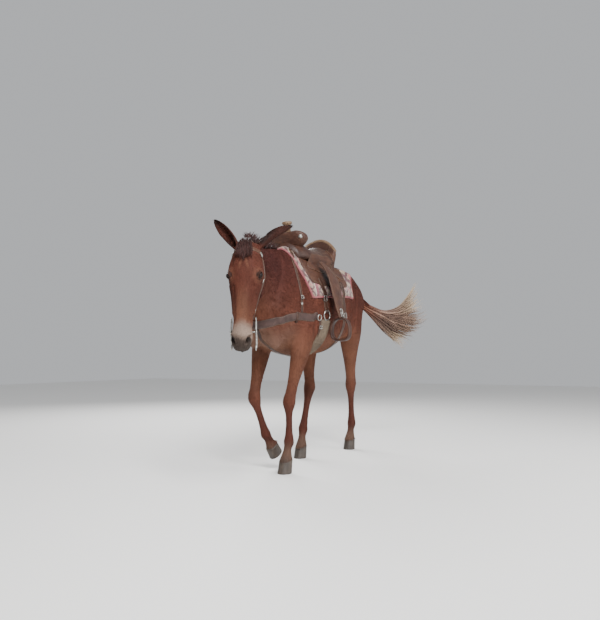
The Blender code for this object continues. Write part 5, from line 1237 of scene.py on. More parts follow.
def coat_tufts(skin, cover):
    """Short hair that breaks the outline of the body, finer on the head, ears and feet."""
    tree = surface_of(*cover)

    def density(places):
        head = head_share(places)
        feet = ramp(-places[:, 2], -0.30, -0.12)
        ears = np.zeros(len(places))
        for label in SIDES:
            ears = np.maximum(ears, ear_place(places, label)[1] * 1.0)
        return 1.0 + 3.6 * head + 1.2 * feet + 4.5 * ears

    roots, normals = sampled(skin, TUFTS, density, 21)
    clear = np.array([tree.find_nearest(Vector(root), 0.0060)[0] is None for root in roots])
    near_eye = np.zeros(len(roots))
    for side in SIDES.values():
        local = roots - np.array(eye_centre(side))
        look, along, over = (np.array(way) for way in eye_axes(side))
        slit = np.hypot(local @ along / 0.0195, (local @ over - 0.0012) / 0.0112)
        clear &= ~((slit < 1.28) & (local @ look > 0) & (np.linalg.norm(local, axis=1) < 0.05))
        near_eye = np.maximum(near_eye, ramp(-np.linalg.norm(local, axis=1), -0.050, -0.030))
    _, out, down = head_place(roots)
    on_face = head_share(roots) > 0.5
    clear &= ~(on_face & (down > 0.560)) | (np.arange(len(roots)) % 4 == 0)
    clear &= ~(on_face & (down > 0.500) & (np.abs(out - MOUTH_OUT) < 0.0045))
    for side in SIDES.values():
        for place in ((0.052, -0.022, 0.552), (0.042, -0.020, 0.566), (0.036, -0.025, 0.578)):
            clear &= np.linalg.norm(roots - np.array(head_point(side * place[0], *place[1:])), axis=1) > 0.0125
    roots, normals, near_eye = roots[clear], normals[clear], near_eye[clear]
    draw = np.random.default_rng(22)
    count = len(roots)
    flow = unit(hair_flow(roots, normals) + np.cross(normals, hair_flow(roots, normals))
                * draw.normal(0, 0.20, (count, 1)))
    head = head_share(roots)
    low = ramp(-roots[:, 2], -0.62, -0.40)
    length = (0.0165 * (1 - head) + 0.0080 * head) * (1 - 0.42 * low) * (1 - 0.50 * near_eye)
    for label in SIDES:
        length = np.where(ear_place(roots, label)[1], length * 0.60, length)
    belly = ramp(-normals[:, 2], 0.5, 1.0) * (roots[:, 2] > 0.7) * (1 - head)
    fetlock = np.zeros(count)
    for name, joints in LEG_JOINTS.items():
        behind = np.array(joints[3]) + np.array((0, 0.035, -0.012))
        fetlock = np.maximum(fetlock, np.exp(-(np.linalg.norm(roots - behind, axis=1) / 0.035) ** 2))
        rim = np.abs((roots - np.array(coronet_plane(name)[0])) @ np.array(coronet_plane(name)[1]))
        near = np.linalg.norm(roots - np.array(joints[4]), axis=1) < 0.10
        fetlock = np.maximum(fetlock, near * np.exp(-(rim / 0.012) ** 2) * 0.45)
    length = length * (1 + 0.5 * belly) + 0.016 * fetlock
    length *= draw.uniform(0.55, 1.50, count)
    width = length * 0.110 + 0.0005
    lift = draw.uniform(0.005, 0.070, count) + 0.14 * fetlock
    tints = coat_colour(roots, normals) * draw.uniform(0.84, 1.20, (count, 1))
    order = np.argsort(roots[:, 1], kind="stable")
    return tuft_meshes("coat_tufts", roots[order], normals[order], flow[order], length[order], width[order],
                       tints[order], lift[order])


def build_mane(skin):
    """A short clipped mane of many fine locks that stand up, lean back and part to both sides."""
    draw = np.random.default_rng(3)
    knots = 7
    lines, tints, flats, scale = [], [], [], []
    for k in range(MANE_STRANDS):
        t = 0.19 + 0.78 * (k + draw.uniform(-0.5, 0.5)) / MANE_STRANDS
        way = (crest_point(min(1.0, t + 0.03)) - crest_point(t - 0.03)).normalized()
        side = way.cross(UP).normalized()
        hand = draw.uniform(-1, 1)
        root = crest_point(t) + side * 0.012 * hand - UP * 0.010
        tall = 0.052 * draw.uniform(0.6, 1.15) * min(1.0, 0.35 + 4 * (t - 0.19), 0.55 + 5 * (0.97 - t))
        fall = side * (0.55 * hand + draw.normal(0, 0.12)) - way * draw.uniform(0.30, 0.85)
        line = []
        for j in range(knots):
            s = j / (knots - 1)
            line.append(root + UP * tall * (1.30 * s - 0.25 * s * s) + fall * tall * (s**1.7) * 0.95)
        lines.append(line)
        flats.append(side)
        scale.append(draw.uniform(0.7, 1.25))
        base = np.array(SOOT) * 1.2 + np.array(MAROON) * draw.uniform(0.2, 0.7)
        tip = base * draw.uniform(1.0, 1.7)
        tints.append([base * (1 - j / (knots - 1)) + tip * j / (knots - 1) for j in range(knots)])
    scale = np.array(scale)[:, None]
    width = taper(knots, 0.8, 0.35)[None] * 0.0042 * scale
    depth = taper(knots, 0.8, 0.35)[None] * 0.0016 * scale
    return lock_mesh("clipped_mane", np.array(lines), width, depth, np.array(flats), np.array(tints), HAIR, "hair")


def build_forelock():
    draw = np.random.default_rng(8)
    knots = 7
    lines, tints = [], []
    for k in range(FORELOCK_STRANDS):
        place = draw.uniform(-1, 1)
        side = place * 0.034
        long = 0.082 * draw.uniform(0.6, 1.15) * (1 - 0.35 * abs(place))
        start = draw.uniform(-0.020, 0.020)
        rise = draw.uniform(0.010, 0.020)
        lines.append([head_point(side * (0.75 + 0.8 * s), -0.012 + (0.026 + rise) * math.sin(min(1.0, s * 1.6) * 1.45)
                                 - 0.004 * s + 0.002 * place, start + (long + 0.040) * s**0.9)
                      for s in np.linspace(0, 1, knots)])
        base = np.array(SOOT) + np.array(MAROON) * draw.uniform(0.15, 0.60)
        tints.append([base * (1 + 0.5 * s) for s in np.linspace(0, 1, knots)])
    width = np.tile(taper(knots, 0.7, 0.4) * 0.0028, (FORELOCK_STRANDS, 1))
    depth = width * 0.36
    flats = np.tile(np.array(FACE_OUT), (FORELOCK_STRANDS, 1))
    return lock_mesh("forelock", np.array(lines), width, depth, flats, np.array(tints), HAIR, "hair")


def tail_colours(height, shares, draw):
    """Reddish at the root, then mauve-brown to beige, with cream tips above and below."""
    root = np.array((0.120, 0.042, 0.026))
    body = np.array((0.140, 0.088, 0.070)) * draw.uniform(0.45, 1.30)
    if draw.random() < 0.38:
        body = np.array((0.300, 0.190, 0.140)) * draw.uniform(0.7, 1.15)
    pale = np.array((0.560, 0.430, 0.290)) * draw.uniform(0.7, 1.1)
    pale_share = 0.85 if height < 0.30 or height > 0.85 else 0.35 * draw.random()
    found = []
    for s in shares:
        colour = root + (body - root) * float(ramp(np.array(s), 0.14, 0.46))
        found.append(colour + (pale - colour) * float(ramp(np.array(s), 0.45, 0.95)) * pale_share)
    return found


def build_tail():
    """The dock, broad locks that make the mass of the tail, and fine ones over them."""
    draw = np.random.default_rng(5)
    rows = smooth_rows(DOCK, 6)
    rings = []
    for k, centre in enumerate(rows):
        way = Vector(rows[min(k + 1, len(rows) - 1)] - rows[max(k - 1, 0)]).normalized()
        side = way.cross(UP).normalized()
        radius = 0.038 * (1 - 0.72 * k / (len(rows) - 1))
        up = side.cross(way)
        turns = [2 * math.pi * j / 24 for j in range(24)]
        rings.append([Vector(centre) + (side * math.cos(a) + up * math.sin(a)) * radius for a in turns])
    bm = bmesh.new()
    skin_rings(bm, rings)
    dock = new_object("tail_dock", bm)
    set_attribute(dock, "tint", "FLOAT_COLOR", coat_colour(points_of(dock), normals_of(dock)))
    finished(dock, HIDE, "coat", "tail")
    roots, normals = sampled(dock, 2600, lambda places: np.ones(len(places)), 31)
    flow = np.tile(np.array((Vector(DOCK[-1]) - Vector(DOCK[1])).normalized()), (len(roots), 1))
    flow = unit(flow - normals * np.sum(flow * normals, axis=1, keepdims=True))
    draw_dock = np.random.default_rng(32)
    length = draw_dock.uniform(0.016, 0.034, len(roots))
    tints = coat_colour(roots, normals) * draw_dock.uniform(0.7, 1.3, (len(roots), 1))
    tuft_meshes("dock_tufts", roots, normals, flow, length, length * 0.10, tints, np.full(len(roots), 0.10))
    fan = Vector((0.62, -0.78, 0.0))
    for name, count, knots, half, seed_spread in (("tail_locks", TAIL_BROAD, 18, 0.0100, 0.048),
                                                  ("tail_strands", TAIL_FINE, 18, 0.0030, 0.062)):
        lines, tints, flats, scale = [], [], [], []
        for k in range(count):
            height = min(1.0, max(0.0, (k + draw.uniform(0, 1)) / count))
            start = 0.03 + 0.30 * draw.random()
            end = draw.uniform(0.76, 1.0)
            spread = draw.uniform(-seed_spread, seed_spread)
            lift = draw.uniform(-0.030, 0.030)
            wave, phase = draw.uniform(0.004, 0.018), 2.2 * height * math.pi + draw.uniform(-0.7, 0.7)
            shares = np.linspace(start, end, knots)
            line = []
            for t in shares:
                loose = (t - start) ** 1.2
                point = on_lie(height, t) + fan * spread * loose * 1.35 + UP * lift * loose
                ripple = math.sin(t * 9 + phase) * wave * loose * 2
                line.append(point + UP * ripple + fan * ripple * 0.7)
            lines.append(line)
            tints.append(tail_colours(height, shares, draw))
            flats.append(Vector((fan.x, fan.y, draw.uniform(-0.6, 0.6))).normalized())
            scale.append(draw.uniform(0.6, 1.3))
        scale = np.array(scale)[:, None]
        width = taper(knots, 0.45, 0.35)[None] * half * scale
        lock_mesh(name, np.array(lines), width, width * 0.34, np.array(flats), np.array(tints), HAIR, "hair", "tail")


# Eyes and feet
def build_eye(label, side):
    bm = bmesh.new()
    bmesh.ops.create_icosphere(bm, subdivisions=5, radius=EYE_RADIUS)
    bmesh.ops.translate(bm, vec=eye_centre(side), verts=bm.verts)
    eye = new_object("wet_eye_" + label, bm)
    local = points_of(eye) - np.array(eye_centre(side))
    look, along, over = (np.array(way) for way in eye_axes(side))
    a, b, c = local @ along, local @ over, local @ look
    ring = np.hypot(a, b)
    tint = np.tile(np.array((0.016, 0.009, 0.007)), (len(local), 1))
    tint = mixed(tint, (0.013, 0.005, 0.003), ramp(-ring, -0.0155, -0.0145) * (c > 0))
    tint = mixed(tint, (0.006, 0.003, 0.002), ramp(-np.abs(ring - 0.0148), -0.0014, -0.0004))
    tint = mixed(tint, (0.003, 0.003, 0.004), ramp(-np.hypot(a / 0.0085, b / 0.0042), -1.08, -0.92) * (c > 0))
    set_attribute(eye, "tint", "FLOAT_COLOR", tint)
    finished(eye, EYE, "eye", "eye_" + label)
    rim, lash_lines = [], []
    draw = random.Random(4)
    centre = eye_centre(side)
    look, along, over = eye_axes(side)
    for k in range(40):
        angle = 2 * math.pi * k / 40
        a, b = math.cos(angle) * 0.0195, math.sin(angle) * 0.0112 + 0.0012
        c = math.sqrt((EYE_RADIUS + 0.0012) ** 2 - a * a - b * b)
        rim.append(centre + along * a + over * b + look * c)
        if over.dot(FACE_OUT) * math.sin(angle) > 0.10:
            for _ in range(3):
                root = rim[-1] + along * draw.uniform(-0.0009, 0.0009)
                out = (look * 0.75 + over * math.copysign(0.50, b) + along * draw.uniform(-0.1, 0.45)).normalized()
                long = draw.uniform(0.0055, 0.0105)
                lash_lines.append([root + out * long * s + (along * 0.35 - UP * 0.6) * long * s * s
                                   for s in np.linspace(0, 1, 5)])
    bm = bmesh.new()
    loops = []
    for k, spot in enumerate(rim):
        way = (rim[(k + 1) % 40] - rim[k - 1]).normalized()
        out = (spot - centre).normalized()
        aside = way.cross(out)
        turns = [2 * math.pi * j / 8 for j in range(8)]
        loops.append([bm.verts.new(spot + (out * math.cos(a) + aside * math.sin(a)) * 0.00135) for a in turns])
    for k in range(40):
        low, high = loops[k], loops[(k + 1) % 40]
        for j in range(8):
            bm.faces.new((low[j], low[(j + 1) % 8], high[(j + 1) % 8], high[j]))
    lids = new_object("lid_rims_" + label, bm)
    set_attribute(lids, "tint", "FLOAT_COLOR", np.tile(np.array(SOOT) * 0.8, (len(lids.data.vertices), 1)))
    finished(lids, SKIN_DARK, "coat")
    lashes = np.array(lash_lines)
    width = np.tile(np.array((0.00022, 0.00024, 0.00018, 0.00012, 0.00004)), (len(lashes), 1))
    tints = np.tile(np.array(SOOT) * 0.6, (len(lashes), 5, 1))
    flats = np.tile(np.array(along), (len(lashes), 1))
    lock_mesh("lashes_" + label, lashes, width, width, flats, tints, HAIR, "hair")


def build_hoof(name):
    """Horn with growth rings, from the coronet to the sole."""
    point, way = coronet_plane(name)
    bm = bmesh.new()
    planted = name != "fore_right"
    ahead = Vector((0, -1, 0))
    toe = (ahead - way * ahead.dot(way)).normalized()
    side = way.cross(toe)
    if planted:
        sole = Vector((point.x, point.y - 0.012, 0.0))
        sole_toe, sole_side = ahead, Vector((-1, 0, 0))
    else:
        sole = point + way * HOOF_HEIGHT
        sole_toe, sole_side = toe, side
    shares = [0.0] + [k / HOOF_RINGS for k in range(1, HOOF_RINGS)] + [0.985, 1.0]
    rings = []
    for share in shares:
        wide = 0.90 + 0.05 * math.exp(-share * 14) + 0.085 * share
        long = 0.87 + 0.03 * math.exp(-share * 14) + 0.115 * share
        ridge = 0.004 * math.sin(share * 44) * (1 - share)
        shrink = 0.965 if share == 1.0 else 0.90 if share == 0.0 else 1.0 + ridge
        centre = point.lerp(sole, share)
        forward = toe.lerp(sole_toe, share).normalized()
        across_ = side.lerp(sole_side, share).normalized()
        ring = []
        for k in range(HOOF_SIDES):
            angle = 2 * math.pi * k / HOOF_SIDES
            heel = 0.86 - 0.05 * math.exp(-((angle - math.pi) / 0.22) ** 2) if math.cos(angle) < 0 else 1.0
            reach = math.cos(angle) * HOOF_LENGTH / 2 * long * heel * shrink + 0.003 + 0.006 * share
            ring.append(centre + forward * reach + across_ * math.sin(angle) * HOOF_HALF_WIDTH * wide * shrink)
        rings.append(ring)
    skin_rings(bm, rings)
    return finished(new_object(name + "_horn", bm), HORN, "horn", name + "_hoof")


# Laying tack on the body
STITCH_LINES = []


def trunk_radius(tree, angle, along):
    """How far the surface is from the trunk's axis, at an angle from straight up."""
    way = Vector((math.sin(angle), 0.0, math.cos(angle)))
    axis = Vector((0.0, along, TRUNK_AXIS_HEIGHT))
    hit = tree.ray_cast(axis + way * 1.2, -way)[0]
    return (hit - axis).length if hit else 0.25


def eased_over(heights, rounds):
    """Evens out the heights without sinking below them."""
    eased = heights
    for _ in range(rounds):
        padded = np.pad(eased, 1, mode="edge")
        eased = (padded[:-2, 1:-1] + padded[2:, 1:-1] + padded[1:-1, :-2] + padded[1:-1, 2:] + 4 * eased) / 8
        eased = np.maximum(eased, heights)
    return eased


def shell(name, outline, thickness, under, rows, columns, relief=None, rounds=6, uv=False):
    """A sheet laid over the trunk with a rounded rim; a relief may raise it by place, for a and b from -1 to 1."""
    tree = surface_of(*under)
    a_values, b_values = np.linspace(-1, 1, rows + 1), np.linspace(-1, 1, columns + 1)
    spots = [[outline(a, b) for b in b_values] for a in a_values]
    radii = np.array([[trunk_radius(tree, angle, along) for angle, along in row] for row in spots])
    eased = eased_over(radii, rounds)
    bm = bmesh.new()
    layer_uv = bm.loops.layers.uv.new("Weave") if uv else None
    places = {}
    layers = []
    for inner in (True, False):
        layer = []
        for i, row in enumerate(spots):
            line = []
            for j, (angle, along) in enumerate(row):
                a, b = a_values[i], b_values[j]
                edge = max(abs(a) ** 40, abs(b) ** 40)
                rise = thickness * (1 - 0.55 * edge) + (relief(a, b, angle, along) if relief else 0.0)
                radius = radii[i, j] - SINK if inner else eased[i, j] + rise
                way = Vector((math.sin(angle), 0.0, math.cos(angle)))
                vert = bm.verts.new(Vector((0.0, along, TRUNK_AXIS_HEIGHT)) + way * radius)
                places[vert] = (along, angle * 0.33)
                line.append(vert)
            layer.append(line)
        layers.append(layer)
    low, high = layers
    for i in range(rows):
        for j in range(columns):
            bm.faces.new((high[i][j], high[i + 1][j], high[i + 1][j + 1], high[i][j + 1]))
            bm.faces.new((low[i][j], low[i][j + 1], low[i + 1][j + 1], low[i + 1][j]))
    rim = [(i, 0) for i in range(rows)] + [(rows, j) for j in range(columns)]
    rim += [(i, columns) for i in range(rows, 0, -1)] + [(0, j) for j in range(columns, 0, -1)]
    for (i, j), (k, m) in zip(rim, rim[1:] + rim[:1]):
        bm.faces.new((low[i][j], low[k][m], high[k][m], high[i][j]))
    if uv:
        for face in bm.faces:
            for loop in face.loops:
                loop[layer_uv].uv = places[loop.vert]
    return new_object(name, bm), [[vert_place for vert_place in row] for row in spots]


def rim_points(outline, under, rise, inset, count=240):
    """A closed line round a shell, a little in from its rim, on its outer side."""
    tree = surface_of(*under)
    found = []
    for k in range(count):
        t = 4 * k / count
        a, b = ((t * 2 - 1, -1) if t < 1 else (1, (t - 1) * 2 - 1) if t < 2 else
                (1 - (t - 2) * 2, 1) if t < 3 else (-1, 1 - (t - 3) * 2))
        angle, along = outline(a * inset, b * inset)
        way = Vector((math.sin(angle), 0.0, math.cos(angle)))
        found.append(Vector((0.0, along, TRUNK_AXIS_HEIGHT)) + way * (trunk_radius(tree, angle, along) + rise))
    return found


def band(name, points, width, thickness, under, material, slot, nodes=(), columns=6, spacing=0.009, stitched=True,
         crown=0.0, rounds=8):
    """A strap that follows the first of what is under it and lies on the topmost, with rounded edges."""
    tree, guide = surface_of(*under), surface_of(under[0])
    path = [guide.find_nearest(Vector(row)) for row in even_path(points, spacing)]
    count = len(path)
    spots = [near[0] for near in path]
    outs = [near[1] for near in path]
    for _ in range(10):
        padded = [outs[0]] + outs + [outs[-1]]
        outs = [(a + b * 2 + c).normalized() for a, b, c in zip(padded, padded[1:], padded[2:])]
    shares = [math.copysign(abs(s) ** 0.75, s) / 2 for s in np.linspace(-1, 1, columns + 1)]
    heights = np.zeros((count, columns + 1))
    bases = []
    for k, (spot, out) in enumerate(zip(spots, outs)):
        way = (spots[min(k + 2, count - 1)] - spots[max(k - 2, 0)]).normalized()
        side = way.cross(out).normalized()
        line = [spot + side * width * share for share in shares]
        for j, base in enumerate(line):
            hit = tree.ray_cast(base + out * PROBE, -out, 2 * PROBE)[0]
            heights[k, j] = (hit - base).dot(out) if hit else 0.0
        bases.append(line)
    eased = eased_over(heights, rounds)
    rings = []
    stitches = ([], [])
    for k, (line, out, low, high) in enumerate(zip(bases, outs, heights, eased)):
        outer = []
        for base, rise, share in zip(line, high, shares):
            s = abs(share * 2)
            outer.append(base + out * (rise + thickness * (1 - 0.45 * s**5) + crown * (1 - s * s)))
        inner = [base + out * (rise - SINK) for base, rise in zip(line, low)]
        rings.append(outer + inner[::-1])
        if stitched and 0 < k < count - 1:
            for rail, end in zip(stitches, (0, columns)):
                near = outer[end].lerp(outer[columns - end], 0.0024 / width)
                rail.append(near + out * (thickness * 0.32 + crown * 0.02))
    if stitched:
        STITCH_LINES.extend(stitches)
    bm = bmesh.new()
    skin_rings(bm, rings)
    return finished(new_object(name, bm), material, slot, *nodes)


def mirrored(points, side):
    return [(side * x, y, z) for x, y, z in points]


def across(points):
    """A route from the left side over the middle to the right side."""
    return mirrored(points, 1) + mirrored(points[-2::-1], -1)


def turned(name, centre, way, profile, material, slot, nodes=(), sides=40, scallops=0, scallop_depth=0.0):
    """A round piece along its own axis, from pairs of height and radius, scalloped round its rim where asked."""
    way = Vector(way).normalized()
    side = way.orthogonal().normalized()
    other = way.cross(side)
    rings = []
    for height, radius in profile:
        ring = []
        for k in range(sides):
            a = 2 * math.pi * k / sides
            wave = 1 - scallop_depth * (0.5 - 0.5 * math.cos(a * scallops)) if scallops else 1.0
            ring.append(Vector(centre) + way * height + (side * math.cos(a) + other * math.sin(a)) * radius * wave)
        rings.append(ring)
    bm = bmesh.new()
    skin_rings(bm, rings)
    return finished(new_object(name, bm), material, slot, *nodes)


def tube_rings(rows, radii, sides, flat=1.0, closed=False):
    """Rings of a rod along rows of points, with a steady twist-free frame."""
    count = len(rows)
    normal = None
    rings = []
    for k, centre in enumerate(rows):
        after = rows[(k + 1) % count] if closed else rows[min(k + 1, count - 1)]
        before = rows[k - 1] if closed else rows[max(k - 1, 0)]
        way = (after - before).normalized()
        normal = way.orthogonal().normalized() if normal is None else (normal - way * normal.dot(way)).normalized()
        other = way.cross(normal)
        turns = [2 * math.pi * j / sides for j in range(sides)]
        rings.append([centre + normal * math.cos(a) * radii[k] + other * math.sin(a) * radii[k] * flat for a in turns])
    return rings


def rod(bm, points, radius, steps=8, sides=14, flat=1.0, taper_ends=True):
    """A bent rod with rounded ends."""
    rows = [Vector(row) for row in smooth_rows(points, steps)]
    ends = [0.35, 0.75] if taper_ends else []
    radii = [radius * share for share in (ends + [1.0] * (len(rows) - 2 * len(ends)) + ends[::-1])]
    skin_rings(bm, tube_rings(rows, radii, sides, flat))


def ring_of_wire(bm, centre, way, radius, wire, turns=48, sides=12):
    way = Vector(way).normalized()
    side = way.orthogonal().normalized()
    other = way.cross(side)
    loops = []
    for k in range(turns):
        a = 2 * math.pi * k / turns
        out = side * math.cos(a) + other * math.sin(a)
        spots = [2 * math.pi * j / sides for j in range(sides)]
        loops.append([bm.verts.new(Vector(centre) + out * radius + (out * math.cos(b) + way * math.sin(b)) * wire)
                      for b in spots])
    for k in range(turns):
        low, high = loops[k], loops[(k + 1) % turns]
        for j in range(sides):
            bm.faces.new((low[j], low[(j + 1) % sides], high[(j + 1) % sides], high[j]))


def on_surface(under, point, lift=0.0):
    """The nearest point of what is under, with the way out of it."""
    spot, normal, _, _ = surface_of(*under).find_nearest(Vector(point))
    return spot + normal * lift, normal


CONCHO = ((-0.003, 0.97), (0.0014, 1.0), (0.0020, 0.97), (0.0022, 0.84), (0.0034, 0.80), (0.0036, 0.66),
          (0.0030, 0.60), (0.0052, 0.44), (0.0060, 0.30), (0.0062, 0.22), (0.0052, 0.16), (0.0066, 0.10), (0.0068, 0.02))


def concho(name, under, point, radius, *nodes):
    spot, way = on_surface(under, point)
    profile = [(height, share * radius) for height, share in CONCHO]
    return turned(name, spot, way, profile, STEEL, "steel", nodes, sides=60, scallops=12, scallop_depth=0.10)


def buckle(bm, under, point, along, size):
    """A roller buckle with its tongue, lying on a strap."""
    spot, way = on_surface(under, point, 0.0032)
    along = (Vector(along) - way * Vector(along).dot(way)).normalized()
    side = way.cross(along)
    corners = []
    for k in range(28):
        a = 2 * math.pi * k / 28
        u, v = math.cos(a), math.sin(a)
        corners.append(spot + along * math.copysign(abs(u) ** 0.45, u) * size * 0.62
                       + side * math.copysign(abs(v) ** 0.45, v) * size * 0.72 + way * 0.0008)
    rings = tube_rings(corners, [0.0021] * 28, 8, closed=True)
    made = [[bm.verts.new(place) for place in ring] for ring in rings]
    for k in range(28):
        low, high = made[k], made[(k + 1) % 28]
        for j in range(8):
            bm.faces.new((low[j], low[(j + 1) % 8], high[(j + 1) % 8], high[j]))
    start, end = spot - along * size * 0.62 + way * 0.0022, spot + along * size * 0.66 + way * 0.0026
    rod(bm, [start, start.lerp(end, 0.5) + way * 0.0010, end], 0.0015, 4, 8)


# What repeats: stitches, cords and rope turns
def new_tree(name, *inputs):
    tree = bpy.data.node_groups.new(name, "GeometryNodeTree")
    tree.interface.new_socket("Geometry", in_out="INPUT", socket_type="NodeSocketGeometry")
    for label, value in inputs:
        socket = tree.interface.new_socket(label, in_out="INPUT", socket_type="NodeSocketFloat")
        socket.default_value = value
    tree.interface.new_socket("Geometry", in_out="OUTPUT", socket_type="NodeSocketGeometry")
    return tree, tree.nodes.new("NodeGroupInput"), tree.nodes.new("NodeGroupOutput")


def stitch_tree(material):
    """Short stitches of waxed thread, one after another along each line."""
    tree, given, result = new_tree("waxed_stitches", ("Stitch Spacing", 0.0056), ("Stitch Length", 0.0040),
                                   ("Thread Radius", 0.00062))
    curve = tree.nodes.new("GeometryNodeMeshToCurve")
    even = tree.nodes.new("GeometryNodeResampleCurve")
    even.mode = "LENGTH"
    way = tree.nodes.new("GeometryNodeInputTangent")
    turn = tree.nodes.new("FunctionNodeAlignRotationToVector")
    turn.axis = "Z"
    thread = tree.nodes.new("GeometryNodeMeshCylinder")
    thread.inputs["Vertices"].default_value = 6
    place = tree.nodes.new("GeometryNodeInstanceOnPoints")
    real = tree.nodes.new("GeometryNodeRealizeInstances")
    paint = tree.nodes.new("GeometryNodeSetMaterial")
    paint.inputs["Material"].default_value = material
    link = tree.links.new
    link(given.outputs["Geometry"], curve.inputs["Mesh"])
    link(curve.outputs["Curve"], even.inputs["Curve"])
    link(given.outputs["Stitch Spacing"], even.inputs["Length"])
    link(way.outputs["Tangent"], turn.inputs["Vector"])
    link(given.outputs["Thread Radius"], thread.inputs["Radius"])
    link(given.outputs["Stitch Length"], thread.inputs["Depth"])
    link(even.outputs["Curve"], place.inputs["Points"])
    link(thread.outputs["Mesh"], place.inputs["Instance"])
    link(turn.outputs["Rotation"], place.inputs["Rotation"])
    link(place.outputs["Instances"], real.inputs["Geometry"])
    link(real.outputs["Geometry"], paint.inputs["Geometry"])
    link(paint.outputs["Geometry"], result.inputs["Geometry"])
    return tree


def cord_tree(material):
    """Round cords along each line."""
    tree, given, result = new_tree("laid_cords", ("Cord Radius", 0.004), ("Cord Spacing", 0.008))
    curve = tree.nodes.new("GeometryNodeMeshToCurve")
    even = tree.nodes.new("GeometryNodeResampleCurve")
    even.mode = "LENGTH"
    section = tree.nodes.new("GeometryNodeCurvePrimitiveCircle")
    section.inputs["Resolution"].default_value = 8
    sweep = tree.nodes.new("GeometryNodeCurveToMesh")
    sweep.inputs["Fill Caps"].default_value = True
    real = tree.nodes.new("GeometryNodeRealizeInstances")
    paint = tree.nodes.new("GeometryNodeSetMaterial")
    paint.inputs["Material"].default_value = material
    link = tree.links.new
    link(given.outputs["Geometry"], curve.inputs["Mesh"])
    link(curve.outputs["Curve"], even.inputs["Curve"])
    link(given.outputs["Cord Spacing"], even.inputs["Length"])
    link(given.outputs["Cord Radius"], section.inputs["Radius"])
    link(even.outputs["Curve"], sweep.inputs["Curve"])
    link(section.outputs["Curve"], sweep.inputs["Profile Curve"])
    link(sweep.outputs["Mesh"], real.inputs["Geometry"])
    link(real.outputs["Geometry"], paint.inputs["Geometry"])
    link(paint.outputs["Geometry"], result.inputs["Geometry"])
    return tree


def run_tree(name, lines, tree, material, slot, nodes=(), **values):
    """Runs a node tree over polylines and keeps its result as a plain mesh."""
    bm = bmesh.new()
    for line in lines:
        verts = [bm.verts.new(point) for point in line]
        for first, second in zip(verts, verts[1:]):
            bm.edges.new((first, second))
    mesh = bpy.data.meshes.new(name)
    bm.to_mesh(mesh)
    bm.free()
    obj = bpy.data.objects.new(name, mesh)
    bpy.context.collection.objects.link(obj)
    step = obj.modifiers.new("made", "NODES")
    step.node_group = tree
    wanted = {label.replace("_", " "): value for label, value in values.items()}
    for item in tree.interface.items_tree:
        if item.in_out == "INPUT" and item.name in wanted:
            step[item.identifier] = wanted[item.name]
    apply_modifiers(obj)
    return finished(obj, material, slot, *nodes)


# The bridle
def head_route(points):
    return [tuple(head_point(*point)) for point in points]


def build_bridle(skin):
    under = (skin,)
    cheek = ((0.060, -0.080, 0.435), (0.078, -0.090, 0.350), (0.096, -0.095, 0.240), (0.104, -0.092, 0.150),
             (0.098, -0.106, 0.065), (0.094, -0.124, 0.005), (0.064, -0.134, -0.050), (0.000, -0.134, -0.070))
    crown = band("bridle_headstall", head_route(across(cheek)), STRAP_WIDTH, STRAP_THICKNESS, under, LEATHER, "leather",
                 ("headstall",), spacing=0.006)
    brow = ((0.086, -0.078, 0.062), (0.052, -0.002, 0.048), (0.000, 0.012, 0.044))
    on = (skin, crown)
    browband = band("bridle_browband", head_route(across(brow)), 0.024, STRAP_THICKNESS, on, TOOLED, "leather",
                    ("browband",), spacing=0.005)
    dots = []
    bm = bmesh.new()
    for label, side in SIDES.items():
        shank = ((side * 0.066, -0.080, 0.438), (side * 0.067, -0.086, 0.470), (side * 0.068, -0.092, 0.503),
                 (side * 0.069, -0.112, 0.535), (side * 0.067, -0.128, 0.565), (side * 0.066, -0.126, 0.592))
        bit = bmesh.new()
        rod(bit, head_route(shank), 0.0052, 8, 16, flat=0.7)
        for out, down, size, wire in ((-0.078, 0.436, 0.0100, 0.0024), (-0.124, 0.588, 0.0085, 0.0022)):
            ring_of_wire(bit, head_point(side * 0.067, out, down), HEAD_SIDE, size, wire, 32, 10)
        for out, down in ((-0.092, 0.503), (-0.116, 0.541)):
            mass(bit, head_point(side * 0.0690, out, down), (0.0060, 0.0105, 0.0105), head_turn(), 3)
        rod(bit, head_route(((side * 0.069, -0.092, 0.503), (side * 0.052, -0.093, 0.503), (side * 0.030, -0.094, 0.505))),
            0.0045, 3, 12)
        finished(new_object("curb_bit_" + label, bit), STEEL, "steel", "bit_" + label)
        spot = head_point(side * 0.086, -0.068, 0.060)
        dots.append(concho("scalloped_bridle_concho_" + label, (skin, browband, crown), spot, 0.017,
                           "bridle_concho_" + label))
        for place in ((0.097, -0.093, 0.215), (0.070, -0.086, 0.395)):
            buckle(bm, (crown,), head_point(side * place[0], place[1], place[2]), FACE_DOWN, 0.0145)
    finished(new_object("bridle_buckles", bm), STEEL, "steel")
    curb = ((0.062, -0.104, 0.452), (0.040, -0.138, 0.456), (0.000, -0.150, 0.458))
    strap = band("plain_curb_strap", head_route(across(curb)), 0.014, STRAP_THICKNESS, (skin,), LEATHER, "leather",
                 ("curb_strap",), spacing=0.005)
    return [crown, browband, strap, *dots]


# The saddle
def side_patch(side, near, far, front, back, corner=0.35):
    """An outline with rounded corners on one side of the trunk, between two angles in degrees."""

    def outline(a, b):
        pull = 1 - corner * 0.5 * (a * b) ** 2
        angle = math.radians((near + far) / 2 + (far - near) / 2 * b * (pull if b > 0 else 1.0))
        return side * angle, (front + back) / 2 + (back - front) / 2 * a * pull

    return outline


def pad_outline(a, b):
    front_edge = PAD_FRONT + 0.085 * abs(b) ** 1.6
    along = front_edge + (PAD_BACK - front_edge) * (a + 1) / 2
    drop = 79 - 10 * (a + 1) / 2
    return math.radians(drop * b), along


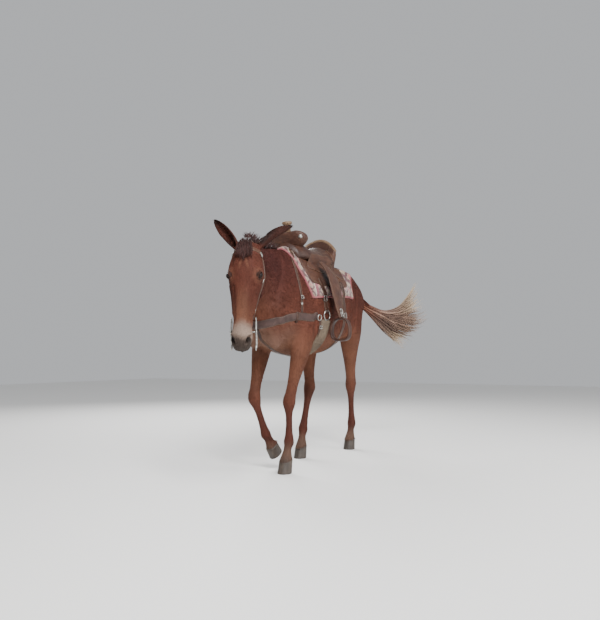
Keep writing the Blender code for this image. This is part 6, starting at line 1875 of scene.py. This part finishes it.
def pad_relief(a, b, angle, along):
    """Quilted rows, a low crown, and a thinner bound edge."""
    quilt = 0.0016 * abs(math.sin(along * 52)) ** 0.5 - 0.0012
    ripple = 0.0022 * math.sin(angle * 9 + along * 13) * (1 - abs(b)) + 0.0015 * math.sin(along * 31 + angle * 3)
    edge = max(abs(a), abs(b))
    return (quilt + ripple) * (1 - edge**6) - 0.0045 * max(0.0, (edge - 0.955) / 0.045)


def build_pad(skin):
    pad, _ = shell("woven_pad", pad_outline, PAD_THICKNESS, (skin,), 120, 132, pad_relief, rounds=10, uv=True)
    finished(pad, WOOL, "wool", "saddle_pad")
    rim = rim_points(pad_outline, (pad,), -0.004, 0.992, 360)
    rim_lines = [rim + rim[:1]]
    bm = bmesh.new()
    rows = rim
    rings = tube_rings(rows, [0.0090] * len(rows), 10, closed=True)
    made = [[bm.verts.new(place) for place in ring] for ring in rings]
    for k in range(len(made)):
        low, high = made[k], made[(k + 1) % len(made)]
        for j in range(10):
            bm.faces.new((low[j], low[(j + 1) % 10], high[(j + 1) % 10], high[j]))
    binding = finished(new_object("pad_binding", bm), BINDING, "wool")
    STITCH_LINES.append([point + Vector((0, 0, 0.0)) for point in rim_points(pad_outline, (pad,), 0.0004, 0.955, 360)])
    return pad, binding, rim_lines


def forked(points, centre, radii):
    """Turns a rounded mass into a fork: full square shoulders above, drawn in towards the seat below."""
    local = (points - centre) / np.array(radii)
    size = np.linalg.norm(local, axis=1, keepdims=True)
    square = np.sum(np.abs(local) ** 2.9, axis=1, keepdims=True) ** (1 / 2.9)
    local = local * (size / square)
    x, y, z = local.T
    waist = 1 - 0.24 * ramp(-z, -0.15, 0.85)
    dip = 0.16 * ramp(-np.abs(x), -0.60, -0.18) * ramp(z, 0.3, 0.9)
    lean = 0.30 * z * (y < 0) + 0.10 * z
    return centre + np.stack([x * waist, y - lean, z - dip], axis=1) * np.array(radii)


def build_saddle(skin, pad):
    made = {}
    for label, side in SIDES.items():
        patch = side_patch(side, 4, 60, SKIRT_FRONT, SKIRT_BACK)
        skirt, _ = shell("tooled_skirt_" + label, patch, SKIRT_THICKNESS, (pad, skin), 56, 40, rounds=10)
        made["skirt_" + label] = finished(skirt, TOOLED, "leather", "skirt_" + label)
        STITCH_LINES.append(rim_points(patch, (skirt,), 0.0002, 0.95))
    skirts = [made["skirt_left"], made["skirt_right"]]
    profile = ((0.075, 1.555, 0.105), (0.150, 1.585, 0.135), (0.250, 1.562, 0.150), (0.360, SEAT_LOW_HEIGHT, 0.160),
               (0.460, 1.572, 0.166), (0.550, 1.605, 0.165), (0.615, 1.570, 0.135))
    bm = bmesh.new()
    loft(bm, [(0, y, top, 0, y, 1.420, wide, 0.30, 0.35, 0.0) for y, top, wide in profile], sides=72, steps=8)
    made["seat"] = finished(new_object("stitched_seat", bm), LEATHER, "leather", "saddle_seat")
    bm = bmesh.new()
    mass(bm, (0, 0.125, 1.578), (SWELL_HALF_WIDTH, 0.056, 0.066), detail=5)
    swell = new_object("tooled_swell", bm)
    place_points(swell, forked(points_of(swell), np.array((0, 0.125, 1.578)), (SWELL_HALF_WIDTH, 0.056, 0.066)))
    made["swell"] = finished(swell, TOOLED, "leather", "saddle_swell")
    tree = surface_of(swell)
    for lean in (-0.55, 0.35):
        welt = []
        for k in range(41):
            x = SWELL_HALF_WIDTH * 0.96 * (k / 20 - 1)
            spot = tree.find_nearest(Vector((x, 0.125 + lean * 0.06, 1.650 - 0.30 * abs(k / 20 - 1) ** 2 * 0.3)))[0]
            welt.append(spot + Vector((0, 0, 0.0006)))
        STITCH_LINES.append(welt)
    profile = ((0.0, 0.027), (0.012, 0.0245), (0.030, 0.0215), (0.052, 0.0205), (0.070, 0.0212), (0.080, 0.0260),
               (0.086, 0.0345), (0.090, HORN_CAP_RADIUS), (0.096, HORN_CAP_RADIUS), (0.1005, 0.0345), (0.103, 0.030),
               (0.104, 0.016), (0.1035, 0.004))
    foot = Vector((0, 0.118, HORN_TOP_HEIGHT - 0.104))
    way = Vector((0, -0.16, 1)).normalized()
    turned("wrapped_horn", foot, way, profile, RAWHIDE, "rawhide", ("saddle_horn",), sides=48)
    side, other = way.orthogonal().normalized(), way.cross(way.orthogonal().normalized())
    turns = []
    for k in range(9 * 36 + 1):
        a = 2 * math.pi * k / 36
        height = 0.006 + 0.062 * k / (9 * 36)
        radius = np.interp(height, [0.0, 0.012, 0.030, 0.052, 0.070], [0.027, 0.0245, 0.0215, 0.0205, 0.0212]) + 0.0008
        turns.append(foot + way * height + (side * math.cos(a) + other * math.sin(a)) * radius)
    run_tree("horn_wrap", [turns], CORD_TREE, RAWHIDE, "rawhide", Cord_Radius=0.0030, Cord_Spacing=0.004)
    rows, roll = [], []
    for k in range(17):
        t = k / 8 - 1
        fall = t * t
        top = Vector((0.166 * t, 0.628 - 0.062 * fall, CANTLE_HEIGHT - 0.110 * fall))
        rows.append((*top, 0.166 * t, 0.588 - 0.055 * fall, 1.470, 0.015, 0.5, 0.0, 0.0))
        roll.append(top - Vector((0, 0, 0.006)))
    bm = bmesh.new()
    loft(bm, rows, sides=28, steps=4, power=2.6)
    made["cantle"] = finished(new_object("raised_cantle", bm), LEATHER, "leather", "saddle_cantle")
    bm = bmesh.new()
    rod(bm, roll, 0.0135, 6, 18)
    made["roll"] = finished(new_object("cantle_binding", bm), RAWHIDE, "rawhide")
    laces = []
    fine = [Vector(row) for row in smooth_rows(roll, 6)]
    for k in range(2, len(fine) - 2, 2):
        ahead = (fine[k + 1] - fine[k - 1]).normalized()
        aside = ahead.cross(UP).normalized()
        lift = aside.cross(ahead)
        loop = [fine[k] + ahead * 0.004 * (j / 12 - 0.5)
                + (aside * math.cos(math.pi * j / 12) + lift * abs(math.sin(math.pi * j / 12))) * 0.0138
                for j in range(13)]
        laces.append(loop)
    run_tree("cantle_lacing", laces, CORD_TREE, RAWHIDE, "rawhide", Cord_Radius=0.0013, Cord_Spacing=0.003)
    seat_tree = surface_of(made["seat"])
    for share in (0.30, 0.52, 0.74):
        ridge = []
        for k in range(25):
            a = math.pi * (k / 24 - 0.5) * 0.92
            x, y = math.sin(a) * 0.150 * share * 1.15, 0.555 - math.cos(a) * 0.29 * share
            hit = seat_tree.ray_cast(Vector((x, y, 1.8)), Vector((0, 0, -1)))[0]
            if hit:
                ridge.append(hit + Vector((0, 0, 0.0003)))
        STITCH_LINES.append(ridge)
    for label, side in SIDES.items():
        patch = side_patch(side, 21, 39, 0.120, 0.520, corner=0.9)
        under = (made["skirt_" + label], made["seat"], pad)
        flap, _ = shell("side_jockey_" + label, patch, 0.0045, under, 30, 48, rounds=14)
        made["flap_" + label] = finished(flap, TOOLED, "leather")
        STITCH_LINES.append(rim_points(patch, (flap,), 0.0002, 0.93, 200))
    for label, side in SIDES.items():
        patch = side_patch(side, 12, 47, 0.515, 0.632, corner=0.5)
        under = (made["skirt_" + label], made["seat"], made["cantle"], pad)
        jockey, _ = shell("rear_jockey_" + label, patch, 0.006, under, 28, 32, rounds=3)
        made["jockey_" + label] = finished(jockey, TOOLED, "leather", "jockey_" + label)
        STITCH_LINES.append(rim_points(patch, (jockey,), 0.0002, 0.93, 160))
    return made


def plate(name, rows, thickness, *nodes):
    """A broad flap through rows of side, along, up and half width, with rounded edges, facing outwards."""
    rings, rails = [], ([], [])
    rows = smooth_rows(rows, 10)
    for k, (x, y, z, wide) in enumerate(rows):
        before, after = rows[max(k - 1, 0)], rows[min(k + 1, len(rows) - 1)]
        way = Vector(after[:3] - before[:3]).normalized()
        out = Vector((0, 1, 0)).cross(way).normalized()
        out = out if out.x * x > 0 else -out
        shares = np.linspace(-1, 1, 13)
        cup = [0.006 * (1 - s * s) for s in shares]
        outer = [Vector((x, y + wide * s, z)) + out * (thickness * (1 - 0.4 * abs(s) ** 8) + c)
                 for s, c in zip(shares, cup)]
        inner = [Vector((x, y + wide * s, z)) + out * c for s, c in zip(shares, cup)]
        rings.append(outer + inner[::-1])
        for rail, s in zip(rails, (-1, 1)):
            inset = s * (1 - 0.006 / wide)
            rail.append(Vector((x, y + wide * inset, z)) + out * (thickness * 0.92 + 0.006 * (1 - inset * inset) + 0.0002))
    STITCH_LINES.extend(rails)
    bm = bmesh.new()
    skin_rings(bm, rings)
    return finished(new_object(name, bm), TOOLED, "leather", *nodes)


def build_stirrup(label, side):
    """A bell-shaped leather-covered stirrup with its opening front to back and a worn tread."""
    bm = bmesh.new()
    centre = Vector((side * STIRRUP_SIDE, STIRRUP_ALONG, STIRRUP_BOTTOM))
    loops = []
    count = 72
    for k in range(count):
        a = 2 * math.pi * (k + 0.5) / count
        run, rise = math.cos(a), math.sin(a)
        wide = STIRRUP_HALF_WIDTH * (1.0 - 0.22 * max(rise, 0))
        loop = []
        for j in range(20):
            turn = 2 * math.pi * j / 20
            deep = math.copysign(abs(math.cos(turn)) ** 0.6, math.cos(turn))
            inset = (0.5 - 0.5 * math.copysign(abs(math.sin(turn)) ** 0.8, math.sin(turn)))
            half = wide - 0.014 * inset
            tall = STIRRUP_HEIGHT / 2 - (0.014 if rise > 0 else 0.018) * inset
            x = math.copysign(abs(run) ** 0.62, run) * half
            z = math.copysign(abs(rise) ** 0.62, rise) * tall + STIRRUP_HEIGHT / 2
            loop.append(bm.verts.new(centre + Vector((x, deep * STIRRUP_DEPTH / 2 * (1.0 - 0.25 * max(rise, 0)), z))))
        loops.append(loop)
    for k in range(count):
        low, high = loops[k], loops[(k + 1) % count]
        for j in range(20):
            bm.faces.new((low[j], low[(j + 1) % 20], high[(j + 1) % 20], high[j]))
    return finished(new_object("bell_stirrup_" + label, bm), LEATHER, "leather", "stirrup_" + label)


def build_hangings():
    made = []
    for label, side in SIDES.items():
        made.append(build_stirrup(label, side))
        y = STIRRUP_ALONG
        top = STIRRUP_BOTTOM + STIRRUP_HEIGHT
        rows = ((0.178, y, 1.430, 0.040), (0.232, y, 1.372, 0.055), (0.276, y, 1.290, FENDER_HALF_WIDTH),
                (0.302, y, 1.190, FENDER_HALF_WIDTH), (0.314, y, 1.110, 0.060), (STIRRUP_SIDE, y, top - 0.006, 0.030))
        rows = [(side * x, along, z, wide) for x, along, z, wide in rows]
        made.append(plate("broad_fender_" + label, rows, 0.006, "fender_" + label))
        bm = bmesh.new()
        for height in (top + 0.020, top + 0.048):
            buckle(bm, (made[-1],), (side * 0.335, y, height), UP, 0.026)
        finished(new_object("stirrup_buckles_" + label, bm), STEEL, "steel")
    return made


def build_rigging(skin, pad, saddle):
    made = {}
    girth = ((0.262, 0.235, 1.010), (0.240, 0.235, 0.900), (0.170, 0.235, 0.805), (0.080, 0.235, 0.768),
             (0.000, 0.235, 0.762))
    made["cinch"] = band("roper_cinch", across(girth), 0.110, 0.0045, (skin,), CORD, "cord", ("front_cinch",), columns=10,
                         spacing=0.014, stitched=False)
    tree = surface_of(made["cinch"], skin)
    cords = []
    for k in range(15):
        y = 0.235 + 0.1040 * (k / 14 - 0.5)
        pull = [1.0 if 3 < j < len(girth) * 2 - 5 else 1.0 for j in range(len(girth) * 2 - 1)]
        path = even_path([(x, 0.235 + (y - 0.235) * share, z) for (x, _, z), share in zip(across(girth), pull)], 0.012)
        line = []
        for m, row in enumerate(path):
            near, normal, _, _ = tree.find_nearest(Vector(row))
            squeeze = 1 - 0.50 * math.exp(-min(m, len(path) - 1 - m) / 5.0)
            line.append(Vector((near.x, 0.235 + (near.y - 0.235) * squeeze, near.z)) + normal * 0.0020)
        cords.append(line)
    run_tree("cinch_cords", cords, CORD_TREE, CORD, "cord", Cord_Radius=0.0040, Cord_Spacing=0.014)
    bars = []
    for x in (-0.20, -0.10, 0.0, 0.10, 0.20):
        bar = []
        for y in np.linspace(0.183, 0.287, 14):
            near, normal, _, _ = tree.find_nearest(Vector((x, y, 0.76 + abs(x) ** 2 * 2.0)))
            bar.append(near + normal * 0.0050)
        bars.append(bar)
    run_tree("cinch_cross_cords", bars, CORD_TREE, CORD, "cord", Cord_Radius=0.0038, Cord_Spacing=0.010)
    for label, side in SIDES.items():
        spot, way = on_surface((skin,), (side * 0.27, 0.235, 1.045), 0.0065)
        bm = bmesh.new()
        ring_of_wire(bm, spot, way, 0.034, 0.0045)
        ring = finished(new_object("forged_cinch_ring_" + label, bm), STEEL, "steel", "cinch_ring_" + label)
        route = mirrored(((0.270, 0.235, 1.082), (0.285, 0.225, 1.160), (0.275, 0.205, 1.250), (0.245, 0.190, 1.330)), side)
        under = (skin, pad, saddle["skirt_" + label])
        made["latigo_" + label] = band("tie_latigo_" + label, route, 0.044, 0.005, under, LEATHER, "leather",
                                       ("latigo_" + label,))
        route = mirrored(((0.268, 0.235, 1.098), (0.266, 0.236, 1.070), (0.264, 0.236, 1.062)), side)
        made["fold_" + label] = band("latigo_fold_" + label, route, 0.042, 0.011, (skin,), LEATHER, "leather",
                                     spacing=0.005, stitched=False)
        made["ring_" + label] = ring
    flank = ((0.245, 0.500, 1.320), (0.275, 0.500, 1.230), (0.285, 0.500, 1.120), (0.272, 0.500, 0.980),
             (0.200, 0.500, 0.850), (0.090, 0.500, 0.785), (0.000, 0.500, 0.775))
    under = (skin, pad, saddle["skirt_left"], saddle["skirt_right"])
    made["flank"] = band("flank_cinch", across(flank), 0.045, 0.006, under, LEATHER, "leather", ("rear_cinch",),
                         spacing=0.014)
    keeper = ((0.0, 0.285, 0.760), (0.0, 0.380, 0.765), (0.0, 0.485, 0.775))
    made["keeper"] = band("hobble_strap", keeper, 0.024, 0.004, (skin, made["cinch"], made["flank"]), LEATHER, "leather",
                          ("cinch_keeper",))
    bm = bmesh.new()
    for side in SIDES.values():
        buckle(bm, (made["flank"],), (side * 0.285, 0.500, 1.060), UP, 0.034)
        buckle(bm, (made["latigo_left" if side > 0 else "latigo_right"],), (side * 0.285, 0.225, 1.160), UP, 0.030)
    finished(new_object("cinch_buckles", bm), STEEL, "steel")
    return made


def midline(skin, points):
    """The route drawn on to the skin in the middle plane, towards the heart of the trunk."""
    tree, heart = surface_of(skin), Vector((0.0, 0.05, 1.10))
    found = []
    for row in smooth_rows(points, 3):
        way = (Vector(row) - heart).normalized()
        found.append(tuple(tree.ray_cast(heart + way, -way)[0]))
    return found


def build_collar(skin, pad, saddle, rigging):
    made = {}
    chest = ((0.262, 0.128, 1.022), (0.240, 0.020, 1.020), (0.212, -0.110, 1.012), (0.160, -0.240, 0.985),
             (0.080, -0.335, 0.955), (0.000, -0.350, 0.940))
    collar = band("breast_collar_strap", across(chest), COLLAR_WIDTH, COLLAR_THICKNESS * 0.72, (skin,), COLLAR,
                  "collar_leather", ("breast_collar",), columns=10, spacing=0.010, crown=0.0018)
    made["collar"] = collar
    bm = bmesh.new()
    for label, side in SIDES.items():
        spot, way = on_surface((skin,), (side * 0.270, 0.152, 1.022), 0.0045)
        ring = bmesh.new()
        ring_of_wire(ring, spot, way, 0.020, 0.0036, 36, 12)
        made["ring_" + label] = finished(new_object("forged_collar_ring_" + label, ring), STEEL, "steel",
                                         "collar_ring_" + label)
        route = mirrored(((0.072, 0.062, 1.535), (0.110, 0.005, 1.430), (0.150, -0.030, 1.290), (0.180, -0.040, 1.170),
                          (0.205, -0.045, 1.048)), side)
        under = (skin, pad, collar, saddle["swell"], saddle["seat"])
        made["tug_" + label] = band("collar_tug_" + label, route, 0.024, 0.005, under, LEATHER, "leather",
                                    ("tug_" + label,))
        route = mirrored(((0.268, 0.168, 1.000), (0.258, 0.180, 0.930), (0.235, 0.195, 0.870)), side)
        under = (skin, rigging["cinch"])
        made["tie_" + label] = band("tie_down_" + label, route, 0.020, 0.004, under, LEATHER, "leather",
                                    ("collar_tie_" + label,))
        route = mirrored(((0.212, -0.100, 1.048), (0.213, -0.100, 1.012), (0.208, -0.100, 0.978)), side)
        made["loop_" + label] = band("collar_loop_" + label, route, 0.026, 0.0035, (skin, collar), LEATHER, "leather",
                                     spacing=0.006)
        buckle(bm, (made["tug_" + label],), (side * 0.195, -0.042, 1.150), UP, 0.019)
        buckle(bm, (made["tie_" + label],), (side * 0.262, 0.176, 0.950), UP, 0.016)
    finished(new_object("collar_buckles", bm), STEEL, "steel")
    route = midline(skin, ((0.0, -0.352, 0.936), (0.0, -0.330, 0.880), (0.0, -0.240, 0.815), (0.0, -0.100, 0.775),
                           (0.0, 0.060, 0.765), (0.0, 0.190, 0.758)))
    made["strap"] = band("belly_strap", route, 0.026, 0.004, (skin, collar, rigging["cinch"]), LEATHER, "leather",
                         ("breast_strap",))
    return made


def build_conchos(skin, saddle, collar):
    for label, side in SIDES.items():
        under = (saddle["jockey_" + label], saddle["cantle"], saddle["seat"])
        concho("scalloped_rear_concho_" + label, under, (side * 0.165, 0.590, 1.540), 0.016, "rear_concho_" + label)
        under = (collar["tug_" + label], skin)
        concho("scalloped_tug_concho_" + label, under, (side * 0.260, -0.060, 1.110), 0.011, "tug_concho_" + label)
        concho("swell_concho_" + label, (saddle["swell"],), (side * 0.120, 0.080, 1.590), 0.014)


# The whole mule
TUFTS = 118000
MANE_STRANDS = 520
FORELOCK_STRANDS = 315
TAIL_BROAD = 110
TAIL_FINE = 420
CORD_TREE = cord_tree(CORD)
shift = (Vector(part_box("eye_left")[0]) + Vector(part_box("eye_left")[1])) / 2 - eye_centre(1)
skin = build_skin()
set_attribute(skin, "tint", "FLOAT_COLOR", coat_colour(points_of(skin), normals_of(skin)))
flesh_nodes = ("head", "neck", "torso", "ear_left", "ear_right", *(name + "_leg" for name in LEG_JOINTS))
set_attribute(skin, "upright", "FLOAT", upright_share(points_of(skin)))
finished(skin, HIDE, "coat", *flesh_nodes)
bridle = build_bridle(skin)
pad, binding, _ = build_pad(skin)
saddle = build_saddle(skin, pad)
hangings = build_hangings()
rigging = build_rigging(skin, pad, saddle)
collar = build_collar(skin, pad, saddle, rigging)
build_conchos(skin, saddle, collar)
run_tree("saddler_stitches", [line for line in STITCH_LINES if len(line) > 2], stitch_tree(THREAD), THREAD, "leather")
for eye_label, eye_side in SIDES.items():
    build_eye(eye_label, eye_side)
for leg in LEG_JOINTS:
    build_hoof(leg)
build_mane(skin)
build_forelock()
build_tail()
cover = [*bridle, pad, binding, *saddle.values(), *rigging.values(), *collar.values()]
coat_tufts(skin, cover)

for piece, slot, nodes in PIECES:
    piece.data.transform(Matrix.Translation(shift))
    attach(piece, "root")
    if nodes:
        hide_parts(*nodes)


# The studio
def build_floor():
    material, tree, shader = new_finish("pale_floor", 0.75)
    tone = spread(tree, noise_of(tree, 3.0, 2.0), 0.97, 1.03)
    base = blend_colours(tree, tone, (0.80, 0.79, 0.77), (0.84, 0.83, 0.81))
    tree.links.new(base, shader.inputs["Base Color"])
    bm = bmesh.new()
    bmesh.ops.create_grid(bm, x_segments=1, y_segments=1, size=14.0)
    floor = new_object("studio_floor", bm, material)


def build_lights():
    world = bpy.data.worlds.new("soft_studio")
    world.use_nodes = True
    sky = world.node_tree.nodes["Background"]
    sky.inputs["Color"].default_value = (0.95, 0.97, 1.0, 1.0)
    sky.inputs["Strength"].default_value = 0.55
    bpy.context.scene.world = world
    target = Vector((0.0, 0.0, 0.85))
    for name, place, size, power in (("key", (2.8, -3.4, 4.6), 2.2, 520.0), ("fill", (4.8, 0.8, 2.2), 3.0, 130.0),
                                     ("rim", (-3.4, 2.8, 3.8), 2.6, 260.0)):
        lamp = bpy.data.lights.new(name, "AREA")
        lamp.size = size
        lamp.energy = power
        holder = bpy.data.objects.new(name, lamp)
        holder.location = place
        holder.rotation_euler = (target - Vector(place)).to_track_quat("-Z", "Y").to_euler()
        bpy.context.collection.objects.link(holder)


def build_camera():
    azimuth, pitch = math.radians(27.59), math.radians(5.085)
    look = Vector((-math.sin(azimuth) * math.cos(pitch), math.cos(azimuth) * math.cos(pitch), math.sin(pitch)))
    lens = bpy.data.cameras.new("photo_view")
    lens.sensor_fit = "HORIZONTAL"
    lens.sensor_width = 36.0
    lens.lens = 33.82
    holder = bpy.data.objects.new("photo_view", lens)
    holder.location = Vector((1.902, -3.336, 0.734)) + shift
    holder.rotation_euler = look.to_track_quat("-Z", "Y").to_euler()
    bpy.context.collection.objects.link(holder)
    bpy.context.scene.camera = holder


build_floor()
build_lights()
build_camera()
